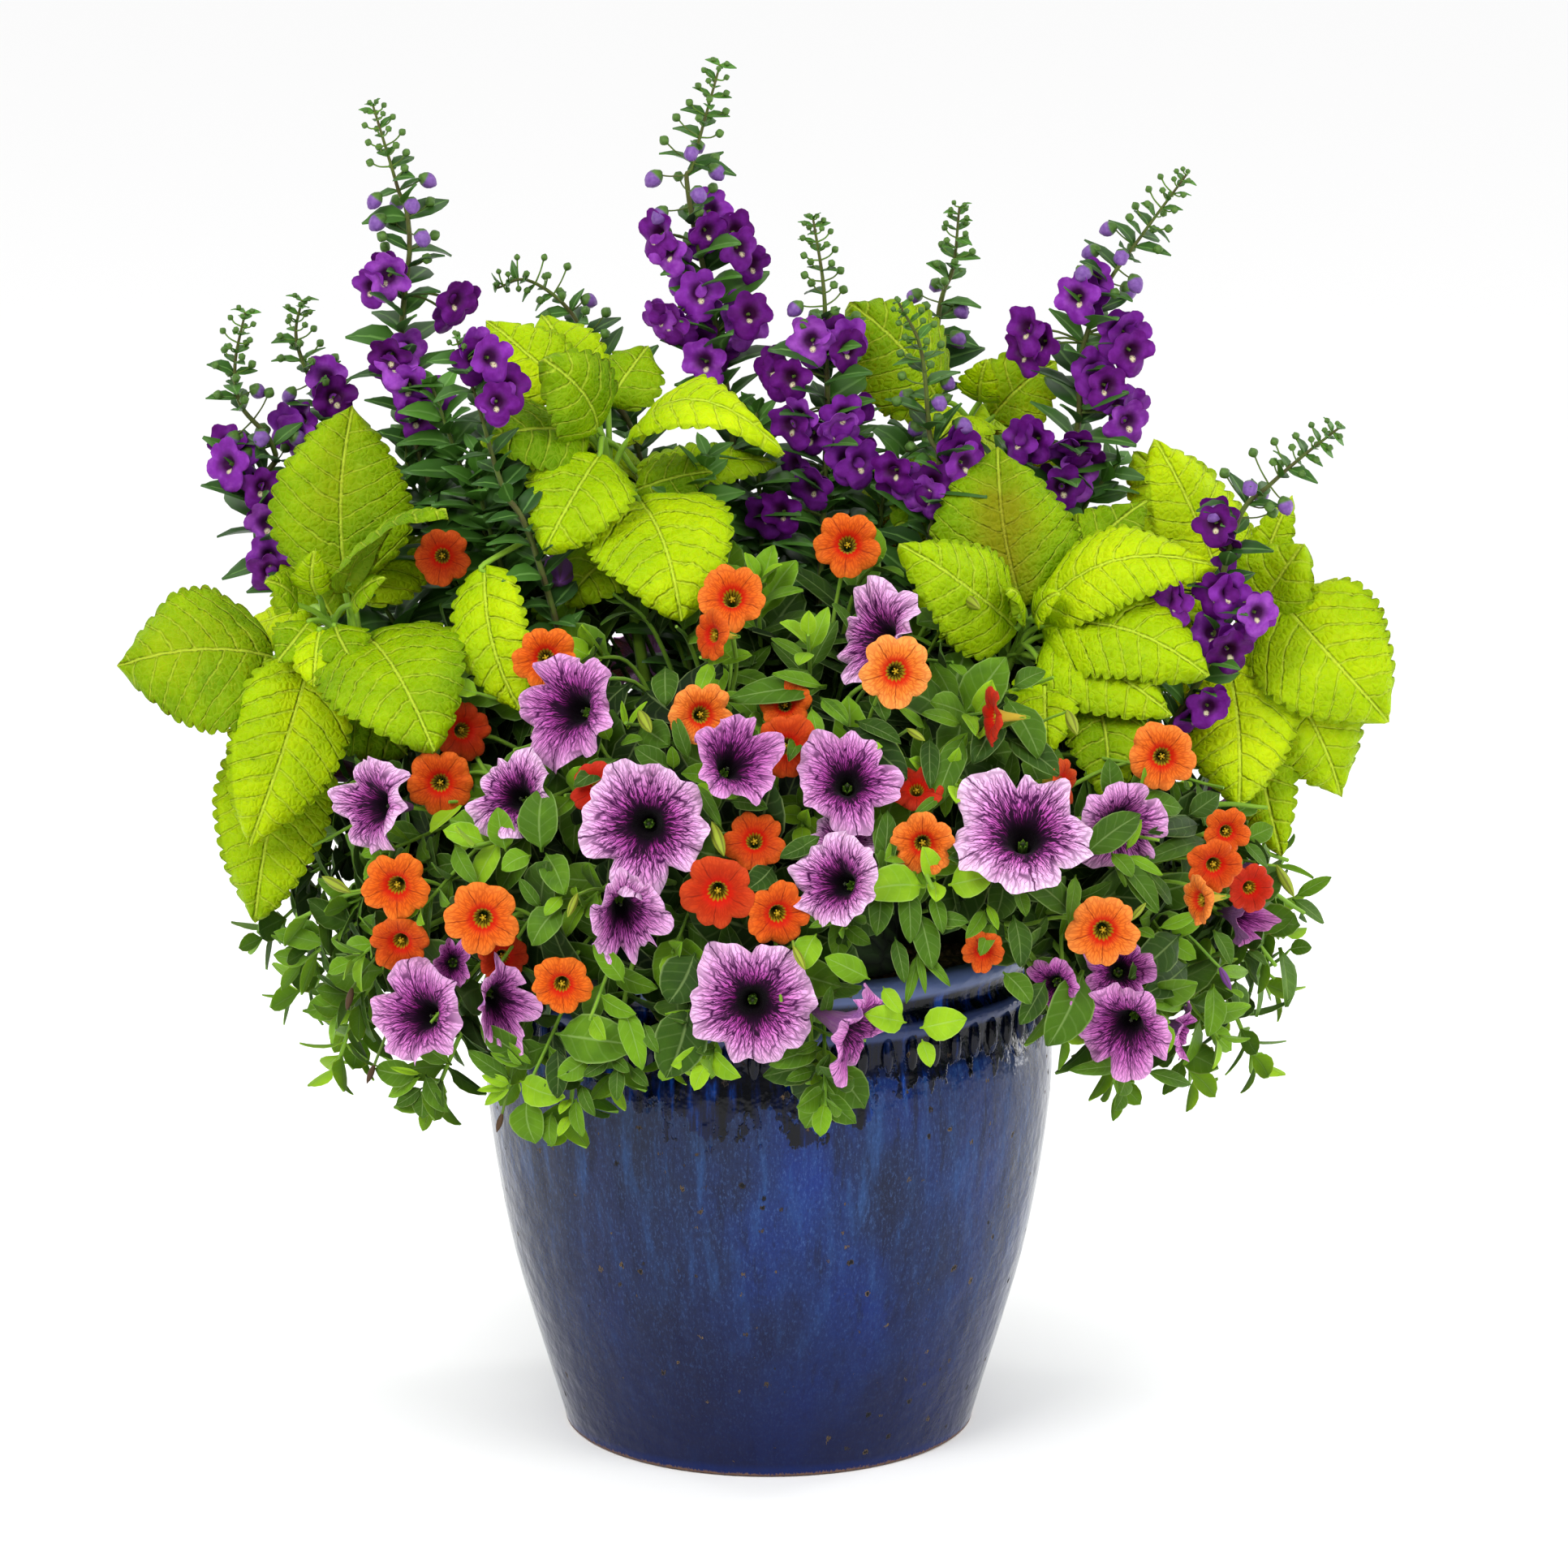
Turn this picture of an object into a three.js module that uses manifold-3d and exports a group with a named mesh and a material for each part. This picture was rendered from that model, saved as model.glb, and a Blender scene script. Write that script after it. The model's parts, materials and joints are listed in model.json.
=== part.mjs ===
// A mixed planting in a round glazed pot: calibrachoa, petunia, angelonia and coleus.
// Millimetres, +Z up, origin at the middle of the pot's foot, front towards -Y.
import * as THREE from "three";
import { mergeVertices } from "three/addons/utils/BufferGeometryUtils.js";
import Module from "manifold-3d";

const wasm = await Module();
wasm.setup();

// ---- driving dimensions ----

// pot
const FOOT_RADIUS = 103;
const BELLY_RADIUS = 141; // widest, at BELLY_HEIGHT
const BELLY_HEIGHT = 183;
const BEAD_HEIGHT = 219; // middle of the ring of beads
const BEAD_RADIUS = 137.5; // radius of the neck between two beads
const BEAD_RISE = 5; // how far a bead stands out
const NECK_RADIUS = 133.5;
const LIP_RADIUS = 137;
const RIM_HEIGHT = 257;
const WALL = 9;
const FLOOR = 14;
const POT_SIDES = 48; // every second side edge carries a bead

// soil
const SOIL_HEIGHT = 249;
const SOIL_MOUND = 5; // how much higher it lies in the middle
const SOIL_SIDES = 16;
const FIT = 0.35; // clearance where one piece stands in another
const ROOT_HEIGHT = 226; // lower end of every stem, inside the soil

// the mound of foliage, and the smaller core that its leaves stand out of
const MOUND_CENTRE = [5, 0, 258.5];
const MOUND_RADII = [244, 205, 184];
const CORE_RADII = [212, 172, 150];
const CORE_BOTTOM = 258.5;
const PLANTS_ROUND = 6; // foliage plants round the pot
const PLANT_GAP = 0.4; // the gap between two of them
const STEM_SPOT = [101, -25]; // where the first one's stem stands; the others are turned round

// places on the front view: across and up are measured on a plane through VIEW_MIDDLE, seen from
// VIEW_DISTANCE and VIEW_DROP degrees above level, with up counted from VIEW_BASE
const VIEW_DROP = 13;
const VIEW_DISTANCE = 3000;
const VIEW_MIDDLE = [7.6, 0, 324];
const VIEW_BASE = 315.6;

// plants
const PETAL = 0.7; // half the thickness of a petal at its throat
const LEAF = 0.7; // half the thickness of a blade at its rib
const CUP = 0.14; // how far a blade's margins are lifted, as a share of its half width
const COLEUS_STEM = 3.4;
const SPIKE_STEM = 1.7;
const STALK = 1.2;
const PEG = 12; // length of a spray's stem inside the foliage core
const GOLDEN_ANGLE = 137.508;
const TRIES = 7; // places or directions tried for a piece that would cross something
const SPRAY_STEP = 4; // between two places tried for a spray
const SEAT_RISE = 40; // lowest place of a spray's seat above the rim of the mound

// ---- vectors, random numbers, places ----

const v = (x, y, z) => new THREE.Vector3(x, y, z);
const rad = THREE.MathUtils.degToRad;
const lerp = (a, b, t) => a.clone().lerp(b, t);
const UP = v(0, 0, 1);

function randomFrom(seed) {
  let state = seed >>> 0;
  return () => {
    state = (Math.imul(state, 1664525) + 1013904223) >>> 0;
    return state / 4294967296;
  };
}

const viewMiddle = v(...VIEW_MIDDLE);
const viewAhead = v(0, Math.cos(rad(VIEW_DROP)), -Math.sin(rad(VIEW_DROP)));
const viewUp = v(0, Math.sin(rad(VIEW_DROP)), Math.cos(rad(VIEW_DROP)));
const eye = viewMiddle.clone().addScaledVector(viewAhead, -VIEW_DISTANCE);

// the line of sight through a place on the front view
function sightLine(across, up) {
  return viewAhead
    .clone()
    .multiplyScalar(VIEW_DISTANCE)
    .add(v(across - viewMiddle.x, 0, 0))
    .addScaledVector(viewUp, up - VIEW_BASE);
}

// the point of that line at a given depth y
function at(across, up, depth) {
  const line = sightLine(across, up);
  return eye.clone().addScaledVector(line, (depth - eye.y) / line.y);
}

const moundCentre = v(...MOUND_CENTRE);

// where that line first meets the mound, made larger by lift
function onMound(across, up, lift) {
  const radii = v(...MOUND_RADII).addScalar(lift);
  const line = sightLine(across, up);
  const d = line.clone().divide(radii);
  const o = eye.clone().sub(moundCentre).divide(radii);
  const a = d.lengthSq();
  const b = o.dot(d);
  const c = o.lengthSq() - 1;
  const halfChord = Math.sqrt(Math.max(b * b - a * c, 0));
  return eye.clone().addScaledVector(line, (-b - halfChord) / a);
}

// the point of the core's surface that lies under a point outside it
function onCore(point) {
  const ray = point.clone().sub(moundCentre);
  ray.z = Math.max(ray.z, SEAT_RISE);
  const radii = v(...CORE_RADII);
  return moundCentre
    .clone()
    .addScaledVector(ray, 1 / ray.clone().divide(radii).length());
}

// a direction from its turn to the right and its tilt upwards, both seen from the front
function facing(turn, tilt) {
  const level = Math.cos(rad(tilt));
  return v(
    Math.sin(rad(turn)) * level,
    -Math.cos(rad(turn)) * level,
    Math.sin(rad(tilt)),
  );
}

// ---- solids ----

// a closed mesh as a solid; three corners to a face, counter-clockwise seen from outside
function solid(points, faces) {
  const position = new Float32Array(points.flatMap((p) => [p.x, p.y, p.z]));
  return new wasm.Manifold(
    new wasm.Mesh({
      numProp: 3,
      vertProperties: position,
      triVerts: new Uint32Array(faces.flat()),
    }),
  );
}

function solidOfGeometry(geometry) {
  geometry.deleteAttribute("normal");
  geometry.deleteAttribute("uv");
  const merged = mergeVertices(geometry, 1e-3);
  return new wasm.Manifold(
    new wasm.Mesh({
      numProp: 3,
      vertProperties: merged.attributes.position.array,
      triVerts: new Uint32Array(merged.index.array),
    }),
  );
}

// joins solids into one body and drops loose scraps
function joined(solids) {
  const bodies = wasm.Manifold.union(solids).decompose();
  return bodies.reduce((a, b) => (b.volume() > a.volume() ? b : a));
}

function boxesMeet(a, b) {
  const p = a.boundingBox();
  const q = b.boundingBox();
  return [0, 1, 2].every((i) => p.min[i] < q.max[i] && q.min[i] < p.max[i]);
}

const crosses = (a, b) => boxesMeet(a, b) && !a.intersect(b).isEmpty();

// rings of corners round the points of a line; across is carried along it without a twist
function ringsAlong(points, radii, sides, start) {
  let across = start ? start.clone() : null;
  return points.flatMap((p, i) => {
    const before = points[Math.max(i - 1, 0)];
    const after = points[Math.min(i + 1, points.length - 1)];
    const along = after.clone().sub(before).normalize();
    if (!across) {
      across = Math.abs(along.z) > 0.9 ? v(1, 0, 0) : v(0, 0, 1);
    }
    across.addScaledVector(along, -across.dot(along)).normalize();
    const other = along.clone().cross(across);
    return Array.from({ length: sides }, (_, k) => {
      const turn = (2 * Math.PI * k) / sides;
      return p
        .clone()
        .addScaledVector(across, radii[i] * Math.cos(turn))
        .addScaledVector(other, radii[i] * Math.sin(turn));
    });
  });
}

// the faces between those rings, and the flat end on the last one
function ringFaces(count, sides, from = 0) {
  const faces = [];
  const last = from + (count - 1) * sides;
  for (let i = from; i < last; i += sides) {
    for (let k = 0; k < sides; k++) {
      const next = (k + 1) % sides;
      faces.push([i + k, i + next, i + sides + next]);
      faces.push([i + k, i + sides + next, i + sides + k]);
    }
  }
  for (let k = 1; k < sides - 1; k++) {
    faces.push([last, last + k, last + k + 1]);
  }
  return faces;
}

// the faces that close the space from one ring of corners to a smaller one behind it
function bridge(large, small) {
  const faces = [];
  let i = 0;
  let j = 0;
  while (i < large.length || j < small.length) {
    const a = large[i % large.length];
    const b = small[j % small.length];
    const onLarge = (i + 1) * small.length <= (j + 1) * large.length;
    if (j === small.length || (i < large.length && onLarge)) {
      faces.push([large[(i + 1) % large.length], a, b]);
      i += 1;
    } else {
      faces.push([a, b, small[(j + 1) % small.length]]);
      j += 1;
    }
  }
  return faces;
}

// a round bar with flat ends along points, with a radius at each
function bar(points, radii, sides, start) {
  const faces = ringFaces(points.length, sides);
  for (let k = 1; k < sides - 1; k++) {
    faces.push([0, k + 1, k]);
  }
  return solid(ringsAlong(points, radii, sides, start), faces);
}

// A blade along a rib: its upper and lower faces meet in a sharp margin. Each station has a half
// width and a half thickness; cup lifts the margins, and tooth gives a margin point between two
// stations that stands out beyond them.
function blade(stations, hint, cup = 0, tooth = 0) {
  const points = [];
  const faces = [];
  const rows = stations.map((s, i) => {
    const before = stations[Math.max(i - 1, 0)].at;
    const after = stations[Math.min(i + 1, stations.length - 1)].at;
    const along = after.clone().sub(before).normalize();
    const side = hint.clone().cross(along).normalize();
    const up = along.clone().cross(side);
    const row = { ...s, side, up };
    if (s.half === 0) {
      points.push(s.at);
      const tip = points.length - 1;
      return { ...row, top: tip, left: tip, low: tip, right: tip };
    }
    const rise = up.clone().multiplyScalar(cup * s.half);
    points.push(
      s.at.clone().addScaledVector(up, s.thick),
      s.at.clone().addScaledVector(side, s.half).add(rise),
      s.at.clone().addScaledVector(up, -s.thick),
      s.at.clone().addScaledVector(side, -s.half).add(rise),
    );
    const n = points.length;
    return { ...row, top: n - 4, left: n - 3, low: n - 2, right: n - 1 };
  });
  const face = (a, b, c) => {
    if (a !== b && b !== c && c !== a) faces.push([a, b, c]);
  };
  rows.slice(1).forEach((b, i) => {
    const a = rows[i];
    const half = Math.max(a.half, b.half);
    if (tooth && half > 4) {
      const mid = lerp(a.at, b.at, 0.6);
      const reach = (a.half * 0.4 + b.half * 0.6) * 0.98 + tooth;
      const rise = b.up.clone().multiplyScalar(cup * reach - tooth * 0.25);
      points.push(mid.clone().addScaledVector(b.side, reach).add(rise));
      points.push(mid.clone().addScaledVector(b.side, -reach).add(rise));
      const l = points.length - 2;
      const r = l + 1;
      face(a.top, b.top, l);
      face(a.top, l, a.left);
      face(b.top, b.left, l);
      face(a.low, l, b.low);
      face(a.low, a.left, l);
      face(b.low, l, b.left);
      face(a.top, r, b.top);
      face(a.top, a.right, r);
      face(b.top, r, b.right);
      face(a.low, b.low, r);
      face(a.low, r, a.right);
      face(b.low, b.right, r);
    } else {
      face(a.top, b.top, b.left);
      face(a.top, b.left, a.left);
      face(a.low, b.left, b.low);
      face(a.low, a.left, b.left);
      face(a.top, b.right, b.top);
      face(a.top, a.right, b.right);
      face(a.low, b.low, b.right);
      face(a.low, b.right, a.right);
    }
  });
  const first = rows[0];
  if (first.half > 0) {
    face(first.top, first.left, first.low);
    face(first.top, first.low, first.right);
  }
  return solid(points, faces);
}

// a plain leaf of four edges from a point inside what carries it, a little arched
function leaf(start, tip, half, hint) {
  const up = hint.clone().normalize();
  const rib = lerp(start, tip, 0.55).addScaledVector(up, 0.1 * tip.distanceTo(start));
  return blade(
    [
      { at: start, half: 0, thick: 0 },
      { at: rib, half, thick: LEAF },
      { at: tip, half: 0, thick: 0 },
    ],
    up,
    CUP,
  );
}

// A small form of four edges from a point inside what carries it: a small leaf, or a bud on its
// own stalk where it is as thick as it is wide.
function spindle(start, tip, share, half, thick) {
  const along = tip.clone().sub(start).normalize();
  const hint = Math.abs(along.z) > 0.8 ? v(0, -1, 0) : UP;
  return blade(
    [
      { at: start, half: 0, thick: 0 },
      { at: lerp(start, tip, share), half, thick },
      { at: tip, half: 0, thick: 0 },
    ],
    hint,
  );
}

// A bloom: five lobes round a throat, narrowing into a tube behind, which runs on as a stalk
// through the points of line. The outline of a lobe is a list of points: the share of the way to
// the next lobe, the reach, and how far it stands ahead of the middle.
const LOBES = 5;
const STALK_SIDES = 3;
function bloom({ middle, face, radius, tube, throat, outline, spin, squash = 1, line }) {
  const across = UP.clone().cross(face).normalize();
  const high = face.clone().cross(across).normalize();
  const spot = (turn, r, ahead) =>
    middle
      .clone()
      .addScaledVector(across, r * Math.cos(turn) * squash)
      .addScaledVector(high, r * Math.sin(turn))
      .addScaledVector(face, ahead);
  const points = [];
  const rim = [];
  const front = [];
  const back = [];
  for (let k = 0; k < LOBES; k++) {
    const turn = spin + (2 * Math.PI * k) / LOBES;
    outline.forEach(([share, reach, ahead]) => {
      const angle = turn + (2 * Math.PI * share) / LOBES;
      rim.push(points.push(spot(angle, reach * radius, ahead * radius)) - 1);
    });
    front.push(points.push(spot(turn, throat, -tube * 0.28)) - 1);
    back.push(points.push(spot(turn, throat + PETAL, -tube * 0.28 - 2 * PETAL)) - 1);
  }
  const well = points.push(spot(0, 0, -tube * 0.55)) - 1;
  const faces = [];
  const steps = outline.length;
  const half = Math.ceil(steps / 2);
  for (let k = 0; k < LOBES; k++) {
    const next = (k + 1) % LOBES;
    for (let s = 0; s < steps; s++) {
      const a = rim[k * steps + s];
      const b = rim[(k * steps + s + 1) % rim.length];
      const inner = s < half ? k : next;
      faces.push([front[inner], a, b], [back[inner], b, a]);
    }
    const turned = rim[k * steps + half];
    faces.push([front[k], turned, front[next]], [back[k], back[next], turned]);
    faces.push([front[k], front[next], well]);
  }
  const end = spot(0, 0, -tube);
  const path = [end, ...line];
  const start = across
    .clone()
    .multiplyScalar(Math.cos(spin))
    .addScaledVector(high, Math.sin(spin));
  const first = points.length;
  points.push(...ringsAlong(path, path.map(() => STALK), STALK_SIDES, start));
  faces.push(...bridge(back, [first, first + 2, first + 1]));
  return solid(points, [...faces, ...ringFaces(path.length, STALK_SIDES, first)]);
}

// ---- what is already placed, and the holes that its stems need ----

const root = new THREE.Group();
const placed = [];
const holes = [];

function add(name, body, color, roughness) {
  const mesh = body.getMesh();
  const geometry = new THREE.BufferGeometry();
  geometry.setAttribute(
    "position",
    new THREE.BufferAttribute(mesh.vertProperties, mesh.numProp),
  );
  geometry.setIndex(new THREE.BufferAttribute(mesh.triVerts, 1));
  geometry.computeVertexNormals();
  const material = new THREE.MeshStandardMaterial({ color, roughness, metalness: 0 });
  const piece = new THREE.Mesh(geometry, material);
  piece.name = name;
  root.add(piece);
  placed.push(body);
}

const isFree = (body, others) => !others.some((other) => crosses(body, other));

// the first form of a piece, from make(0), make(1) and so on, that crosses none of the others
function firstFree(make, tries, others) {
  for (let i = 0; i < tries; i++) {
    const body = make(i);
    if (isFree(body, others)) return body;
  }
  return null;
}

// 0, -1, 1, -2, 2 and so on, to try a place in front of and behind the one meant
const toAndFro = (i) => (i % 2 ? -1 : 1) * Math.ceil(i / 2);

// ---- blooms, in sprays of one kind ----

// each bloom: across, up, lift off the mound, turn, tilt, radius, and how narrow it is folded
const CALIBRACHOA = [
  [[-161, 428, 46, 0, 10, 14.5]],
  [
    [-110, 378, 14, 0, 15, 16],
    [-86, 313, 6, -30, 10, 14],
  ],
  [
    [-18, 408, 18, 0, 30, 17.5],
    [-29, 389, 22, -50, 10, 13],
    [-33, 350, 8, 10, 15, 16],
  ],
  [[39, 434, 20, 0, 20, 17]],
  [[63, 371, 36, 5, 10, 18]],
  [
    [9, 334, 10, 5, 10, 16],
    [8, 355, 0, 0, 20, 13],
    [-7, 288, 4, 0, 25, 15],
  ],
  [[109, 349, 18, -75, 5, 14]],
  [
    [-162, 316, -4, 0, 10, 17],
    [-150, 342, -8, 25, 10, 15],
  ],
  [
    [194, 329, 20, 0, 10, 17],
    [146, 316, 2, 60, 5, 12],
  ],
  [
    [73, 314, 2, 0, 45, 13],
    [76, 286, 8, 0, 5, 15.5],
  ],
  [
    [-25, 262, 14, 0, 0, 18],
    [5, 251, 8, 10, 0, 16],
  ],
  [
    [-184, 265, 14, -10, 0, 17],
    [-182, 237, 6, -10, -10, 15],
  ],
  [
    [-141, 249, 16, 0, 5, 18],
    [-131, 230, -4, 10, 0, 13],
  ],
  [[-102, 216, 8, 0, -5, 15]],
  [[165, 243, 26, 0, 5, 18]],
  [[106, 233, 4, 5, -10, 11]],
  [
    [226, 292, 20, 10, 5, 12],
    [220, 275, 26, 10, -5, 14],
    [211, 258, 24, -60, 0, 13],
    [238, 264, 22, 20, 0, 13],
  ],
];
const PETUNIA = [
  [
    [-100, 354, 16, -35, 20, 29],
    [-127, 311, 8, -25, 25, 23],
  ],
  [[-198, 305, 22, -50, 10, 26]],
  [
    [-61, 295, 20, -5, 10, 34],
    [-71, 250, 10, 10, -15, 25, 0.75],
  ],
  [
    [39, 318, 12, 0, 27, 26],
    [-17, 328, 24, 20, 35, 24, 0.9],
  ],
  [[51, 390, 14, -50, 25, 27]],
  [
    [37, 290, -4, 0, 50, 18],
    [32, 268, 16, -30, 20, 24],
  ],
  [
    [126, 294, 26, 0, 40, 35],
    [175, 294, 4, 20, 0, 23],
  ],
  [
    [-8, 207, 14, 0, 8, 33],
    [46, 192, 14, 65, -20, 25],
  ],
  [
    [-174, 203, 16, -35, 20, 26],
    [-133, 207, 4, 20, -5, 21, 0.8],
    [-156, 227, 0, 0, 10, 12],
  ],
  [
    [175, 194, 16, -20, -10, 25],
    [173, 224, 2, 0, 20, 18],
    [206, 194, 6, 75, -10, 15],
    [140, 216, 0, -20, 0, 14],
  ],
  [[233, 250, 2, 40, 0, 15, 0.7]],
];
// blooms of the far side: compass direction, height up the mound, radius share
const CALIBRACHOA_BEHIND = [
  [38, 38],
  [80, 24],
  [138, 34],
];
const PETUNIA_BEHIND = [
  [15, 18],
  [108, 30],
  [165, 20],
];
const CALIBRACHOA_OUTLINE = [
  [0, 0.84, -0.04],
  [0.5, 1, 0],
];
const PETUNIA_OUTLINE = [
  [0, 0.78, -0.12],
  [0.27, 1, 0.05],
  [0.7, 1, -0.1],
];
const KINDS = {
  calibrachoa: { tube: 20, throat: 0.3, outline: CALIBRACHOA_OUTLINE, color: 0xf0651a },
  petunia: { tube: 28, throat: 0.26, outline: PETUNIA_OUTLINE, color: 0xc77ccb },
};

// a spray: its blooms on their stalks, and one stem that stands in the foliage core
function sprayForm(kind, heads) {
  const { tube, throat, outline } = KINDS[kind];
  const middle = heads
    .reduce((sum, head) => sum.add(head.middle), v(0, 0, 0))
    .divideScalar(heads.length);
  const seat = onCore(middle);
  const inward = moundCentre.clone().sub(seat).normalize();
  const fork = seat.clone().addScaledVector(inward, -5);
  const foot = seat.clone().addScaledVector(inward, PEG);
  const solids = heads.map((head, i) =>
    bloom({
      ...head,
      tube: Math.min(tube, head.radius * 1.25),
      throat: throat * head.radius,
      outline,
      spin: Math.PI / 2 + i * 0.5,
      line: i ? [fork] : [fork, foot],
    }),
  );
  const socket = [
    seat.clone().addScaledVector(inward, -9),
    foot.clone().addScaledVector(inward, 1),
  ];
  const width = STALK + FIT * 2.8;
  return { body: joined(solids), hole: bar(socket, [width, width], 4) };
}

// a spray is moved a little nearer or further on its line of sight until it crosses nothing
function addSpray(name, kind, headsAt) {
  for (let i = 0; i < TRIES; i++) {
    const { body, hole } = sprayForm(kind, headsAt(SPRAY_STEP * toAndFro(i)));
    if (isFree(body, placed)) {
      add(name, body, KINDS[kind].color, 0.6);
      holes.push(hole);
      return;
    }
  }
  throw new Error(`${name} crosses another piece`);
}

const frontHeads = (list) => (nearer) =>
  list.map(([across, up, lift, turn, tilt, radius, squash]) => ({
    middle: onMound(across, up, lift + nearer),
    face: facing(turn, tilt),
    radius,
    squash,
  }));

// a pair of blooms on the far side, facing out from the mound
const behindHeads = ([compass, height], radius) => (further) =>
  [0, 1].map((i) => {
    const turn = rad(compass + i * 11);
    const rise = rad(height - i * 14);
    const out = v(
      Math.cos(turn) * Math.cos(rise),
      Math.sin(turn) * Math.cos(rise),
      Math.sin(rise),
    );
    const lifted = v(...MOUND_RADII).addScalar(8 + i * 8 + further);
    return {
      middle: moundCentre.clone().add(out.clone().multiply(lifted)),
      face: out,
      radius: radius - i * 2,
    };
  });

function addSprays(kind, front, behind, radius) {
  const sprays = [
    ...front.map(frontHeads),
    ...behind.map((where) => behindHeads(where, radius)),
  ];
  sprays.forEach((headsAt, i) => addSpray(`${kind}_spray_${i + 1}`, kind, headsAt));
}

addSprays("petunia", PETUNIA, PETUNIA_BEHIND, 29);
addSprays("calibrachoa", CALIBRACHOA, CALIBRACHOA_BEHIND, 17);

// ---- coleus plants ----

// each leaf: where the blade starts and where it ends (across, up, depth), its half width, how far
// it arches as a share of its length, and how far the blade rolls about its rib
const COLEUS = [
  {
    name: "coleus_left",
    foot: [-92, -18],
    crown: [-219, 398, -28],
    leaves: [
      [[-245, 384, -32], [-321, 379, -52], 36, 0.14, 0],
      [[-224, 380, -40], [-253, 287, -64], 29, 0.12, 0],
      [[-217, 344, -22], [-247, 247, -48], 27, 0.06, 0],
      [[-198, 388, -44], [-165, 333, -112], 35, 0.14, 0],
      [[-209, 416, -22], [-205, 502, 4], 33, 0.04, 0],
      [[-209, 412, -36], [-159, 451, -70], 22, 0.14, -50],
      [[-222, 408, -40], [-224, 430, -64], 9, 0.1, 0],
      [[-206, 404, -44], [-190, 418, -66], 8, 0.1, 0],
      [[-232, 404, -40], [-247, 416, -58], 9, 0.1, 0],
      [[-216, 352, -8], [-234, 330, 14], 15, 0.1, 0],
      [[-210, 350, -16], [-178, 330, -34], 17, 0.1, 0],
      [[-204, 408, -6], [-170, 438, 30], 20, 0.1, 0],
      [[-226, 402, 0], [-274, 372, 26], 20, 0.14, 30],
    ],
  },
  {
    name: "coleus_centre_left",
    foot: [-40, 2],
    crown: [-82, 486, -16],
    leaves: [
      [[-83, 478, -30], [-111, 430, -70], 25, 0.12, 0],
      [[-84, 490, -22], [-110, 525, -50], 22, 0.12, -10],
      [[-89, 487, -16], [-141, 486, -51], 20, 0.14, 0],
      [[-68, 486, -20], [7, 482, -52], 20, 0.34, -20],
      [[-64, 456, -30], [-43, 397, -84], 34, 0.12, 0],
      [[-70, 430, -16], [-100, 404, -44], 17, 0.1, 0],
      [[-66, 470, 0], [5, 474, 22], 15, 0.1, -20],
      [[-96, 508, -2], [-139, 545, 14], 18, 0.1, 0],
      [[-88, 512, 2], [-112, 548, 40], 17, 0.1, 0],
      [[-79, 504, 0], [-59, 532, 27], 17, 0.1, 0],
      [[-66, 460, -8], [-28, 470, -15], 14, 0.1, 0],
      [[-140, 424, -60], [-122, 350, -92], 18, 0.06, 25],
      [[-82, 484, 4], [-92, 462, 78], 27, 0.14, 60],
    ],
  },
  {
    name: "coleus_right",
    foot: [62, -24],
    crown: [127, 394, -36],
    leaves: [
      [[125, 402, -34], [113, 482, -14], 36, 0.04, 0],
      [[122, 392, -44], [67, 434, -78], 25, 0.12, -10],
      [[131, 398, -40], [221, 424, -58], 24, 0.2, -10],
      [[134, 393, -48], [217, 369, -78], 25, 0.16, 0],
      [[137, 389, -50], [199, 351, -84], 23, 0.1, 0],
      [[118, 388, -28], [71, 412, -20], 20, 0.1, 0],
      [[124, 398, -52], [120, 412, -76], 9, 0.1, 0],
      [[131, 396, -54], [142, 410, -72], 9, 0.1, 0],
      [[136, 372, -60], [137, 330, -100], 15, 0.08, 0],
      [[160, 362, -60], [167, 308, -100], 18, 0.08, 0],
      [[141, 400, -20], [187, 398, -8], 15, 0.1, 0],
      [[138, 410, -20], [186, 456, -8], 18, 0.1, 0],
      [[134, 398, -14], [172, 386, 58], 22, 0.14, 60],
    ],
  },
  {
    name: "coleus_far_right",
    foot: [98, 4],
    crown: [233, 390, -4],
    leaves: [
      [[228, 400, 4], [191, 486, 12], 25, 0.06, 0],
      [[224, 384, -14], [232, 304, -56], 30, 0.1, 0],
      [[237, 396, 0], [263, 434, -14], 23, 0.08, 0],
      [[246, 396, -4], [306, 346, -30], 33, 0.14, 20],
      [[242, 384, -10], [283, 309, -23], 28, 0.14, 10],
      [[240, 366, -12], [253, 280, -39], 17, 0.04, 0],
      [[230, 372, -18], [231, 336, -39], 13, 0.06, 0],
      [[240, 410, 6], [258, 458, 11], 10, 0.1, 0],
      [[238, 388, 12], [262, 364, 84], 28, 0.14, 50],
      [[226, 388, 14], [204, 372, 84], 27, 0.14, 60],
    ],
  },
  {
    name: "coleus_back",
    foot: [44, 84],
    crown: [98, 496, 66],
    leaves: [
      [[84, 504, 60], [40, 553, 44], 27, 0.12, 0],
      [[97, 494, 54], [84, 486, 6], 20, 0.14, 0],
      [[104, 504, 60], [107, 524, 40], 10, 0.1, 0],
      [[110, 496, 66], [142, 524, 70], 20, 0.1, 0],
      [[86, 500, 62], [46, 510, 52], 13, 0.1, 0],
      [[92, 474, 56], [66, 434, 12], 18, 0.1, 0],
      [[102, 488, 76], [112, 458, 142], 28, 0.14, 60],
    ],
  },
];
const COLEUS_COLOR = 0xb8dc16;
const COLEUS_STEPS = 4; // stations of a large blade along its rib
const SMALL_BLADE = 14; // half width under which a blade has fewer stations and a plain margin
const LEAF_STEPS = 6; // heights at which leaf stalks leave a stem
const CRENATION = 1.6; // how far a margin point stands out
const BLADE_STEP = 7; // between two depths tried for the tip of a blade
const TOWARDS_LIGHT = v(0, -0.75, 0.66); // the side to which the blades turn

const coleusWidth = (share) => Math.sin(Math.PI * share ** 0.75) ** 0.8;

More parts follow.
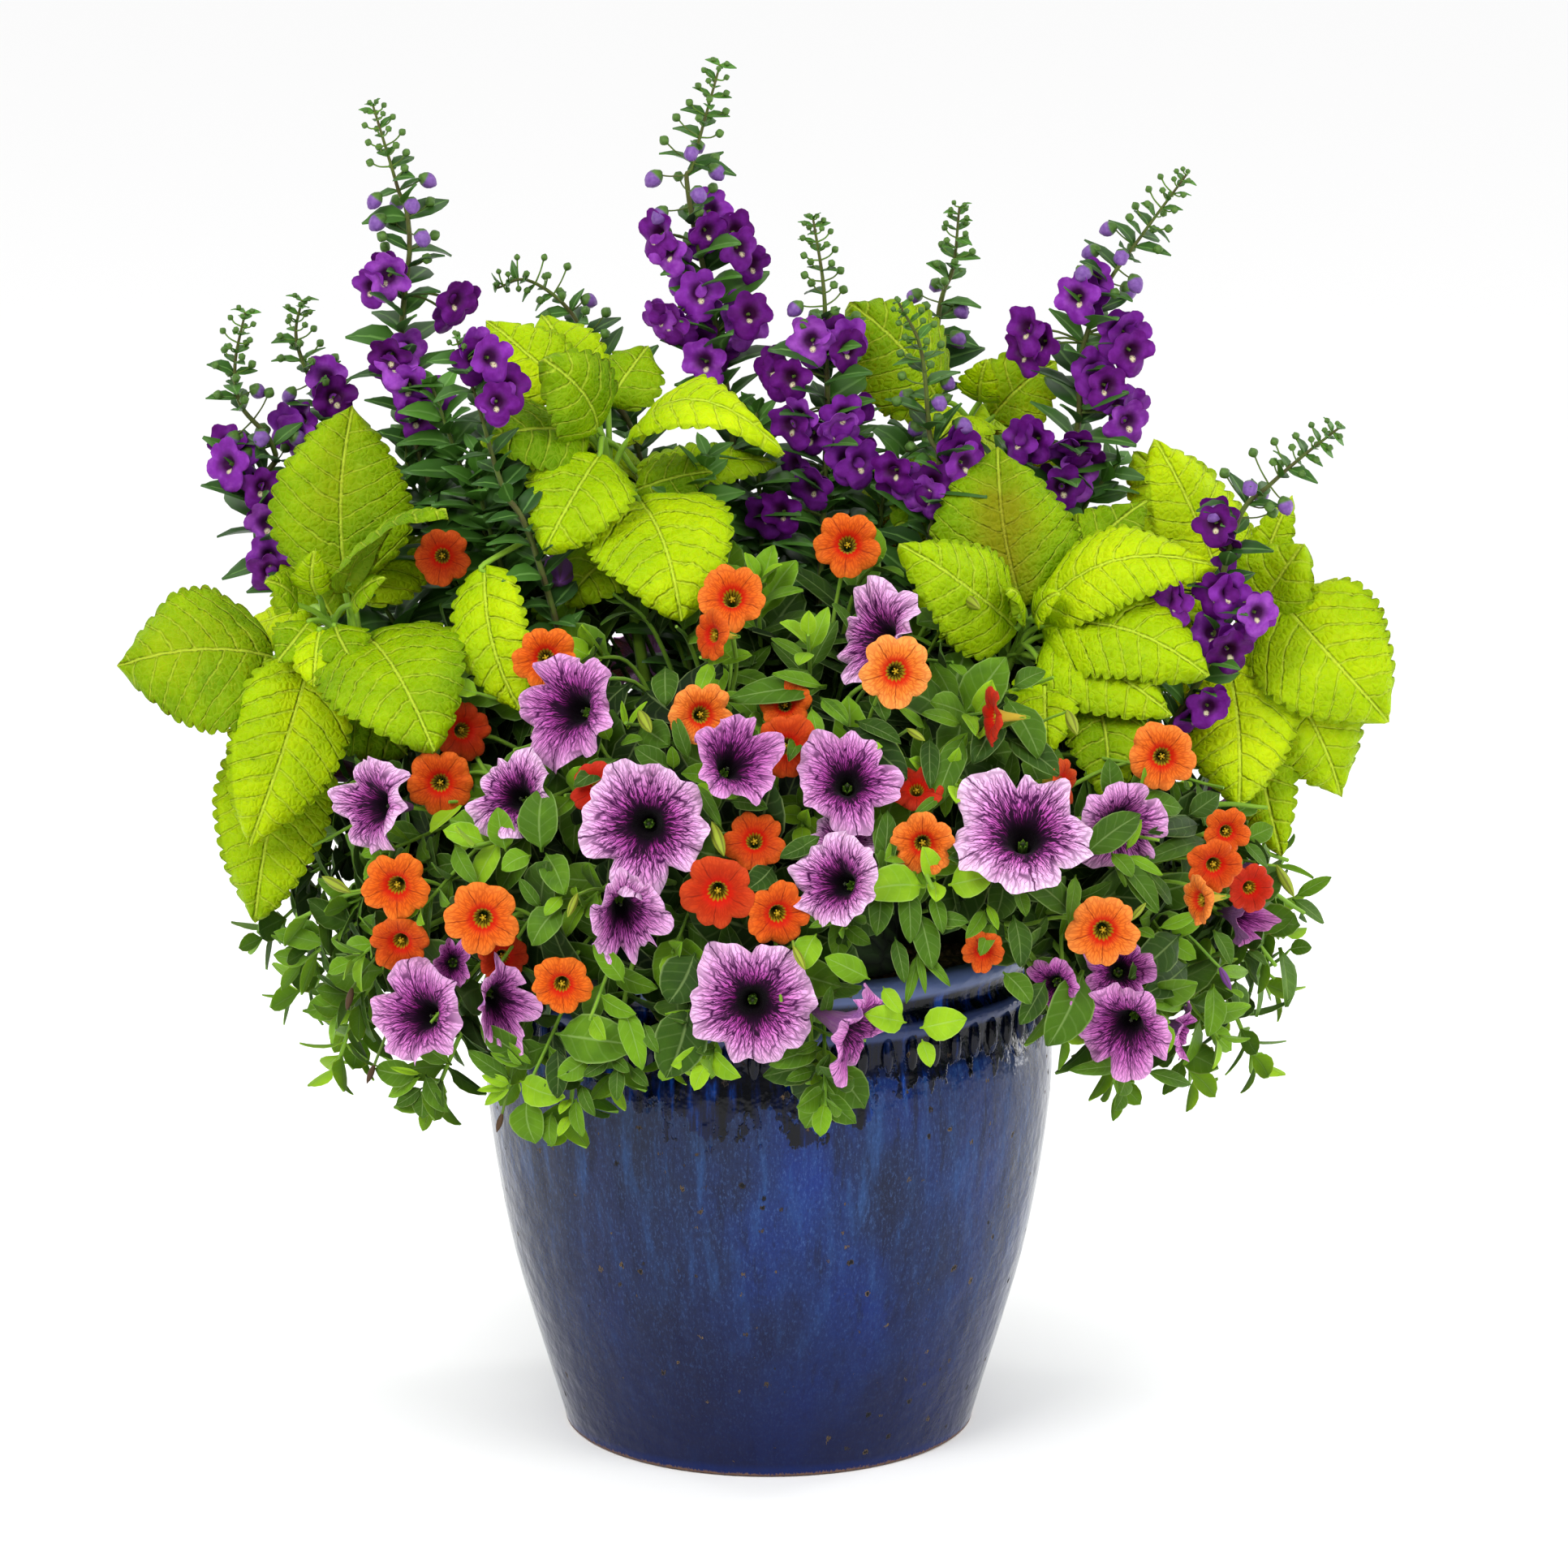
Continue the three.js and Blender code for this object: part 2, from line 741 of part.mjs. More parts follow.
// the point of a line of points that is nearest to p
function nearestOn(line, p) {
  const spots = line.slice(1).map((end, i) => {
    const spot = v(0, 0, 0);
    new THREE.Line3(line[i], end).closestPointToPoint(p, true, spot);
    return spot;
  });
  return spots.reduce((a, b) => (b.distanceTo(p) < a.distanceTo(p) ? b : a));
}

function coleusStations(base, tip, half, arch, up) {
  const steps = COLEUS_STEPS - (half < 30) - (half < SMALL_BLADE);
  return Array.from({ length: steps + 1 }, (_, i) => {
    const share = i / steps;
    const rise = arch * base.distanceTo(tip) * 4 * share * (1 - share);
    return {
      at: lerp(base, tip, share).addScaledVector(up, rise),
      half: i === steps ? 0 : Math.max(half * coleusWidth(share), 1.5),
      thick: i ? LEAF : 1.1,
    };
  });
}

// a leaf on its stalk, moved nearer or further at its tip until its blade crosses no other blade
function coleusLeaf(joint, [base, tip, half, arch, roll], blades) {
  const start = at(...base);
  const form = (i) => {
    const end = at(tip[0], tip[1], tip[2] + BLADE_STEP * toAndFro(i));
    const along = end.clone().sub(start).normalize();
    const up = TOWARDS_LIGHT.clone()
      .applyAxisAngle(along, rad(roll))
      .projectOnPlane(along)
      .normalize();
    return [coleusStations(start, end, half, arch, up), up];
  };
  const tooth = half < SMALL_BLADE ? 0 : CRENATION;
  const bladeAt = (i) => {
    const [stations, up] = form(i);
    return blade(stations, up, CUP, tooth);
  };
  const found = Array.from({ length: TRIES }, (_, i) => i).find((i) =>
    isFree(bladeAt(i), blades),
  );
  const choice = found ?? 0;
  blades.push(bladeAt(choice));
  const [stations, up] = form(choice);
  return blade([{ at: joint, half: 1.4, thick: 1.2 }, ...stations], up, CUP, tooth);
}

function addStem(line, radii, sides) {
  holes.push(bar(line, radii.map((r) => r + FIT * 1.3), sides));
  return bar(line, radii, sides);
}

COLEUS.forEach(({ name, foot, crown, leaves }) => {
  const top = at(...crown);
  const soilPoint = v(foot[0], foot[1], ROOT_HEIGHT);
  const elbow = lerp(soilPoint, top, 0.5).add(v(0, 0, 14));
  const line = [soilPoint, elbow, top];
  const radii = [1, 0.9, 0.75].map((share) => share * COLEUS_STEM);
  const solids = [addStem(line, radii, 4)];
  const lowest = lerp(elbow, top, 0.66);
  const blades = [];
  leaves.forEach((leafPlan, i) => {
    const joint = lerp(top, lowest, (i % LEAF_STEPS) / LEAF_STEPS);
    solids.push(coleusLeaf(joint, leafPlan, blades));
  });
  add(name, joined(solids), COLEUS_COLOR, 0.6);
});

// ---- angelonia spikes ----

// each spike: where it stands in the soil, its depth, its stem from below to the tip, and its
// flowers (across and up), which face the front from their stalks
const SPIKES = [
  {
    foot: [-62, 20],
    depth: 16,
    stem: [[-171, 474], [-177, 586], [-183, 610], [-195, 650]],
    flowers: [[-188, 566], [-154, 554], [-187, 526], [-177, 512], [-173, 496]],
  },
  {
    foot: [-10, 40],
    depth: 34,
    stem: [[-17, 478], [-39, 602], [-37, 622], [-24, 670]],
    flowers: [[-30, 588], [-50, 578], [-14, 580], [-34, 558], [-9, 548], [-49, 544], [-32, 524]],
  },
  {
    foot: [16, 18],
    depth: 12,
    stem: [[28, 470], [28, 534], [27, 562], [22, 594]],
    flowers: [[21, 534], [39, 530], [11, 516], [15, 497], [37, 498], [45, 474], [21, 462], [6, 450]],
  },
  {
    foot: [10, 88],
    depth: 98,
    stem: [[74, 500], [85, 554], [91, 570], [94, 600]],
    flowers: [],
  },
  {
    foot: [32, 22],
    depth: -6,
    stem: [[81, 446], [79, 490], [75, 530], [64, 553]],
    flowers: [[77, 458], [61, 470], [97, 474]],
  },
  {
    foot: [66, 32],
    depth: 30,
    stem: [[145, 462], [153, 522], [165, 558], [181, 582], [206, 616]],
    flowers: [
      [152, 556], [134, 534], [179, 529], [167, 512], [131, 486], [153, 482], [177, 494],
      [145, 462],
    ],
  },
  {
    foot: [92, -36],
    depth: -52,
    stem: [[206, 356], [222, 412], [233, 449], [247, 463], [263, 477], [281, 491]],
    flowers: [[220, 444], [200, 406], [227, 410], [241, 400], [227, 381], [217, 354]],
  },
  {
    foot: [-88, 48],
    depth: 44,
    stem: [[-243, 430], [-243, 478], [-260, 502], [-263, 522], [-258, 548]],
    flowers: [[-249, 462], [-267, 474], [-247, 444], [-245, 420]],
  },
  {
    foot: [-64, 68],
    depth: 66,
    stem: [[-205, 440], [-217, 496], [-229, 522], [-233, 538], [-230, 554]],
    flowers: [[-233, 488], [-214, 506]],
  },
  {
    foot: [-30, 76],
    depth: 58,
    stem: [[-60, 460], [-77, 506], [-83, 522], [-99, 550], [-119, 564], [-134, 560]],
    flowers: [],
  },
  {
    foot: [-56, -30],
    depth: -58,
    stem: [[-111, 418], [-131, 462], [-143, 502], [-154, 536]],
    flowers: [[-137, 526], [-134, 504]],
  },
];
const ANGELONIA_COLOR = 0x6a1ba8;
const FLORET = 13.5; // reach of a flower's lobes
const FLORET_AHEAD = 11; // how far the flowers stand ahead of their stem
const FLORET_STEP = 4; // between two depths tried for a flower
const SPIKE_LEAVES = 3;
const SPIKE_BUDS = 4;
const SPIKE_STEP = 13; // between two buds near the tip

// a flower of five lobes, on a thin stalk of three sides that starts inside the stem
function floret(joint, middle) {
  const face = middle.clone().sub(joint).normalize().add(v(0, -1.4, 0.2)).normalize();
  const across = UP.clone().cross(face).normalize();
  const high = face.clone().cross(across);
  const points = [];
  const faces = [];
  const rim = 2 * LOBES;
  for (let k = 0; k < rim; k++) {
    const turn = Math.PI / 2 + (2 * Math.PI * (k + 1)) / rim;
    const reach = FLORET * (k % 2 ? 0.62 : 1);
    points.push(
      middle
        .clone()
        .addScaledVector(across, reach * Math.cos(turn))
        .addScaledVector(high, reach * Math.sin(turn))
        .addScaledVector(face, k % 2 ? 0 : 1.5),
    );
    faces.push([rim, k, (k + 1) % rim]);
  }
  points.push(middle.clone().addScaledVector(face, 1));
  const neck = middle.clone().addScaledVector(face, -4);
  const start = across
    .clone()
    .multiplyScalar(Math.cos(Math.PI / 2 + (2 * Math.PI) / rim))
    .addScaledVector(high, Math.sin(Math.PI / 2 + (2 * Math.PI) / rim));
  points.push(...ringsAlong([neck, joint], [1.1, 0.7], STALK_SIDES, start));
  const back = Array.from({ length: rim }, (_, k) => k);
  faces.push(...bridge(back, [rim + 1, rim + 3, rim + 2]));
  return solid(points, [...faces, ...ringFaces(2, STALK_SIDES, rim + 1)]);
}

// the point of a line at a distance from its end, and the way the line runs there
function fromTip(line, distance) {
  let left = distance;
  for (let i = line.length - 1; i > 0; i--) {
    const step = line[i].distanceTo(line[i - 1]);
    if (left <= step) {
      return lerp(line[i], line[i - 1], left / step);
    }
    left -= step;
  }
  return line[0].clone();
}

// buds and leaves stand round the stem by the golden angle; a piece that would cross a flower or
// another piece is turned further, and is left out where there is no room for it
SPIKES.forEach(({ foot, depth, stem, flowers }, n) => {
  const random = randomFrom(100 + n);
  const seen = stem.map(([across, up]) => at(across, up, depth));
  const line = [v(foot[0], foot[1], ROOT_HEIGHT), ...seen];
  const radii = line.map((_, i) => SPIKE_STEM * (1 - (0.55 * i) / line.length));
  const pieces = [];
  flowers.forEach(([across, up]) => {
    const form = (i) => {
      const middle = at(across, up, depth - FLORET_AHEAD + FLORET_STEP * toAndFro(i));
      return floret(nearestOn(seen, middle), middle);
    };
    pieces.push(firstFree(form, TRIES, pieces) ?? form(0));
  });
  const around = (joint, count, make) => {
    const start = rad(count * GOLDEN_ANGLE + 40 * random());
    const form = (i) => {
      const turn = start + i * 0.8;
      const out = v(Math.cos(turn), 0.6 * Math.sin(turn), 0.4).normalize();
      return make(joint, out);
    };
    const body = firstFree(form, TRIES, pieces);
    if (body) pieces.push(body);
  };
  for (let i = 0; i < SPIKE_BUDS; i++) {
    const reach = 8 + 2.2 * i;
    around(fromTip(seen, i * SPIKE_STEP + 1), i, (joint, out) =>
      spindle(joint, joint.clone().addScaledVector(out, reach), 0.72, 2 + 0.2 * i, 2 + 0.2 * i),
    );
  }
  for (let i = 0; i < SPIKE_LEAVES; i++) {
    const reach = 14 + 3 * i;
    around(fromTip(seen, 8 + i * SPIKE_STEP * 1.25), i + 3, (joint, out) =>
      spindle(joint, joint.clone().addScaledVector(out, reach), 0.5, 3.4 + 0.6 * i, LEAF),
    );
  }
  add(
    `angelonia_spike_${n + 1}`,
    joined([addStem(line, radii, 3), ...pieces]),
    ANGELONIA_COLOR,
    0.6,
  );
});

// ---- pot ----

function turned(profile, sides) {
  const shape = profile.map(([r, z]) => new THREE.Vector2(r, z));
  return new THREE.LatheGeometry(shape, sides).rotateX(Math.PI / 2);
}

const inside = [
  [BELLY_RADIUS - WALL - 46, FLOOR],
  [109, 55],
  [124.5, 121],
  [BELLY_RADIUS - WALL, BELLY_HEIGHT],
  [NECK_RADIUS - WALL + 2, RIM_HEIGHT - 9],
];
const outside = [
  [0, 0],
  [FOOT_RADIUS - 3, 0],
  [FOOT_RADIUS, 3],
  [109, 23],
  [118, 55],
  [127, 88],
  [133.6, 121],
  [138.5, 154],
  [BELLY_RADIUS, BELLY_HEIGHT],
  [139.8, 203],
  [BEAD_RADIUS + 0.5, BEAD_HEIGHT - 8],
  [BEAD_RADIUS, BEAD_HEIGHT],
  [BEAD_RADIUS - 1, BEAD_HEIGHT + 8],
  [NECK_RADIUS, 238],
  [LIP_RADIUS, RIM_HEIGHT - 6],
  [LIP_RADIUS - 4, RIM_HEIGHT],
];

function potSolid() {
  const profile = [...outside, ...[...inside].reverse(), [0, FLOOR]];
  const geometry = turned(profile, POT_SIDES);
  const position = geometry.attributes.position;
  for (let i = 0; i < position.count; i++) {
    const [x, y, z] = [position.getX(i), position.getY(i), position.getZ(i)];
    const side = Math.round((Math.atan2(y, x) * POT_SIDES) / (2 * Math.PI));
    if (Math.abs(z - BEAD_HEIGHT) < 1 && side % 2 === 0) {
      const grow = 1 + BEAD_RISE / BEAD_RADIUS;
      position.setXY(i, x * grow, y * grow);
    }
  }
  return solidOfGeometry(geometry);
}
add("glazed_pot", potSolid(), 0x2c4c80, 0.2);

// ---- foliage plants: a core, leaves in tufts all over it, and shoots that trail over the rim ----

// gaps in the foliage at the front, where the soil and the rim show: across and up, each from and to
const OPEN_FRONT = [
  [58, 98, 165, 243],
  [98, 128, 165, 222],
];
// trailing shoots: where they leave the mound and where they end (across, up), depth of the end
const TRAILS = [
  [[-200, 265], [-239, 246], -70],
  [[-195, 248], [-243, 222], -60],
  [[-185, 225], [-211, 200], -90],
  [[-145, 200], [-167, 156], -130],
  [[-105, 195], [-99, 144], -160],
  [[-125, 200], [-124, 168], -150],
  [[-80, 205], [-76, 166], -172],
  [[-50, 205], [-48, 176], -182],
  [[20, 205], [22, 172], -185],
  [[50, 225], [72, 196], -178],
  [[75, 290], [81, 264], -196],
  [[108, 240], [128, 208], -160],
  [[140, 235], [147, 190], -150],
  [[165, 220], [173, 162], -120],
  [[190, 200], [211, 168], -95],
  [[205, 235], [217, 202], -85],
  [[235, 255], [258, 214], -55],
  [[240, 265], [275, 252], -20],
  [[225, 300], [246, 304], -60],
];
const FOLIAGE_COLOR = 0x4c8a2a;
const CORE_TURNS = 3;
const CORE_RISES = [0, 22, 43, 62, 78];
const TUFTS = 28;
const TUFT_LEAVES = 3;

const coreRadii = v(...CORE_RADII);
const onEllipsoid = (turn, rise) =>
  v(
    Math.cos(rad(turn)) * Math.cos(rad(rise)),
    Math.sin(rad(turn)) * Math.cos(rad(rise)),
    Math.sin(rad(rise)),
  )
    .multiply(coreRadii)
    .add(moundCentre);

// one sixth of the core, a little apart from the next, with its stem down into the soil
function coreOf(plant) {
  const middleTurn = (360 / PLANTS_ROUND) * plant;
  const shift = v(Math.cos(rad(middleTurn)), Math.sin(rad(middleTurn)), 0).multiplyScalar(
    PLANT_GAP,
  );
  const points = [moundCentre.clone(), onEllipsoid(0, 90)];
  const rows = CORE_RISES.length;
  for (let i = 0; i <= CORE_TURNS; i++) {
    const turn = middleTurn + (360 / PLANTS_ROUND) * (i / CORE_TURNS - 0.5);
    CORE_RISES.forEach((rise) => points.push(onEllipsoid(turn, rise)));
  }
  const spot = (i, j) => 2 + i * rows + j;
  const faces = [];
  for (let i = 0; i < CORE_TURNS; i++) {
    for (let j = 0; j < rows - 1; j++) {
      faces.push([spot(i, j), spot(i + 1, j), spot(i + 1, j + 1)]);
      faces.push([spot(i, j), spot(i + 1, j + 1), spot(i, j + 1)]);
    }
    faces.push([spot(i, rows - 1), spot(i + 1, rows - 1), 1]);
    faces.push([0, spot(i + 1, 0), spot(i, 0)]);
  }
  for (let j = 0; j < rows - 1; j++) {
    faces.push([0, spot(0, j), spot(0, j + 1)]);
    faces.push([0, spot(CORE_TURNS, j + 1), spot(CORE_TURNS, j)]);
  }
  faces.push([0, spot(0, rows - 1), 1], [0, 1, spot(CORE_TURNS, rows - 1)]);
  const core = solid(points.map((p) => p.add(shift)), faces);
  const stemFoot = v(...STEM_SPOT, ROOT_HEIGHT).applyAxisAngle(UP, rad(middleTurn));
  const stemTop = stemFoot.clone().setZ(CORE_BOTTOM + 12);
  holes.push(bar([stemFoot, stemTop.clone().setZ(CORE_BOTTOM - 2)], [3.5, 3.5], 5));
  return { core, stem: bar([stemFoot, stemTop], [3, 3], 5) };
}

// the space in front of a gap, along the line of sight
function openSpace([left, right, low, high]) {
  const near = -260;
  const far = 20;
  const corners = [near, far].flatMap((depth) => [
    at(left, low, depth),
    at(right, low, depth),
    at(right, high, depth),
    at(left, high, depth),
  ]);
  return solid(corners, [
    [0, 1, 2], [0, 2, 3], [4, 6, 5], [4, 7, 6], [0, 5, 1], [0, 4, 5],
    [1, 6, 2], [1, 5, 6], [2, 7, 3], [2, 6, 7], [3, 4, 0], [3, 7, 4],
  ]);
}

function plantAt(point) {
  const turn = Math.atan2(
    (point.y - moundCentre.y) / coreRadii.y,
    (point.x - moundCentre.x) / coreRadii.x,
  );
  const sector = Math.round((turn * PLANTS_ROUND) / (2 * Math.PI));
  return (sector + PLANTS_ROUND) % PLANTS_ROUND;
}

const openSpaces = OPEN_FRONT.map(openSpace);
const plants = Array.from({ length: PLANTS_ROUND }, (_, i) => coreOf(i));
plants.forEach((plant) => {
  const cut = [...openSpaces, ...holes].filter((hole) => boxesMeet(hole, plant.core));
  const core = cut.reduce((left, hole) => left.subtract(hole), plant.core);
  plant.solids = [joined([core, plant.stem])];
});

// adds a piece to a plant where it crosses nothing but the core and the shoot that carry it
function grow(plant, carriers, make) {
  const others = [
    ...placed,
    ...openSpaces,
    ...plants.filter((other) => other !== plant).flatMap((other) => other.solids),
    ...plant.solids.slice(1).filter((own) => !carriers.includes(own)),
  ];
  const body = firstFree(make, TRIES, others);
  if (body) plant.solids.push(body);
  return body;
}

function addTrail([from, to, depth], n) {
  const random = randomFrom(500 + n);
  const start = onCore(onMound(...from, 0));
  const plant = plants[plantAt(start)];
  const tip = at(...to, depth);
  const inner = start.clone().lerp(moundCentre, 0.06);
  const bend = lerp(start, tip, 0.45).add(v(0, -4, 8));
  const line = [inner, bend, tip];
  const shoot = grow(plant, [], () => bar(line, [1.8, 1.5, 1], 3));
  if (!shoot) return;
  const along = tip.clone().sub(bend).normalize();
  const side = along.clone().cross(v(0, -1, 0.3)).normalize();
  [0.3, 0.95].forEach((share, pair) => {
    const joint = lerp(bend, tip, share);
    const carriers = [shoot];
    [-1, 1].forEach((sign) => {
      const body = grow(plant, carriers, (attempt) => {
        const out = side
          .clone()
          .multiplyScalar(sign)
          .addScaledVector(along, 0.6 + 0.2 * random())
          .add(v(0, -0.35 - 0.1 * attempt, 0.1 * attempt))
          .normalize();
        const end = joint.clone().addScaledVector(out, 30 - 6 * pair - attempt);
        return leaf(joint, end, 10, v(0, -0.8, 0.6));
      });
      if (body) carriers.push(body);
    });
  });
}
TRAILS.forEach(addTrail);

for (let n = 0; n < TUFTS; n++) {
  const random = randomFrom(900 + n);
  const rise = THREE.MathUtils.radToDeg(Math.asin(0.05 + (0.93 * (n + 0.5)) / TUFTS));
  const base = onEllipsoid(n * GOLDEN_ANGLE, rise);
  const out = base.clone().sub(moundCentre).divide(coreRadii).divide(coreRadii).normalize();
  const side = out.clone().cross(v(0.3, 0.2, 1)).normalize();
  const plant = plants[plantAt(base)];
  for (let k = 0; k < TUFT_LEAVES; k++) {
    grow(plant, [], (attempt) => {
      const turn = rad((360 * k) / TUFT_LEAVES + 60 * random() + attempt * 23);
      const spread = rad(52 + 14 * random() - attempt * 5);
      const aside = side.clone().applyAxisAngle(out, turn);
      const way = out
        .clone()
        .multiplyScalar(Math.cos(spread))
        .addScaledVector(aside, Math.sin(spread));
      const reach = 44 + 12 * random() - 2 * attempt;
      const start = base.clone().addScaledVector(out, -7).addScaledVector(aside, 5);
      return leaf(start, base.clone().addScaledVector(way, reach), 11, out);
    });
  }
}

plants.forEach((plant, i) => {
  add(`trailing_foliage_${i + 1}`, joined(plant.solids), FOLIAGE_COLOR, 0.7);
});

// ---- soil ----

function soilSolid() {
  const wall = inside.slice(0, -1).map(([r, z]) => [r - FIT, z === FLOOR ? z + FIT : z]);
  const [r1, z1] = inside[inside.length - 2];
  const [r2, z2] = inside[inside.length - 1];
  const top = r1 + ((r2 - r1) * (SOIL_HEIGHT - 4 - z1)) / (z2 - z1) - FIT;
  const profile = [
    [0, FLOOR + FIT],
    ...wall,
    [top, SOIL_HEIGHT - 4],
    [100, SOIL_HEIGHT],
    [0, SOIL_HEIGHT + SOIL_MOUND],
  ];
  const body = solidOfGeometry(turned(profile, SOIL_SIDES));
  return holes
    .filter((hole) => boxesMeet(hole, body))
    .reduce((left, hole) => left.subtract(hole), body);
}
add("potting_soil", soilSolid(), 0x4a3626, 0.95);

export default root;
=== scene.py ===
# %% [markdown]
# # A planted pot: calibrachoa, petunia, angelonia and coleus in a glazed pot
# A pot of mixed bedding plants is a few main shapes and a great many small ones. The main shapes
# are the turned pot, the bright coleus leaves and the open blooms, and each of those is made one by
# one. The small ones are leaves, buds, stems and beads, and Geometry Nodes set them out.
# The imported solids come first. They are the frame: every piece here goes where its solid is.

# %% Load the frame
import functools
import json
from math import asin, atan2, cos, hypot, pi, radians, sin, sqrt, tau

import bpy
import numpy as np
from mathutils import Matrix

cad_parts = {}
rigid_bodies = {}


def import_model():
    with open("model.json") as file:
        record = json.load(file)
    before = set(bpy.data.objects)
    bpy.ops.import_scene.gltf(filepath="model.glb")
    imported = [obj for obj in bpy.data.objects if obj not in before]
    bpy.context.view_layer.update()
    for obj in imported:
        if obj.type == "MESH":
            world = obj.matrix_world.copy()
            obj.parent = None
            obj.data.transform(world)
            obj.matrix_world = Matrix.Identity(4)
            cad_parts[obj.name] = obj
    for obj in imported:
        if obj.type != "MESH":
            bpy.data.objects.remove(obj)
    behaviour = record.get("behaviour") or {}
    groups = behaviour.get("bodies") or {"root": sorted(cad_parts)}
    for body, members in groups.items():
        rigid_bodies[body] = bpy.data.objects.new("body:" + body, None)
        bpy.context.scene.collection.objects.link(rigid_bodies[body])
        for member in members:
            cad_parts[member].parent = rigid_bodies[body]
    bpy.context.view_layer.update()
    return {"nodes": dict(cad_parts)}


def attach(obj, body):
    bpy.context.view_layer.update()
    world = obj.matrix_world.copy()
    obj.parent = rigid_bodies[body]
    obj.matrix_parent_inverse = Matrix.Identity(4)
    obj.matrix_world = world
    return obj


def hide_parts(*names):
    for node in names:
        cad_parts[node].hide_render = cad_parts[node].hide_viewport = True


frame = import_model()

# %% [markdown]
# ## Small helpers
# Sizes are written in millimetres, as a gardener or a potter would measure them, and one factor
# turns them to Blender's metres. Colours are picked as sRGB hex values, but a shader adds light, so
# it needs linear ones. One function turns them.

# %% Units and colours
MM = 0.001
SEED = {"blooms": 11, "spikes": 40, "leafy stems": 140, "single leaves": 90, "shoots": 300,
        "rim shoots": 500, "back shoots": 700, "deep leaves": 2000}  # where random draws start


def linear(hex_colour):
    """An sRGB hex colour as the linear RGBA that a shader needs."""
    parts = [int(hex_colour[i : i + 2], 16) / 255 for i in (1, 3, 5)]
    lit = [c / 12.92 if c <= 0.04045 else ((c + 0.055) / 1.055) ** 2.4 for c in parts]
    return (*lit, 1.0)


print("cobalt in linear light:", [round(c, 3) for c in linear("#1B3F96")])

# %% [markdown]
# Shaders and Geometry Nodes are both trees of nodes. One helper adds a node to either. Its inputs
# are given in order, or by name or number, as a value, a hex colour, a socket, or another node,
# whose first output in use is linked. A kind without a prefix belongs to the kind of tree, and what
# follows a dot is its operation. A Mix node mixes colours unless told otherwise, as most do here.
# Materials are painted in layers: a colour over a colour, where some value runs from one number to
# another.

# %% Adding a node
USUAL = {"Mix": {"data_type": "RGBA"}}
SMOOTH = {"interpolation_type": "SMOOTHSTEP"}


def feed(node, inputs):
    """Sets or links inputs of a node: a list gives them in order, a dict by name or number."""
    for key, value in inputs.items() if isinstance(inputs, dict) else enumerate(inputs):
        if isinstance(value, bpy.types.Node):
            value = next(output for output in value.outputs if output.enabled)
        if isinstance(value, bpy.types.NodeSocket):
            node.id_data.links.new(value, node.inputs[key])
        else:
            is_colour = isinstance(value, str) and value.startswith("#")
            node.inputs[key].default_value = linear(value) if is_colour else value


def add_node(tree, kind, inputs=(), stops=(), **settings):
    """Adds a node with its settings, its colour stops, and its inputs set or linked."""
    kind, _, operation = kind.partition(".")
    node = tree.nodes.new(kind if "Node" in kind else tree.bl_idname.removesuffix("Tree") + kind)
    if operation:
        node.operation = operation
    for name, value in {**USUAL.get(kind, {}), **settings}.items():
        setattr(node, name, value)
    for i, (place, colour) in enumerate(stops):
        ramp = node.color_ramp.elements
        stop = ramp[i] if i < 2 else ramp.new(place)
        stop.position, stop.color = place, linear(colour)
    feed(node, inputs)
    return node


def new_material(name, **values):
    """A material with one Principled shader, the values of its sockets, and a way to add nodes."""
    material = bpy.data.materials.new(name)
    material.use_nodes = True
    paint(material, {key.replace("_", " "): value for key, value in values.items()})
    return material, functools.partial(add_node, material.node_tree)


def paint(material, inputs):
    """Feeds the shader of a material and returns the material."""
    feed(material.node_tree.nodes["Principled BSDF"], inputs)
    return material


def place_in_mm(n):
    """The place on the piece in millimetres, so that a pattern has a real size."""
    return n("VectorMath.SCALE", {0: n("TexCoord").outputs["Object"], 3: 1 / MM})


def layer(n, under, colour, value, start, end, strength=1.0, **settings):
    """Lays a colour over what is under it, more and more as a value goes from start to end."""
    share = n("MapRange", [value, start, end, 0, strength], **settings)
    return n("Mix", {0: share, 6: under, 7: colour})


def relief(n, grain, grain_strength, grain_depth, sunk, strength, depth):
    """A rough surface with sunken lines in it, their depths in millimetres."""
    rough = n("Bump", {"Height": grain, "Strength": grain_strength, "Distance": grain_depth * MM})
    return n("Bump", {"Height": sunk, "Strength": strength, "Distance": depth * MM,
                      "Normal": rough}, invert=True)


def lie_and(n, value):
    """How a point lies on its leaf or petal, and a value that is the same all over it."""
    lie = n("SeparateXYZ", [n("Attribute", attribute_name="lie").outputs["Vector"]])
    return lie, n("Attribute", attribute_name=value).outputs["Fac"]


print("helpers ready")

# %% [markdown]
# ## Closed forms from rings
# A petal, a leaf, a bud and the pot itself are all the same kind of mesh: a row of rings, each
# joined to the next, with a face over the first and the last. A leaf is a ring that is squeezed
# flat: its upper side runs to the right, its lower side back to the left. So one function makes
# every form here, and each of them is closed. It also turns the faces outwards, by the sign of the
# volume that they enclose.

# %% Rings to a closed form


def skin(rings):
    """Points and faces of a closed form: rings is an array of rings of points, rows by columns."""
    rows, columns = rings.shape[:2]
    points = rings.reshape(-1, 3)
    start = np.arange(rows - 1)[:, None] * columns
    here = np.arange(columns)
    after = (here + 1) % columns
    quads = np.stack([start + here, start + after, start + columns + after, start + columns + here])
    quads = quads.transpose(1, 2, 0).reshape(-1, 4)
    first = list(range(columns))[::-1]
    last = list(range((rows - 1) * columns, rows * columns))
    a, b, c, d = (points[quads[:, i]] for i in range(4))
    volume = (np.cross(a, b) * c).sum() + (np.cross(a, c) * d).sum()
    faces = [*quads.tolist(), first, last]
    if volume < 0:
        faces = [face[::-1] for face in faces]
    return points, faces


def all_round(steps):
    """Angles all round, in equal steps."""
    return np.linspace(0, tau, steps, endpoint=False)


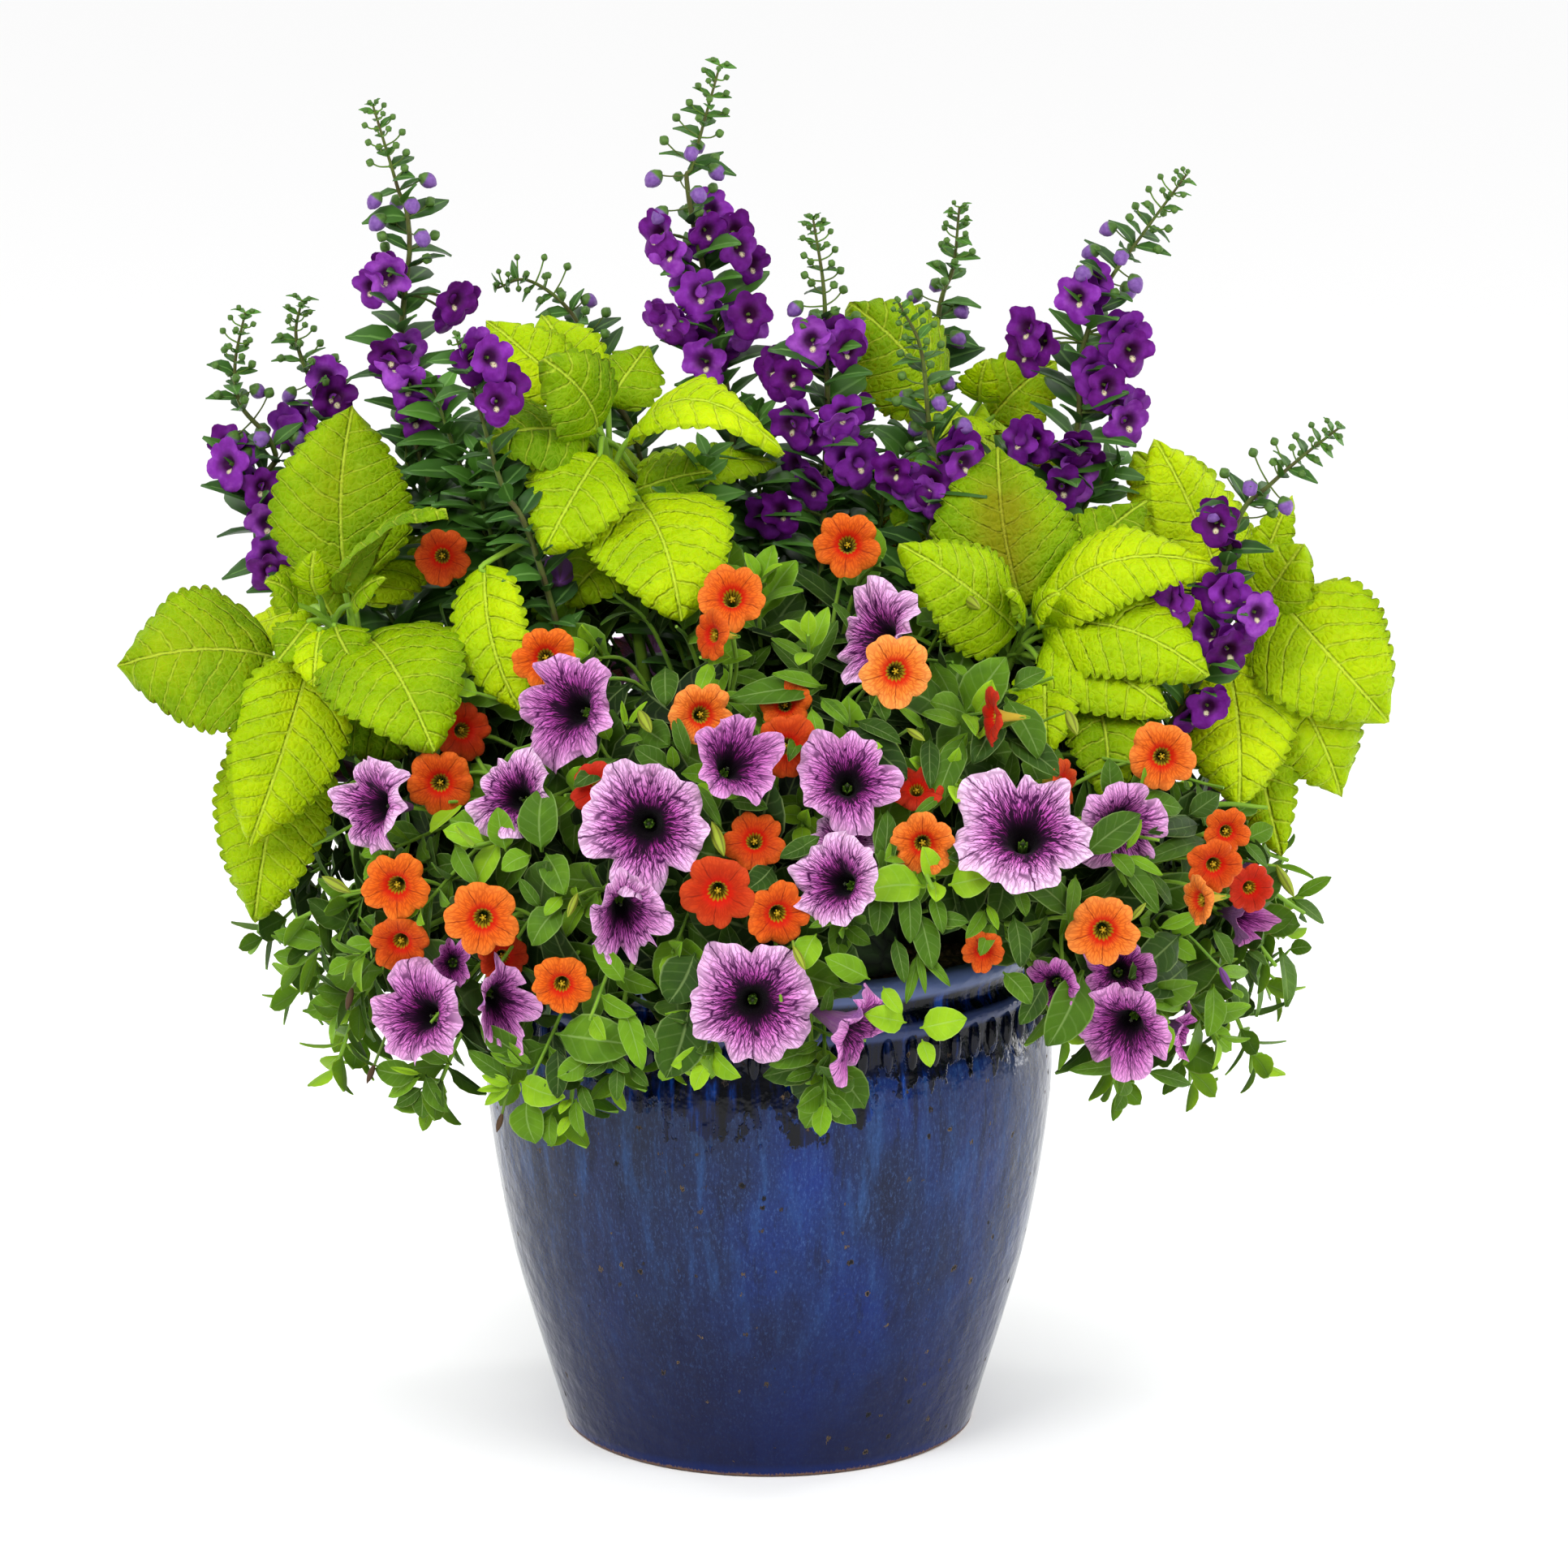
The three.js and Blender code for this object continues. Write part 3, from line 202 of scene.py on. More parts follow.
class Heap:
    """Collects closed forms, and the values that their points carry, for one mesh."""

    def __init__(self):
        self.points, self.faces, self.values, self.count = [], [], {}, 0

    def add(self, form, **values):
        points, faces = form
        self.points.append(points)
        self.faces += [[corner + self.count for corner in face] for face in faces]
        self.count += len(points)
        for name, value in values.items():
            value = np.asarray(value, float)
            if value.ndim == 0:
                value = np.full(len(points), float(value))
            self.values.setdefault(name, []).append(value)

    def mesh(self, name):
        """The heap as one smooth mesh, with its thin margins kept sharp."""
        mesh = bpy.data.meshes.new(name)
        mesh.from_pydata(np.concatenate(self.points) * MM, [], self.faces)
        for key, parts in self.values.items():
            whole = np.concatenate(parts)
            kind, field = ("FLOAT", "value") if whole.ndim == 1 else ("FLOAT_VECTOR", "vector")
            mesh.attributes.new(key, kind, "POINT").data.foreach_set(field, whole.ravel())
        mesh.shade_smooth()
        mesh.set_sharp_from_angle(angle=radians(70))
        return mesh


def new_object(name, data):
    """An object in the scene."""
    made = bpy.data.objects.new(name, data)
    bpy.context.scene.collection.objects.link(made)
    return made


def stand(name, mesh, material, slot, *nodes):
    """Puts a finished mesh in the scene as a piece that stands for these solids."""
    piece = new_object(name, mesh)
    mesh.materials.clear()
    mesh.materials.append(material)
    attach(piece, "root")
    if nodes:
        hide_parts(*nodes)
    mesh.calc_loop_triangles()
    print(name, len(mesh.loop_triangles), "triangles")


def nodes_called(start):
    """The names of the solids that begin with these words."""
    return [name for name in frame["nodes"] if name.startswith(start)]


# %% [markdown]
# ## Camera, floor and light
# The camera stands three metres away, a little above the plants, with a long lens, so the pot's
# sides hardly lean. The same line of sight is used later to give each bloom and leaf its place.

# %% Camera
VIEW_DROP = radians(13)
VIEW_DISTANCE = 3000.0
VIEW_MIDDLE = np.array([7.6, 0.0, 324.0])
VIEW_BASE = 315.6
FRAME_WIDTH = 772.8  # what the frame takes in at that distance
SENSOR = 36.0

ahead = np.array([0, cos(VIEW_DROP), -sin(VIEW_DROP)])
view_up = np.array([0, sin(VIEW_DROP), cos(VIEW_DROP)])
eye = VIEW_MIDDLE - ahead * VIEW_DISTANCE

camera_data = bpy.data.cameras.new("camera")
camera_data.sensor_width = SENSOR
camera_data.lens = SENSOR * VIEW_DISTANCE / FRAME_WIDTH
camera_data.clip_end = 60
camera = new_object("camera", camera_data)
camera.location = eye * MM
camera.rotation_euler = (pi / 2 - VIEW_DROP, 0, 0)
bpy.context.scene.camera = camera
print("lens", round(camera_data.lens, 1), "mm")

# %% [markdown]
# A white floor and a pale surround give soft light from all sides, as a light tent does. A wide
# lamp above the front left shapes the leaves. Two tall lamps behind the sides put the white lines
# along both edges of the glazed pot.

# %% Floor, surround and lamps
FLOOR_SIZE = 60000.0
SIDE_LIGHT, TOP_LIGHT = 0.22, 1.1
floor_mesh = bpy.data.meshes.new("floor")
reach = FLOOR_SIZE / 2 * MM
floor_corners = [(-reach, -reach, 0), (reach, -reach, 0), (reach, reach, 0), (-reach, reach, 0)]
floor_mesh.from_pydata(floor_corners, [], [(0, 1, 2, 3)])
floor = new_object("floor", floor_mesh)
paper, _ = new_material("matt_white_paper", Roughness=0.9, Base_Color="#FCFCFC")
floor_mesh.materials.append(paper)

world = bpy.data.worlds.new("white_surround")
world.use_nodes = True
n = functools.partial(add_node, world.node_tree)
height = n("SeparateXYZ", [n("TexCoord").outputs["Generated"]]).outputs["Z"]
shine = n("MapRange", {0: height, 2: 0.6, 3: SIDE_LIGHT, 4: TOP_LIGHT})
direct = n("LightPath").outputs["Is Camera Ray"]
strength = n("Mix", {0: direct, 2: shine, 3: 1}, data_type="FLOAT")
feed(world.node_tree.nodes["Background"], {"Strength": strength, "Color": (1, 1, 1, 1)})
bpy.context.scene.world = world
bpy.context.scene.view_settings.view_transform = "Standard"


def add_lamp(name, place, target, size, watts):
    """A rectangular soft lamp at place, turned to target; places and sizes in millimetres."""
    data = bpy.data.lights.new(name, "AREA")
    data.shape = "RECTANGLE"
    data.size, data.size_y = (s * MM for s in size)
    data.energy = watts
    lamp = new_object(name, data)
    spot = np.array(place, float)
    lamp.location = spot * MM
    away = spot - np.array(target, float)
    level = hypot(away[0], away[1])
    lamp.rotation_euler = (atan2(level, away[2]), 0, atan2(away[1], away[0]) + pi / 2)


add_lamp("key_softbox", (-1100, -1700, 2000), (0, 0, 330), (1100, 1100), 35)
add_lamp("fill_softbox", (1500, -1300, 1500), (0, 0, 300), (1200, 1400), 19)
add_lamp("left_strip", (-1250, 750, 500), (0, 0, 200), (250, 1500), 5)
add_lamp("right_strip", (1250, 650, 500), (0, 0, 200), (250, 1500), 8)
print("four lamps")

# %% [markdown]
# ## The glaze
# The pot is stoneware, thrown or pressed and dipped in a cobalt glaze. In the kiln the glaze runs:
# it leaves upright streaks of grey-blue and cobalt down the body, gathers blue-black under the rim
# in drips with a ragged edge, and breaks into tan pinholes where gas came through. At the foot a
# line of thick bright cobalt ends in bare reddish clay. All of this follows height and place on the
# pot, so the material reads Object coordinates, with patterns in millimetres.

# %% Glaze material
DRIP_EDGE = 247.0
BEAD_HEIGHT, RIDGE_HEIGHT = 218.0, 230.5
LIP_FROM, FOOT_TO, BARE_TO = 244.0, 7.0, 5.2


def stretched_noise(n, mm, per_mm, detail, roughness):
    """Noise with its own fineness in each direction, in lumps per millimetre."""
    place = n("VectorMath.MULTIPLY", [mm, per_mm])
    return n("TexNoise", {"Vector": place, "Scale": 1.0, "Detail": detail, "Roughness": roughness})


def glaze():
    material, n = new_material(
        "cobalt_glazed_stoneware", Roughness=0.1, IOR=1.5, Specular_IOR_Level=0.2)
    mm = place_in_mm(n)
    height = n("SeparateXYZ", [mm]).outputs["Z"]
    # wide soft patches from grey-blue to cobalt, 50 to 100 mm
    patch = stretched_noise(n, mm, (0.017, 0.017, 0.009), 3, 0.55)
    mottled = n("ValToRGB", [patch], stops=[
        (0.3, "#131930"), (0.7, "#0F2A72"), (0.45, "#16244A"), (0.56, "#142A60")])
    # painted reflection: the glaze is greyer towards the left side, and a little towards the right, as
    # the pale surround shows in it
    side = n("SeparateXYZ", [mm]).outputs["X"]
    left_reflection = layer(n, mottled, "#20273A", side, 0, -110, 0.85, **SMOOTH)
    side_reflections = layer(n, left_reflection, "#22304E", side, 55, 130, 0.5, **SMOOTH)
    # runs of glaze: 4 to 8 mm wide and about 70 mm long
    streak = stretched_noise(n, mm, (0.15, 0.15, 0.015), 5, 0.6)
    pale_run = n("MapRange", [streak, 0.5, 0.74, 0, 0.6], **SMOOTH)
    high_up = n("MapRange", [height, 40, 200, 0.35, 1])
    streaked = n("Mix", {0: n("Math.MULTIPLY", [pale_run, high_up]), 6: side_reflections, 7: "#2C5590"})
    shaded = layer(n, streaked, "#0D1430", streak, 0.48, 0.32, 0.7, **SMOOTH)
    # fine flecks of 1 to 2 mm, pale and dark
    fleck = stretched_noise(n, mm, (0.9, 0.9, 0.35), 4, 0.75)
    flecked = layer(n, shaded, "#4A6CA6", fleck, 0.53, 0.75, 0.55)
    speckled = layer(n, flecked, "#0A1024", fleck, 0.46, 0.28, 0.6)
    # darker low down, towards the foot
    body = layer(n, speckled, "#030C38", height, 150, 20, 0.84)
    # gathered glaze below the rim ends in drips: a noise that changes quickly round the pot and
    # slowly with height moves its edge up and down
    drip = stretched_noise(n, mm, (0.075, 0.075, 0.045), 4, 0.65)
    from_middle = n("Math.ABSOLUTE", [n("Math.ADD", [side, 5])])
    lower = n("MapRange", [from_middle, 28, 80, 12, -12], **SMOOTH)
    edge_height = n("Math.ADD", [height, lower])
    lifted = n("Math.MULTIPLY_ADD", [drip, 96, edge_height])
    thick = n("MapRange", [lifted, DRIP_EDGE - 1.2, DRIP_EDGE + 1.2])
    bead_off, ridge_off = (
        n("Math.ABSOLUTE", [n("Math.SUBTRACT", [height, middle])])
        for middle in (BEAD_HEIGHT, RIDGE_HEIGHT))
    pooled = n("ValToRGB", [streak], stops=[(0.46, "#01030A"), (0.72, "#0E429A"), (0.58, "#04123C")])
    runny = n("Mix", {0: thick, 6: body, 7: pooled})
    # the beads are nearly black; the grey-blue band on the ridge above them is a painted highlight
    beaded = layer(n, runny, "#04060F", bead_off, 9.5, 7, 0.6)
    ridge_highlight = layer(n, beaded, "#3A4670", ridge_off, 4.2, 2.4, 0.85)
    # the lip's grey-blue is a painted highlight; a line of bright cobalt stands at the foot
    lip_highlight = layer(n, ridge_highlight, "#5C6C9A", height, LIP_FROM, LIP_FROM + 3, 0.9)
    footed = layer(n, lip_highlight, "#0A2260", height, FOOT_TO, FOOT_TO - 3, 0.5)
    ragged = n("Math.MULTIPLY_ADD", [fleck, 6, height])
    bare = n("MapRange", [ragged, BARE_TO, BARE_TO - 0.8])
    clay = n("Mix", {0: bare, 6: footed, 7: "#6B5142"})
    # pinholes of 1 to 4 mm, ragged, with bare clay round a black middle
    pins = n("TexVoronoi", {"Vector": mm, "Scale": 0.1})
    size = n("SeparateColor", [pins.outputs["Color"]])
    wobble = n("Math.MULTIPLY_ADD", [fleck, 0.55, pins.outputs["Distance"]])
    rim = n("Math.MULTIPLY_ADD", [size.outputs[0], 0.2, 0.24])
    hole = n("Math.SUBTRACT", [wobble, rim])
    pit = n("MapRange", [hole, 0.014, -0.006])
    deep = n("MapRange", [hole, -0.02, -0.06])
    burst = n("Mix", {0: size.outputs[1], 6: "#0A0E1C", 7: "#7C6648"})
    hollow = n("Mix", {0: deep, 6: burst, 7: "#04050A"})
    pitted = n("Mix", {0: pit, 6: clay, 7: hollow})
    # thick glaze lies in soft waves some 15 mm long; pinholes are dents in it
    wave = n("TexNoise", {"Vector": mm, "Scale": 0.075, "Detail": 3})
    soft = n("Bump", {"Height": wave, "Strength": 0.5, "Distance": 2.4 * MM})
    peel = n("Bump", {"Height": fleck, "Strength": 0.12, "Distance": 0.3 * MM, "Normal": soft})
    edge = n("Bump", {"Height": thick, "Strength": 0.8, "Distance": 0.5 * MM, "Normal": peel})
    dent = n("Bump", {
        "Height": pit, "Strength": 0.9, "Distance": 0.7 * MM, "Normal": edge}, invert=True)
    matt = n("MapRange", {0: bare, 3: 0.1, 4: 0.8})
    rough = n("Math.MULTIPLY_ADD", [pit, 0.45, matt])
    return paint(material, {"Base Color": pitted, "Normal": dent, "Roughness": rough})


glaze_material = glaze()
print(glaze_material.name, len(glaze_material.node_tree.nodes), "nodes")

# %% [markdown]
# ## The pot
# A pot is a turned form: one outline, spun about an axis. The Spin tool or a Screw modifier would
# do it. Here the outline is a list of radii and heights, a smooth curve is laid through them, and
# each of its points becomes a ring, because the rings function is already there and closes the
# form by itself. The wall is included: the outline goes up outside, over the lip and down inside.

# %% Pot body
POT_STEPS = 160
POT_OUTSIDE = [
    (98, 0), (102, 0.6), (103, 3.5), (108.5, 23), (118, 55), (127, 88), (133.6, 121), (138.5, 154),
    (141, 183), (139.8, 203), (138, 212), (137.2, 219), (137.4, 226), (138.4, 230), (137.6, 233.5),
    (134.6, 238), (134.4, 243), (136.6, 248), (137.2, 252), (135.8, 255.6), (132.5, 257),
]
POT_INSIDE = [(128.6, 255.6), (126.5, 251), (126.5, 248), (132, 183), (124.5, 121), (109, 55), (86, 14)]


def smooth_line(corners, steps):
    """A Catmull-Rom curve through a list of points, with steps points from each to the next."""
    p = np.array(corners, float)
    p = np.vstack([2 * p[0] - p[1], p, 2 * p[-1] - p[-2]])
    share = np.linspace(0, 1, steps, endpoint=False)[:, None]
    parts = []
    for a, b, c, d in zip(p, p[1:], p[2:], p[3:]):
        parts.append(
            0.5 * (2 * b + (c - a) * share + (2 * a - 5 * b + 4 * c - d) * share**2
                   + (3 * b - a - 3 * c + d) * share**3))
    return np.vstack([*parts, p[-2:-1]])


def turned(outline, steps):
    """A form spun about the upright axis from an outline of radii and heights."""
    turn = all_round(steps)
    return np.stack(
        [np.stack([r * np.cos(turn), r * np.sin(turn), np.full(steps, z)], 1) for r, z in outline])


pot_line = np.vstack([smooth_line(POT_OUTSIDE, 3), smooth_line(POT_INSIDE, 3)])
pot = Heap()
pot.add(skin(turned(pot_line, POT_STEPS)))
pot_mesh = pot.mesh("pot_body")
stand("pot_body", pot_mesh, glaze_material, "pot_glaze", "glazed_pot")

# %% [markdown]
# Below the neck runs a row of upright oval beads, pressed into the clay before the glaze. They are
# all alike and stand on a circle, which is what Geometry Nodes do best: a circle of points, one
# flattened sphere on each, turned to face outwards. The number and the sizes are inputs of the
# tree. Realize Instances makes them real faces at the end.

# %% Trees and plain meshes


def new_tree(name, **sockets):
    """An empty Geometry Nodes tree with named inputs, a mesh in and a mesh out."""
    tree = bpy.data.node_groups.new(name, "GeometryNodeTree")
    tree.interface.new_socket("Geometry", in_out="INPUT", socket_type="NodeSocketGeometry")
    for label, kind in sockets.items():
        tree.interface.new_socket(label, in_out="INPUT", socket_type=f"NodeSocket{kind}")
    tree.interface.new_socket("Geometry", in_out="OUTPUT", socket_type="NodeSocketGeometry")
    return tree, tree.nodes.new("NodeGroupInput"), functools.partial(add_node, tree)


def close_tree(n, given, forms):
    """Ends a tree: real faces, smooth, with the material that is given."""
    real = n("RealizeInstances", {"Geometry": forms})
    smooth = n("SetShadeSmooth", {"Geometry": real})
    n("NodeGroupOutput", [n("SetMaterial", {"Geometry": smooth, "Material": given})])


def grown(name, mesh, tree, **values):
    """Runs a tree on a mesh and returns what it makes as a plain mesh."""
    host = new_object(name, mesh)
    modifier = host.modifiers.new("grow", "NODES")
    modifier.node_group = tree
    for item in tree.interface.items_tree:
        if item.in_out == "INPUT" and item.name in values:
            modifier[item.identifier] = values[item.name]
    made = host.evaluated_get(bpy.context.evaluated_depsgraph_get())
    result = bpy.data.meshes.new_from_object(made)
    result.name = name
    bpy.data.objects.remove(host)
    return result


# %% Beads
bead_tree, given, n = new_tree("beads_on_a_circle", Count="Int", Radius="Float", Height="Float",
                               Size="Vector", Finish="Material")
ring = n("MeshCircle", {"Vertices": given.outputs["Count"], "Radius": given.outputs["Radius"]})
ball = n("MeshUVSphere", {"Segments": 12, "Rings": 8, "Radius": 1.0})
outward = n("FunctionNodeAxesToRotation", [n("InputPosition"), (0, 0, 1)],
            primary_axis="X", secondary_axis="Z")
beads = n("InstanceOnPoints", {
    "Points": ring, "Instance": ball, "Rotation": outward, "Scale": given.outputs["Size"]})
height = n("ShaderNodeCombineXYZ", {2: given.outputs["Height"]})
raised = n("TranslateInstances", {0: beads, "Translation": height, "Local Space": False})
close_tree(n, given.outputs["Finish"], raised)

BEADS = 66
BEAD_RING = 137.0
BEAD_MIDDLE = 219.5
BEAD_SIZE = (3.3, 3.5, 9.5)  # how far it stands out, half its width, half its height
bead_mesh = grown(
    "pot_beads", bpy.data.meshes.new("bead_host"), bead_tree, Count=BEADS, Radius=BEAD_RING * MM,
    Height=BEAD_MIDDLE * MM, Size=[s * MM for s in BEAD_SIZE], Finish=glaze_material)
stand("pot_beads", bead_mesh, glaze_material, "pot_glaze")

# %% [markdown]
# ## The soil
# Potting soil is peat and composted bark: brown, with darker damp patches and lumps of 2 to 6 mm.
# A bumpy disc is enough for its body. The lumps that catch the light are small stones of twenty
# faces, scattered over the disc by a tree with a fixed seed.

# %% Soil


def soil_finish():
    material, n = new_material("peat_and_bark", Roughness=0.95)
    mm = place_in_mm(n)
    lumps = n("TexNoise", {"Vector": mm, "Scale": 0.22, "Detail": 5, "Roughness": 0.65})
    bark = n("ValToRGB", [lumps], stops=[(0.3, "#3A2818"), (0.72, "#B08C64"), (0.5, "#765840")])
    bump = n("Bump", {"Height": lumps, "Strength": 0.8, "Distance": 1.5 * MM})
    return paint(material, {"Base Color": bark, "Normal": bump})


soil_material = soil_finish()
SOIL_STEPS = 96
soil_rings = turned(
    [(4, 236), (60, 236), (122, 236), (126.2, 247), (122, 250), (112, 252.5), (100, 254.5), (80, 256),
     (60, 256.5), (40, 257), (20, 257), (4, 257)], SOIL_STEPS)
soil_rings[4:, :, 2] += 1.1 * np.sin(soil_rings[4:, :, 0] * 0.31) * np.cos(soil_rings[4:, :, 1] * 0.27)
soil = Heap()
soil.add(skin(soil_rings))
soil_mesh = soil.mesh("soil_bed")
stand("soil_bed", soil_mesh, soil_material, "soil", "potting_soil")

crumb_tree, given, n = new_tree("crumbs_on_a_surface", Density="Float", Smallest="Float",
                                Largest="Float", Seed="Int", Finish="Material")
spots = n("DistributePointsOnFaces", {
    "Mesh": given.outputs[0], "Density": given.outputs["Density"], "Seed": given.outputs["Seed"]})
small, large = (n("ShaderNodeCombineXYZ", {i: given.outputs[key] for i in range(3)})
                for key in ("Smallest", "Largest"))
sizes, turns = (
    n("FunctionNodeRandomValue", {0: least, 1: most, 8: seed}, data_type="FLOAT_VECTOR")
    for least, most, seed in ((small, large, given.outputs["Seed"]), ((0, 0, 0), (6, 6, 6), 5)))
stone = n("MeshIcoSphere", {"Radius": 1, "Subdivisions": 1})
crumbs = n("InstanceOnPoints", {
    "Points": spots, "Instance": stone, "Scale": sizes,
    "Rotation": n("FunctionNodeEulerToRotation", [turns])})
close_tree(n, given.outputs["Finish"], crumbs)

soil_top = Heap()
soil_top.add(skin(soil_rings[4:]))
crumb_mesh = grown("soil_crumbs", soil_top.mesh("crumb_host"), crumb_tree, Density=10000.0,
                   Smallest=0.8 * MM, Largest=3.2 * MM, Seed=3, Finish=soil_material)
stand("soil_crumbs", crumb_mesh, soil_material, "soil")

# %% [markdown]
# ## Places on the mound
# The plants form a mound over the pot. A bloom's place is given as it is seen from the front:
# across, up, and how far it is lifted off the mound. The line of sight through that place meets
# the mound in one point, and there the bloom sits, so it is right from the front and still rests
# on the foliage from every other side.

# %% Lines of sight and the mound
MOUND_CENTRE = np.array([5.0, 0.0, 258.5])
MOUND_RADII = np.array([244.0, 205.0, 184.0])
CORE_RADII = np.array([212.0, 172.0, 150.0])
SEAT_RISE = 40.0
UP = np.array([0.0, 0.0, 1.0])


def unit(a):
    """Vectors of length one."""
    a = np.asarray(a, float)
    return a / np.linalg.norm(a, axis=-1, keepdims=True)


def sight_line(across, up):
    """From the eye to the place seen at across and up."""
    aside = np.array([across - VIEW_MIDDLE[0], 0, 0])
    return ahead * VIEW_DISTANCE + aside + view_up * (up - VIEW_BASE)


def at(across, up, depth):
    """The point seen at across and up, at the depth y."""
    line = sight_line(across, up)
    return eye + line * (depth - eye[1]) / line[1]


def on_mound(across, up, lift):
    """The point seen at across and up on the mound, which is made larger by lift."""
    radii = MOUND_RADII + lift
    line = sight_line(across, up)
    d, o = line / radii, (eye - MOUND_CENTRE) / radii
    a, b, c = d @ d, o @ d, o @ o - 1
    return eye + line * (-b - sqrt(max(b * b - a * c, 0))) / a


def on_core(point):
    """The point of the smaller core that lies under a point of the mound."""
    ray = np.array(point) - MOUND_CENTRE
    ray[2] = max(ray[2], SEAT_RISE)
    return MOUND_CENTRE + ray / np.linalg.norm(ray / CORE_RADII)


def outwards(turn, rise):
    """The direction at a compass turn from the right, and a rise."""
    return np.array([cos(turn) * cos(rise), sin(turn) * cos(rise), sin(rise)])


def facing(turn, tilt):
    """The direction to the front, turned to the right and tilted upwards by degrees."""
    turn, tilt = radians(turn), radians(tilt)
    return np.array([sin(turn) * cos(tilt), -cos(turn) * cos(tilt), sin(tilt)])


def seen(points):
    """Across, up and distance of points as the camera sees them."""
    ray = np.asarray(points, float) - eye
    far = ray @ ahead
    return (VIEW_MIDDLE[0] + ray[..., 0] * VIEW_DISTANCE / far,
            VIEW_BASE + (ray @ view_up) * VIEW_DISTANCE / far, far)


print("top of the mound", on_mound(0, 430, 0).round())

# %% [markdown]
# ## Petals
# A petunia bloom is a funnel that opens into five broad lobes. The lobes are ruffled at the margin,
# and each has a crease down its middle where the main vein runs. A calibrachoa bloom is built the
# same way at half the size, with flatter lobes that are a little notched at the tip. So one
# function makes both, from a profile of rings, from deep in the tube out to the margin and back
# along the outer side. Small seeded differences make every bloom its own.

# %% Bloom form
PETUNIA_PROFILE = [  # radius and height of each ring, as shares of the reach of the lobes
    (0.05, -0.95), (0.10, -0.80), (0.145, -0.64), (0.185, -0.50), (0.235, -0.38), (0.30, -0.275),
    (0.38, -0.19), (0.47, -0.12), (0.57, -0.065), (0.67, -0.025), (0.77, 0.0), (0.86, 0.01),
    (0.94, 0.005), (1.0, -0.01),
]
CALIBRACHOA_PROFILE = [
    (0.05, -1.0), (0.10, -0.7), (0.145, -0.45), (0.20, -0.27), (0.265, -0.16), (0.35, -0.09),
    (0.46, -0.04), (0.58, -0.005), (0.71, 0.015), (0.84, 0.015), (0.94, 0.0), (1.0, -0.03),
]
FORMS = {
    "petunia": dict(
        profile=PETUNIA_PROFILE, around=80, sinus=(0.14, 0.36), round=2.3, notch=0.02,
        ruffle=0.09, crease=0.065, sway=0.34, uneven=0.15, tube=28.0),
    "calibrachoa": dict(
        profile=CALIBRACHOA_PROFILE, around=60, sinus=(0.14, 0.26), round=2.4, notch=0.06,
        ruffle=0.03, crease=0.03, sway=0.15, uneven=0.08, tube=20.0),
}
LOBES = 5
PETAL = 0.35  # thickness


def frame_of(face):
    """Across and upwards, square to the way that a bloom faces."""
    across = unit(np.cross(UP, face))
    return across, np.cross(face, across)


def bloom_form(kind, middle, face, radius, spin, fold, rng):
    """A bloom's closed form in place, the way its points lie on the petals, and its tube's end."""
    form = FORMS[kind]
    rings = np.array(form["profile"])
    turn = all_round(form["around"])
    lobe = (turn * LOBES / tau) % 1 - 0.5  # 0 in the middle of a lobe
    which = np.floor(turn * LOBES / tau).astype(int) % LOBES
    off = np.abs(lobe) * 2
    rho, low = rings[:, :1], rings[:, 1:]
    low = np.where(low < 0, low * min(form["tube"] / radius, 1.25), low)
    out = np.clip((rho - 0.2) / 0.8, 0, 1)
    # each cut between two lobes is its own depth; each lobe has its own length and lean
    cut = rng.uniform(*form["sinus"], LOBES)[np.round(turn * LOBES / tau).astype(int) % LOBES]
    length = 1 + rng.uniform(-form["uneven"], form["uneven"] * 0.6, LOBES)[which] * (1 - off**2)
    wave = rng.uniform(0, tau, 4)
    ruffle = form["ruffle"] * (1 + 2 * (1 - fold))  # a folded bloom is more crumpled too
    margin = (length - cut * off ** form["round"] - form["notch"] * np.exp(-((lobe / 0.08) ** 2))
              + ruffle * (0.4 * np.sin(9 * turn + wave[0]) + 0.25 * np.sin(17 * turn + wave[1])))
    r = rho * (1 - (1 - margin) * out**1.6)
    lean = rng.uniform(-form["sway"], form["sway"] * 0.6, LOBES)[which]
    twist = rng.uniform(-0.5, 0.5, LOBES)[which]
    blend = 0.5 + 0.5 * np.cos(pi * np.clip(off, 0, 1))
    z = (low + lean * out**2 * blend + form["sway"] * twist * out**2 * np.sin(tau * lobe)
         - form["crease"] * np.sqrt(out) * np.exp(-((lobe / 0.07) ** 2))
         - form["crease"] * 2.2 * out * np.exp(-(((off - 1) / 0.16) ** 2))
         - 0.08 * out**3 * off**2
         + ruffle * out**3 * (np.sin(7 * turn + wave[2]) + 0.7 * np.sin(13 * turn + wave[3])))
    x, y = r * np.cos(turn + spin), r * np.sin(turn + spin)
    front = np.stack([x, y, z + 0 * x], -1)
    # a folded bloom keeps its petals' size: what it loses across, it gains in depth
    front[..., 2] += np.abs(front[..., 0]) * sqrt(max(1 - fold * fold, 0)) * out
    front[..., 0] *= fold
    front *= radius
    down = np.gradient(front, axis=0)
    round_ = np.roll(front, -1, 1) - np.roll(front, 1, 1)
    normal = unit(np.cross(down, round_) + 1e-9)
    back = front - normal * PETAL
    back[-1] = front[-1] - normal[-1] * PETAL * 0.5
    across, high = frame_of(face)
    behind = np.r_[len(rings) - 1, len(rings) - 2 : 0 : -2, 0]  # the outer side has fewer rings
    rings_all = np.concatenate([front, back[behind]])
    placed = (middle + rings_all[..., :1] * across + rings_all[..., 1:2] * high
              + rings_all[..., 2:] * face)
    spread = np.stack([rho * np.cos(turn), rho * np.sin(turn), 0 * rho + 0 * turn], -1)
    lie = np.concatenate([spread, spread[behind] + [0, 0, 1]]).reshape(-1, 3)
    end = middle + face * front[0, :, 2].mean()
    return skin(placed), lie, end

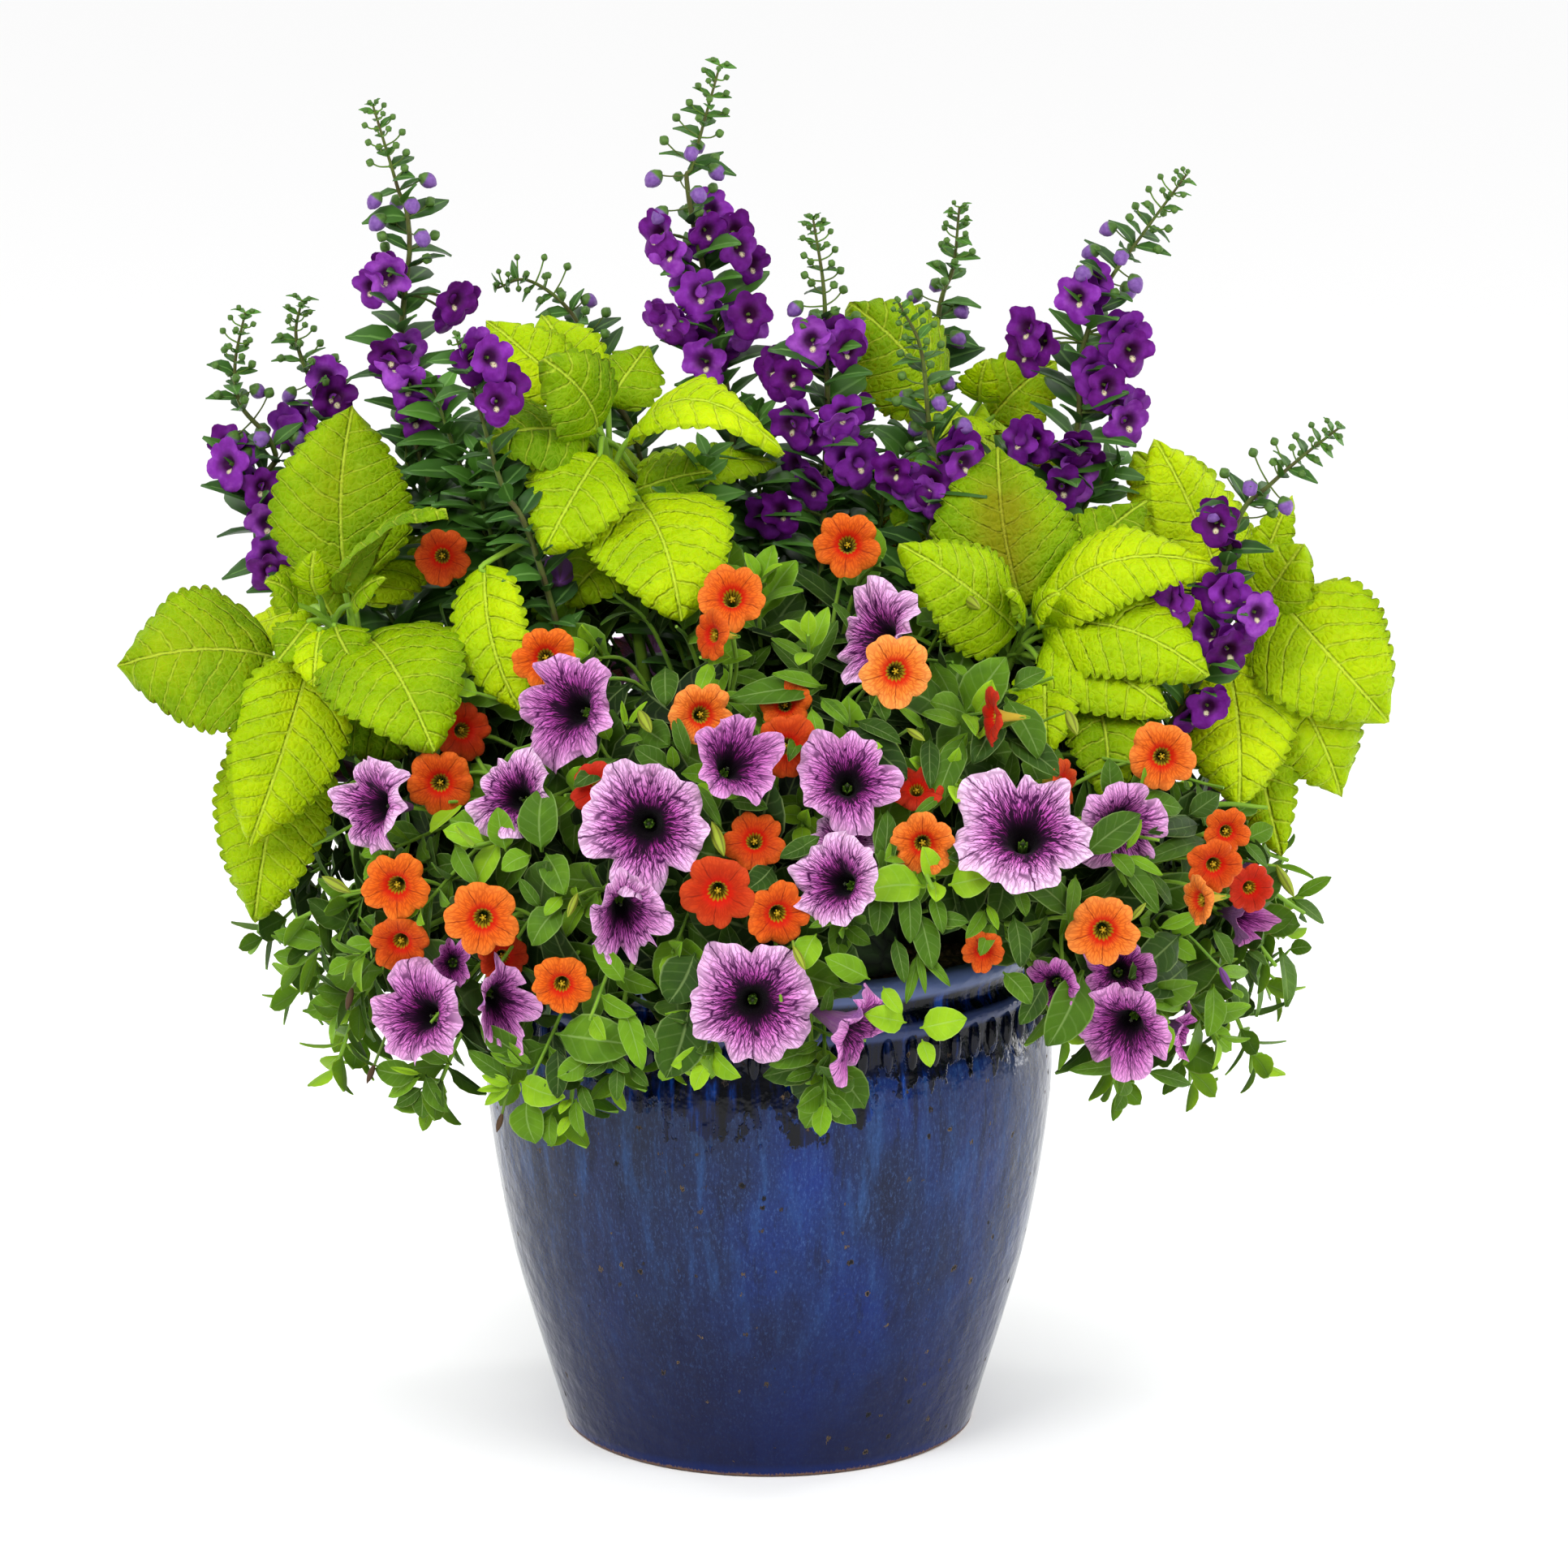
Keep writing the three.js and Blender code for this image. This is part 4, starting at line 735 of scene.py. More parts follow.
# %% [markdown]
# ## Where the blooms are
# Each row is one bloom: across, up, lift off the mound, turn to the right, tilt upwards, radius,
# tone, and, for the folded ones, how narrow they are. The tone runs from the palest bloom of its
# kind, at 0, to the deepest, at 1. Blooms of one spray share a fork on the mound. Sprays on the far
# side are given by compass direction and height instead.

# %% Bloom places
CALIBRACHOA = [
    [[-161, 428, 46, 0, 10, 14.5, 0.6]],
    [[-110, 378, 14, 0, 15, 16, 0.3], [-86, 313, 6, -30, 10, 14, 1.0]],
    [[-18, 408, 18, 0, 30, 17.5, 0.25], [-29, 389, 22, -50, 10, 13, 0.5],
     [-33, 350, 8, 10, 15, 16, 0.1]],
    [[39, 434, 20, 0, 20, 17, 0.35]],
    [[63, 371, 36, 5, 10, 18, 0.0]],
    [[9, 334, 10, 5, 10, 16, 0.65], [8, 355, 0, 0, 20, 13, 0.4], [-7, 288, 4, 0, 25, 15, 0.55]],
    [[109, 349, 18, -75, 5, 14, 1.0]],
    [[-162, 316, -4, 0, 10, 17, 0.45], [-150, 342, -8, 25, 10, 15, 0.75]],
    [[194, 329, 20, 0, 10, 17, 0.2], [146, 316, 2, 60, 5, 12, 0.7]],
    [[73, 314, 2, 0, 45, 13, 0.95], [76, 286, 8, 0, 5, 15.5, 0.2]],
    [[-25, 262, 14, 0, 0, 18, 0.8], [5, 251, 8, 10, 0, 16, 0.45]],
    [[-184, 265, 14, -10, 0, 17, 0.3], [-182, 237, 6, -10, -10, 15, 0.5]],
    [[-141, 249, 16, 0, 5, 18, 0.25], [-131, 230, -4, 10, 0, 13, 0.85]],
    [[-102, 216, 8, 0, -5, 15, 0.3]],
    [[165, 243, 26, 0, 5, 18, 0.15]],
    [[106, 233, 4, 5, -10, 11, 0.5]],
    [[226, 292, 20, 10, 5, 12, 0.45], [220, 275, 26, 10, -5, 14, 0.55], [211, 258, 24, -60, 0, 13, 0.1],
     [238, 264, 22, 20, 0, 13, 0.95]],
]
PETUNIA = [
    [[-100, 354, 16, -35, 20, 29, 0.7], [-127, 311, 8, -25, 25, 23, 0.2]],
    [[-198, 305, 22, -50, 10, 26, 0.3]],
    [[-61, 295, 20, -5, 10, 34, 0.25], [-71, 250, 10, 10, -15, 25, 0.5, 0.75]],
    [[39, 318, 12, 0, 27, 26, 0.6], [-17, 328, 24, 20, 35, 24, 0.8, 0.9]],
    [[51, 390, 14, -50, 25, 27, 0.3]],
    [[37, 290, -4, 0, 50, 18, 0.1], [32, 268, 16, -30, 20, 24, 0.2]],
    [[126, 294, 26, 0, 40, 35, 0.1], [175, 294, 4, 20, 0, 23, 0.6]],
    [[-8, 207, 14, 0, 8, 33, 0.35], [46, 192, 14, 65, -20, 25, 0.9]],
    [[-174, 203, 16, -35, 20, 26, 0.6], [-133, 207, 4, 20, -5, 22, 0.7, 0.66],
     [-156, 227, 0, 0, 10, 13, 1.0, 0.7]],
    [[175, 194, 16, -20, -10, 25, 0.8], [173, 224, 2, 0, 20, 18, 0.9], [206, 194, 6, 75, -10, 15, 1.0],
     [140, 216, 0, -20, 0, 14, 1.0]],
    [[233, 250, 2, 40, 0, 15, 1.0, 0.7]],
]
CALIBRACHOA_BEHIND = [(38, 38), (80, 24), (138, 34)]
PETUNIA_BEHIND = [(15, 18), (108, 30), (165, 20)]


def front_heads(rows):
    for across, up, lift, turn, tilt, radius, tone, *fold in rows:
        yield on_mound(across, up, lift), facing(turn, tilt), radius, tone, fold[0] if fold else 1.0


def behind_heads(compass, height, radius):
    for i in range(2):
        out = outwards(radians(compass + 11 * i), radians(height - 14 * i))
        yield MOUND_CENTRE + out * (MOUND_RADII + 8 + 8 * i), out, radius - 2 * i, compass / 200, 1.0


def sprays_of(front, behind, radius):
    return [list(front_heads(rows)) for rows in front] + [
        list(behind_heads(*where, radius)) for where in behind]


SPRAYS = {
    "petunia": sprays_of(PETUNIA, PETUNIA_BEHIND, 29.0),
    "calibrachoa": sprays_of(CALIBRACHOA, CALIBRACHOA_BEHIND, 17.0),
}
print({kind: sum(map(len, sprays)) for kind, sprays in SPRAYS.items()}, "blooms")

# %% [markdown]
# ## Petal materials
# A petunia petal is thin, soft and slightly velvety: little gloss, a faint sheen, and some light
# from behind. Its colour is drawn by the plant's veins. Where the angle round the throat and the
# distance from it are used as the two directions of a cell pattern, the borders of the cells are
# long lines that run outwards and fork, just as veins do. The same is done for calibrachoa, with
# fainter veins, five dark lines and a red ring round a yellow-green throat.

# %% Petal coordinates


def petal_lines(n):
    """Distance from the throat, turn round it, and the place across a lobe, 0 in its middle."""
    spread = n("Attribute", attribute_name="spread").outputs["Vector"]
    mm = place_in_mm(n)
    drift = n("TexNoise", {"Vector": mm, "Scale": 0.3}).outputs["Color"]
    away = n("VectorMath.SUBTRACT", [drift, (0.5, 0.5, 0.5)])
    moved = n("VectorMath.MULTIPLY_ADD", [away, (0.08, 0.08, 0), spread])
    flat = n("VectorMath.MULTIPLY", [moved, (1, 1, 0)])
    parts = n("SeparateXYZ", [flat])
    side = n("SeparateXYZ", [spread]).outputs["Z"]
    r = n("VectorMath.LENGTH", [flat])
    turn = n("Math.ARCTAN2", [parts.outputs["Y"], parts.outputs["X"]])
    lobe = n("Math.MULTIPLY", [turn, LOBES / tau])
    inside = n("Math.SUBTRACT", [n("Math.FRACT", [lobe]), 0.5])
    off = n("Math.ABSOLUTE", [inside])
    return mm, r, turn, off, side


def vein_net(n, r, turn, tone, around, along, width):
    """Lines that run outwards and fork: the borders of cells laid out by turn and distance."""
    place = n("CombineXYZ", [
        n("Math.MULTIPLY", [turn, around / tau]), n("Math.MULTIPLY", [r, along]),
        n("Math.MULTIPLY", [tone, 37.0])])
    cells = n("TexVoronoi", {"Vector": place, "Scale": 1.0}, feature="DISTANCE_TO_EDGE")
    return n("MapRange", [cells, width, width * 0.25])


def petal_material(name, roughness, gloss):
    """A thin velvety material, the tone of the bloom and the coordinates of its petals."""
    material, n = new_material(
        name, Roughness=roughness, Specular_IOR_Level=gloss, Sheen_Weight=0.03,
        Subsurface_Weight=0.06, Subsurface_Scale=1.5 * MM)
    tone = n("Attribute", attribute_name="tone").outputs["Fac"]
    return material, n, tone, *petal_lines(n)


print("petal coordinates ready")

# %% Petunia petals
BRANCH_SLANT, BRANCH_SPACING = 3.0, 0.15  # as shares of the reach of a petunia's lobes


def petunia_finish():
    material, n, tone, mm, r, turn, off, side = petal_material("petunia_petal_lilac", 0.6, 0.08)
    # from the throat to the margin: magenta, lilac, and nearly white
    pale = n("ValToRGB", [r], stops=[
        (0.26, "#8A1278"), (1, "#F6D4F0"), (0.45, "#C05AB0"), (0.7, "#E6A6DC")])
    deep = n("ValToRGB", [r], stops=[
        (0.26, "#720A62"), (1, "#D68CCA"), (0.45, "#A43C96"), (0.7, "#C05EB2")])
    base = n("Mix", {0: tone, 6: pale, 7: deep})
    # veins: a main one up the middle of each lobe, branches that leave it at a slant, and forking
    # lines between them that fade towards the margin
    midline = n("Math.MULTIPLY", [off, r])
    main = n("MapRange", [midline, 0.018, 0.005])
    slanted = n("Math.MULTIPLY_ADD", [midline, -BRANCH_SLANT, r])
    branch = n("Math.PINGPONG", [slanted, BRANCH_SPACING / 2])
    branches = n("MapRange", [branch, 0.024, 0.006, 0, 0.95])
    strong_net = vein_net(n, r, turn, tone, 50, 1.9, 0.115)
    fine_net = vein_net(n, r, turn, tone, 90, 5, 0.14)
    fading = n("MapRange", [r, 0.6, 1, 1, 0.4])
    finer = n("MapRange", [r, 0.4, 0.9, 0.8, 0.22])
    lines = n("Math.MAXIMUM", [branches, strong_net])
    strong = n("Math.MULTIPLY", [lines, fading])
    weak = n("Math.MULTIPLY", [fine_net, finer])
    net = n("Math.MAXIMUM", [strong, weak])
    veins = n("Math.MAXIMUM", [net, n("Math.MULTIPLY", [main, 0.95])])
    veined = n("Mix", {0: veins, 6: base, 7: "#3C083C"})
    # the dark throat reaches further out along the middle of each lobe and along the veins
    reach = n("MapRange", {0: off, 2: 0.5, 3: 0.08, 4: -0.03}, **SMOOTH)
    inner = n("Math.SUBTRACT", [r, reach])
    nearer = n("Math.MULTIPLY_ADD", [net, -0.17, inner])
    stained = layer(n, veined, "#200420", nearer, 0.36, 0.16, **SMOOTH)
    throat = layer(n, stained, "#0A020A", r, 0.3, 0.17, **SMOOTH)
    # the outer side is duller, and its tube greenish violet
    outer = layer(n, "#5E4A52", "#A870B2", r, 0.15, 0.45)
    outer_veined = n("Mix", {0: n("Math.MULTIPLY", [veins, 0.6]), 6: outer, 7: "#5A1C66"})
    whole = n("Mix", {0: side, 6: throat, 7: outer_veined})
    cloth = n("TexNoise", {"Vector": mm, "Scale": 0.35, "Detail": 3})
    ribs = relief(n, cloth, 0.4, 1, veins, 0.4, 0.25)
    return paint(material, {"Base Color": whole, "Normal": ribs})


print("petunia petals: a branch vein every", BRANCH_SPACING, "of their reach")

# %% Calibrachoa petals


def calibrachoa_finish():
    material, n, tone, mm, r, turn, off, side = petal_material("calibrachoa_petal_orange", 0.55, 0.06)
    body = n("ValToRGB", [tone], stops=[
        (0, "#DC7424"), (1, "#A81808"), (0.3, "#CE540A"), (0.65, "#B03208")])
    rim_tone = n("ValToRGB", [tone], stops=[
        (0, "#E8984A"), (1, "#B6301C"), (0.3, "#DC7020"), (0.65, "#C04E18")])
    base = layer(n, body, rim_tone, r, 0.5, 0.98, 0.9, **SMOOTH)
    net = vein_net(n, r, turn, tone, 54, 3.6, 0.18)
    fade = n("MapRange", [r, 0.3, 1, 0.6, 0.25])
    faint = n("Math.MULTIPLY", [net, fade])
    veined = n("Mix", {0: faint, 6: base, 7: "#8E1E06"})
    midline = n("Math.MULTIPLY", [off, r])
    main = n("MapRange", [midline, 0.018, 0.004, 0, 0.75])
    ends = n("MapRange", [r, 0.8, 1, 1, 0.1])
    five = n("Math.MULTIPLY", [main, ends])
    lined = n("Mix", {0: five, 6: veined, 7: "#6A1606"})
    ringed = layer(n, lined, "#C01404", r, 0.52, 0.28, 0.9, **SMOOTH)
    streaks = n("Math.SINE", [n("Math.MULTIPLY", [turn, 15])])
    yellow = layer(n, "#9A8612", "#2A2006", streaks, 0.2, 0.8, 0.85)
    uneven = n("Math.MULTIPLY_ADD", [streaks, 0.02, r])
    throat = layer(n, ringed, yellow, uneven, 0.28, 0.21, **SMOOTH)
    outer = layer(n, "#B89A30", body, r, 0.16, 0.5)
    whole = n("Mix", {0: side, 6: throat, 7: outer})
    cloth = n("TexNoise", {"Vector": mm, "Scale": 0.6, "Detail": 3})
    ribs = relief(n, cloth, 0.35, 0.7, net, 0.3, 0.15)
    return paint(material, {"Base Color": whole, "Normal": ribs})


PETAL_FINISH = {"petunia": petunia_finish(), "calibrachoa": calibrachoa_finish()}
print([m.name for m in PETAL_FINISH.values()])

# %% [markdown]
# ## Stems and stalks
# Every stem here is a round, tapering bar along a bent line. A mesh of edges holds the lines, and
# each of its points says how thick the stem is there. A tree turns the edges to curves and sweeps
# a circle along them, with its size taken from the points.

# %% Stem tree
stem_tree, given, n = new_tree("stems_along_edges", Sides="Int", Finish="Material")
line = n("MeshToCurve", {"Mesh": given.outputs[0]})
profile = n("CurvePrimitiveCircle", {"Resolution": given.outputs["Sides"], "Radius": MM})
thick = n("InputNamedAttribute", {"Name": "thick"}, data_type="FLOAT")
swept = n("CurveToMesh", {"Curve": line, "Profile Curve": profile, "Scale": thick, "Fill Caps": True})
close_tree(n, given.outputs["Finish"], swept)


class Stems:
    """Collects bent lines with a radius at each point, for the stem tree."""

    def __init__(self):
        self.points, self.edges, self.thick, self.tint = [], [], [], []

    def add(self, corners, radii, steps=5, tint=0.5):
        line = smooth_line(corners, steps)
        start = len(self.points)
        self.points += list(line)
        self.edges += [(i, i + 1) for i in range(start, start + len(line) - 1)]
        places = np.linspace(0, 1, len(line))
        self.thick += list(np.interp(places, np.linspace(0, 1, len(radii)), radii))
        self.tint += [tint] * len(line)
        return line

    def grow(self, name, material, slot, *nodes, sides=6):
        mesh = bpy.data.meshes.new(name)
        mesh.from_pydata(np.array(self.points) * MM, self.edges, [])
        for key, values in (("thick", self.thick), ("tint", self.tint)):
            mesh.attributes.new(key, "FLOAT", "POINT").data.foreach_set("value", values)
        made = grown(name, mesh, stem_tree, Sides=sides, Finish=material)
        stand(name, made, material, slot, *nodes)


# %% [markdown]
# Stems of soft bedding plants are juicy and thin-skinned: light green, a little glossy, with fine
# hairs that show as a pale sheen. One material serves them all, from young bright green to the
# brown-green of the angelonia, by a value that the points carry.

# %% Stem material


def stem_finish():
    material, n = new_material(
        "herbaceous_stem", Roughness=0.5, Specular_IOR_Level=0.15, Sheen_Weight=0.08)
    mm = place_in_mm(n)
    tint = n("Attribute", attribute_name="tint").outputs["Fac"]
    patch = n("TexNoise", {"Vector": mm, "Scale": 0.12, "Detail": 3})
    mixed = n("Math.MULTIPLY_ADD", [n("Math.SUBTRACT", [patch, 0.5]), 0.5, tint])
    greens = n("ValToRGB", [mixed], stops=[(0, "#4C4526"), (1, "#90BA34"), (0.5, "#5E8A26")])
    hair = n("TexNoise", {"Vector": mm, "Scale": 1.6})
    bump = n("Bump", {"Height": hair, "Strength": 0.4, "Distance": 0.3 * MM})
    return paint(material, {"Base Color": greens, "Normal": bump})


stem_material = stem_finish()

# %% [markdown]
# ## The blooms
# Now the blooms are made, spray by spray. The end of each tube is kept, because the calyx and the
# stalk start there, and so is the middle of each throat, for the stamens.

# %% Blooms
CLEAR_OF = []  # middle, face and radius of every bloom: leaves stay out from before it
flower_stalks = Stems()
tube_ends, throats = [], []
SLOT_OF = {"petunia": "petunia_petal", "calibrachoa": "calibrachoa_petal"}
for kind, sprays in SPRAYS.items():
    heap = Heap()
    rng = np.random.default_rng(SEED["blooms"])
    for heads in sprays:
        seat = on_core(np.mean([middle for middle, *_ in heads], axis=0))
        inward = unit(MOUND_CENTRE - seat)
        for i, (middle, face, radius, tone, fold) in enumerate(heads):
            spin = pi / 2 + 0.5 * i + rng.uniform(-0.2, 0.2)
            form, lie, end = bloom_form(kind, middle, face, radius, spin, fold, rng)
            heap.add(form, spread=lie, tone=tone + rng.uniform(0, 0.01))
            elbow = (end + seat) / 2 - face * radius * 0.15 + UP * 3
            flower_stalks.add([end + face * 2, elbow, seat - inward * 5, seat + inward * 10],
                              [1.3, 0.95, 1.2, 1.4], tint=0.75)
            tube_ends.append((end, face, radius, kind))
            throats.append((middle, face, radius, kind))
            CLEAR_OF.append((middle, face, radius))
    stand(f"{kind}_petals", heap.mesh(f"{kind}_petals"), PETAL_FINISH[kind], SLOT_OF[kind],
          *nodes_called(f"{kind}_spray"))

# %% [markdown]
# ## Forms set out on points
# Leaves, calyces, stamens, buds and small flowers each come in a few shapes that are used again and
# again. A collection holds the shapes, modelled at a size of one millimetre with +Y as the way they
# grow and +Z as their upper side. A mesh of bare points says where each goes, which way it grows,
# where its upper side is, how large it is and which shape it takes. The tree puts them there.

# %% Setting-out tree
set_out_tree, given, n = new_tree("forms_on_points", Forms="Collection", Finish="Material")
grows, upper, size = (n("InputNamedAttribute", {"Name": name}, data_type="FLOAT_VECTOR")
                      for name in ("grows", "upper", "size"))
which = n("InputNamedAttribute", {"Name": "form"}, data_type="INT")
shapes = n("CollectionInfo", {
    "Collection": given.outputs["Forms"], "Separate Children": True, "Reset Children": True})
turned_so = n("FunctionNodeAxesToRotation", [grows, upper], primary_axis="Y", secondary_axis="Z")
set_out = n("InstanceOnPoints", {
    "Points": given.outputs[0], "Instance": shapes, "Pick Instance": True, "Instance Index": which,
    "Rotation": turned_so, "Scale": size})
close_tree(n, given.outputs["Finish"], set_out)


class Places:
    """Collects the places, directions and sizes of forms that are to be set out."""

    def __init__(self):
        self.rows = []

    def add(self, point, grows, upper, size, form=0, tint=0.5):
        size = size if np.ndim(size) else (size, size, size)
        self.rows.append((*point, *grows, *upper, *size, form, tint))

    def grow(self, name, forms, material, slot, *nodes):
        rows = np.array(self.rows, float)
        mesh = bpy.data.meshes.new(name)
        mesh.from_pydata(rows[:, :3] * MM, [], [])
        for key, first in (("grows", 3), ("upper", 6), ("size", 9)):
            data = mesh.attributes.new(key, "FLOAT_VECTOR", "POINT").data
            data.foreach_set("vector", rows[:, first : first + 3].ravel())
        mesh.attributes.new("form", "INT", "POINT").data.foreach_set("value", rows[:, 12].astype(int))
        mesh.attributes.new("tint", "FLOAT", "POINT").data.foreach_set("value", rows[:, 13])
        shapes = bpy.data.collections.new(name)
        for i, heap in enumerate(forms):
            shape_name = f"{name}_{i:02d}"  # the tree takes them in the order of their names
            shapes.objects.link(bpy.data.objects.new(shape_name, heap.mesh(shape_name)))
        made = grown(name, mesh, set_out_tree, Forms=shapes, Finish=material)
        for shape in list(shapes.objects):
            bpy.data.objects.remove(shape)
        bpy.data.collections.remove(shapes)
        for key in ("grows", "upper", "size", "form"):
            if key in made.attributes:
                made.attributes.remove(made.attributes[key])
        stand(name, made, material, slot, *nodes)


# %% [markdown]
# ## Thin blades
# A leaf is a thin closed sheet along a rib. Its rings run along the rib: from the left margin over
# the upper side to the right margin, and back under it. The same function makes a leaf, a sepal and
# a bract. A width for each station gives the outline, and a lift for each point gives the fold, the
# curl and the relief.

# %% Blade form
# share along the rib and share of the half width
LEAF_OUTLINE = [(0.0, 0.06), (0.07, 0.10), (0.17, 0.58), (0.32, 0.93), (0.48, 1.0), (0.65, 0.90),
                (0.80, 0.70), (0.91, 0.43), (1.0, 0.04)]
PLAIN_OUTLINE = [(0.0, 0.06), (0.11, 0.24), (0.27, 0.85), (0.46, 1.0), (0.67, 0.88), (0.86, 0.56),
                 (1.0, 0.04)]


def blade_rings(rib, side, up, width, columns, lift, thickness, below=slice(1, -1)):
    """Rings of a thin sheet along a rib. columns run from -1 to 1 across; lift is rows by columns.
    The columns in below are repeated on the under side."""
    lateral = width * columns
    top = rib[:, None] + side[:, None] * lateral[..., None] + up[:, None] * lift[..., None]
    low = top[:, below] - up[:, None] * thickness
    return np.concatenate([top, low[:, ::-1]], axis=1)


def simple_blade(half, curl, fold, bend=0.0, thickness=0.03, outline=LEAF_OUTLINE):
    """A leaf of length one along +Y, folded along its rib, its tip curled down."""
    share, width = np.array(outline).T
    rib = np.stack([bend * np.sin(pi * share), share, -curl * share**2], 1)
    width = (half * width)[:, None]
    columns = np.array([-1, -0.55, 0, 0.55, 1])
    lift = (fold * np.abs(width * columns) - 0.06 * half * np.exp(-((columns / 0.2) ** 2))
            - 0.22 * half * np.abs(columns) ** 3)
    side = np.tile([1.0, 0, 0], (len(share), 1))
    slope = np.gradient(rib, axis=0)
    up = unit(np.cross(side, slope))
    rings = blade_rings(rib, side, up, width, columns, lift, thickness, below=slice(2, 3))
    lie_top = np.stack([np.tile(share[:, None], (1, 5)), np.tile(columns, (len(share), 1)),
                        np.zeros((len(share), 5))], -1)
    lie = np.concatenate([lie_top, lie_top[:, 2:3] + [0, 0, 1]], axis=1).reshape(-1, 3)
    return skin(rings), lie


def blade_heap(*args, **settings):
    heap = Heap()
    form, lie = simple_blade(*args, **settings)
    heap.add(form, lie=lie)
    return heap

# %% [markdown]
# ## Leaf material of the trailing plants
# Petunia and calibrachoa leaves are soft, a little sticky and covered with fine short hairs. The
# hairs make the surface look velvety and leave a pale line along the margin. The colour runs from
# dark blue-green for old leaves deep in the plant, partly their own colour and partly painted
# shade, to bright yellow-green at the growing tips, so each leaf carries a value for it. The rib
# and a few side veins are paler.

# %% Trailing leaf material


def velvet_leaf_finish():
    material, n = new_material(
        "downy_leaf", Roughness=0.55, Specular_IOR_Level=0.12, Sheen_Weight=0.03, Sheen_Roughness=0.5,
        Subsurface_Weight=0.05, Subsurface_Scale=1.5 * MM)
    mm = place_in_mm(n)
    lie, tint = lie_and(n, "tint")
    patch = n("TexNoise", {"Vector": mm, "Scale": 0.09, "Detail": 3})
    mixed = n("Math.MULTIPLY_ADD", [n("Math.SUBTRACT", [patch, 0.5]), 0.3, tint])
    greens = n("ValToRGB", [mixed], stops=[
        (0, "#0C1C05"), (1, "#96C01C"), (0.25, "#264208"), (0.5, "#42660C"), (0.75, "#689412")])
    off = n("Math.ABSOLUTE", [lie.outputs["Y"]])
    rib = n("MapRange", [off, 0.08, 0.02, 0, 0.45])
    # side veins leave the rib at a slant: lines where share along less a part of share across is even
    slant = n("Math.MULTIPLY_ADD", [off, -0.2, lie.outputs["X"]])
    comb = n("Math.SINE", [n("Math.MULTIPLY", [slant, 38])])
    vein = n("MapRange", [comb, 0.8, 1, 0, 0.1])
    lines = n("Math.MAXIMUM", [rib, vein])
    margin = n("MapRange", [off, 0.9, 1, 0, 0.6])
    pale = n("Math.MAXIMUM", [lines, margin])
    brighter = n("Mix", {6: greens, 7: "#B4D080"})
    marked = n("Mix", {0: pale, 6: greens, 7: brighter})
    below = n("Mix", {0: 0.35, 6: marked, 7: "#6C9044"})
    whole = n("Mix", {0: lie.outputs["Z"], 6: marked, 7: below})
    down = n("TexNoise", {"Vector": mm, "Scale": 0.9, "Detail": 3})
    sunk = relief(n, down, 0.35, 0.4, lines, 0.7, 0.45)
    return paint(material, {"Base Color": whole, "Normal": sunk})


leaf_material = velvet_leaf_finish()

# %% [markdown]
# ## Calyces and stamens
# Behind every bloom five narrow green sepals hold its tube. In the throat stand the stigma and five
# anthers: grey-green in a petunia, yellow in a calibrachoa.

# %% Calyces


def side_of(face):
    """Any direction square to a face."""
    return unit(np.cross(face, [0.3, 0.2, 1.0]))


def whorl(heap, count, length, half, spread, **settings):
    """Blades in a ring round +Y, leaning outwards from it by spread."""
    for i in range(count):
        (points, faces), lie = simple_blade(half, 0.1, 0.2, **settings)
        points = points * length
        lean, turn = radians(spread), tau * i / count
        tip = np.array([[1, 0, 0], [0, cos(lean), -sin(lean)], [0, sin(lean), cos(lean)]])
        spin = np.array([[cos(turn), 0, sin(turn)], [0, 1, 0], [-sin(turn), 0, cos(turn)]])
        heap.add((points @ tip.T @ spin.T, faces), lie=lie)
    return heap


SEPAL_OUTLINE = [(0.0, 0.5), (0.25, 0.9), (0.55, 1.0), (0.85, 0.6), (1.0, 0.1)]
calyx_form = whorl(Heap(), 5, 1.0, 0.14, 16, outline=SEPAL_OUTLINE, thickness=0.07)
calyces = Places()
for end, face, radius, kind in tube_ends:
    length = 13 if kind == "petunia" else 9
    calyces.add(end - face * 2.5, face, side_of(face), length, tint=0.7)
calyces.grow("flower_calyces", [calyx_form], leaf_material, "trailing_leaf")

# %% Stamens


def ball_form(radius, middle, steps=6, rows=4, stretch=1.0):
    """A small round form."""
    rise = np.linspace(-0.49 * pi, 0.49 * pi, rows)
    rings = turned([(np.cos(a), sin(a) * stretch) for a in rise], steps)[..., [0, 2, 1]]
    return skin(rings * radius + np.array(middle, float))


def stamen_finish():
    material, n = new_material("pollen_and_stigma", Roughness=0.7, Specular_IOR_Level=0.2)
    tint = n("Attribute", attribute_name="tint").outputs["Fac"]
    mix = n("Mix", {0: tint, 6: "#3E4630", 7: "#B49A1C"})
    return paint(material, {"Base Color": mix})


heart = Heap()
heart.add(ball_form(0.16, (0, 0.1, 0)))
for k in range(5):
    turn = tau * k / 5
    heart.add(ball_form(0.085, (0.2 * cos(turn), 0, 0.2 * sin(turn)), stretch=1.4))
stamens = Places()
for middle, face, radius, kind in throats:
    depth, size = (0.48, 3.6) if kind == "petunia" else (0.26, 6.0)
    stamens.add(middle - face * radius * depth, face, side_of(face), size,
                tint=float(kind != "petunia"))
stamens.grow("flower_stamens", [heart], stamen_finish(), "petunia_petal")
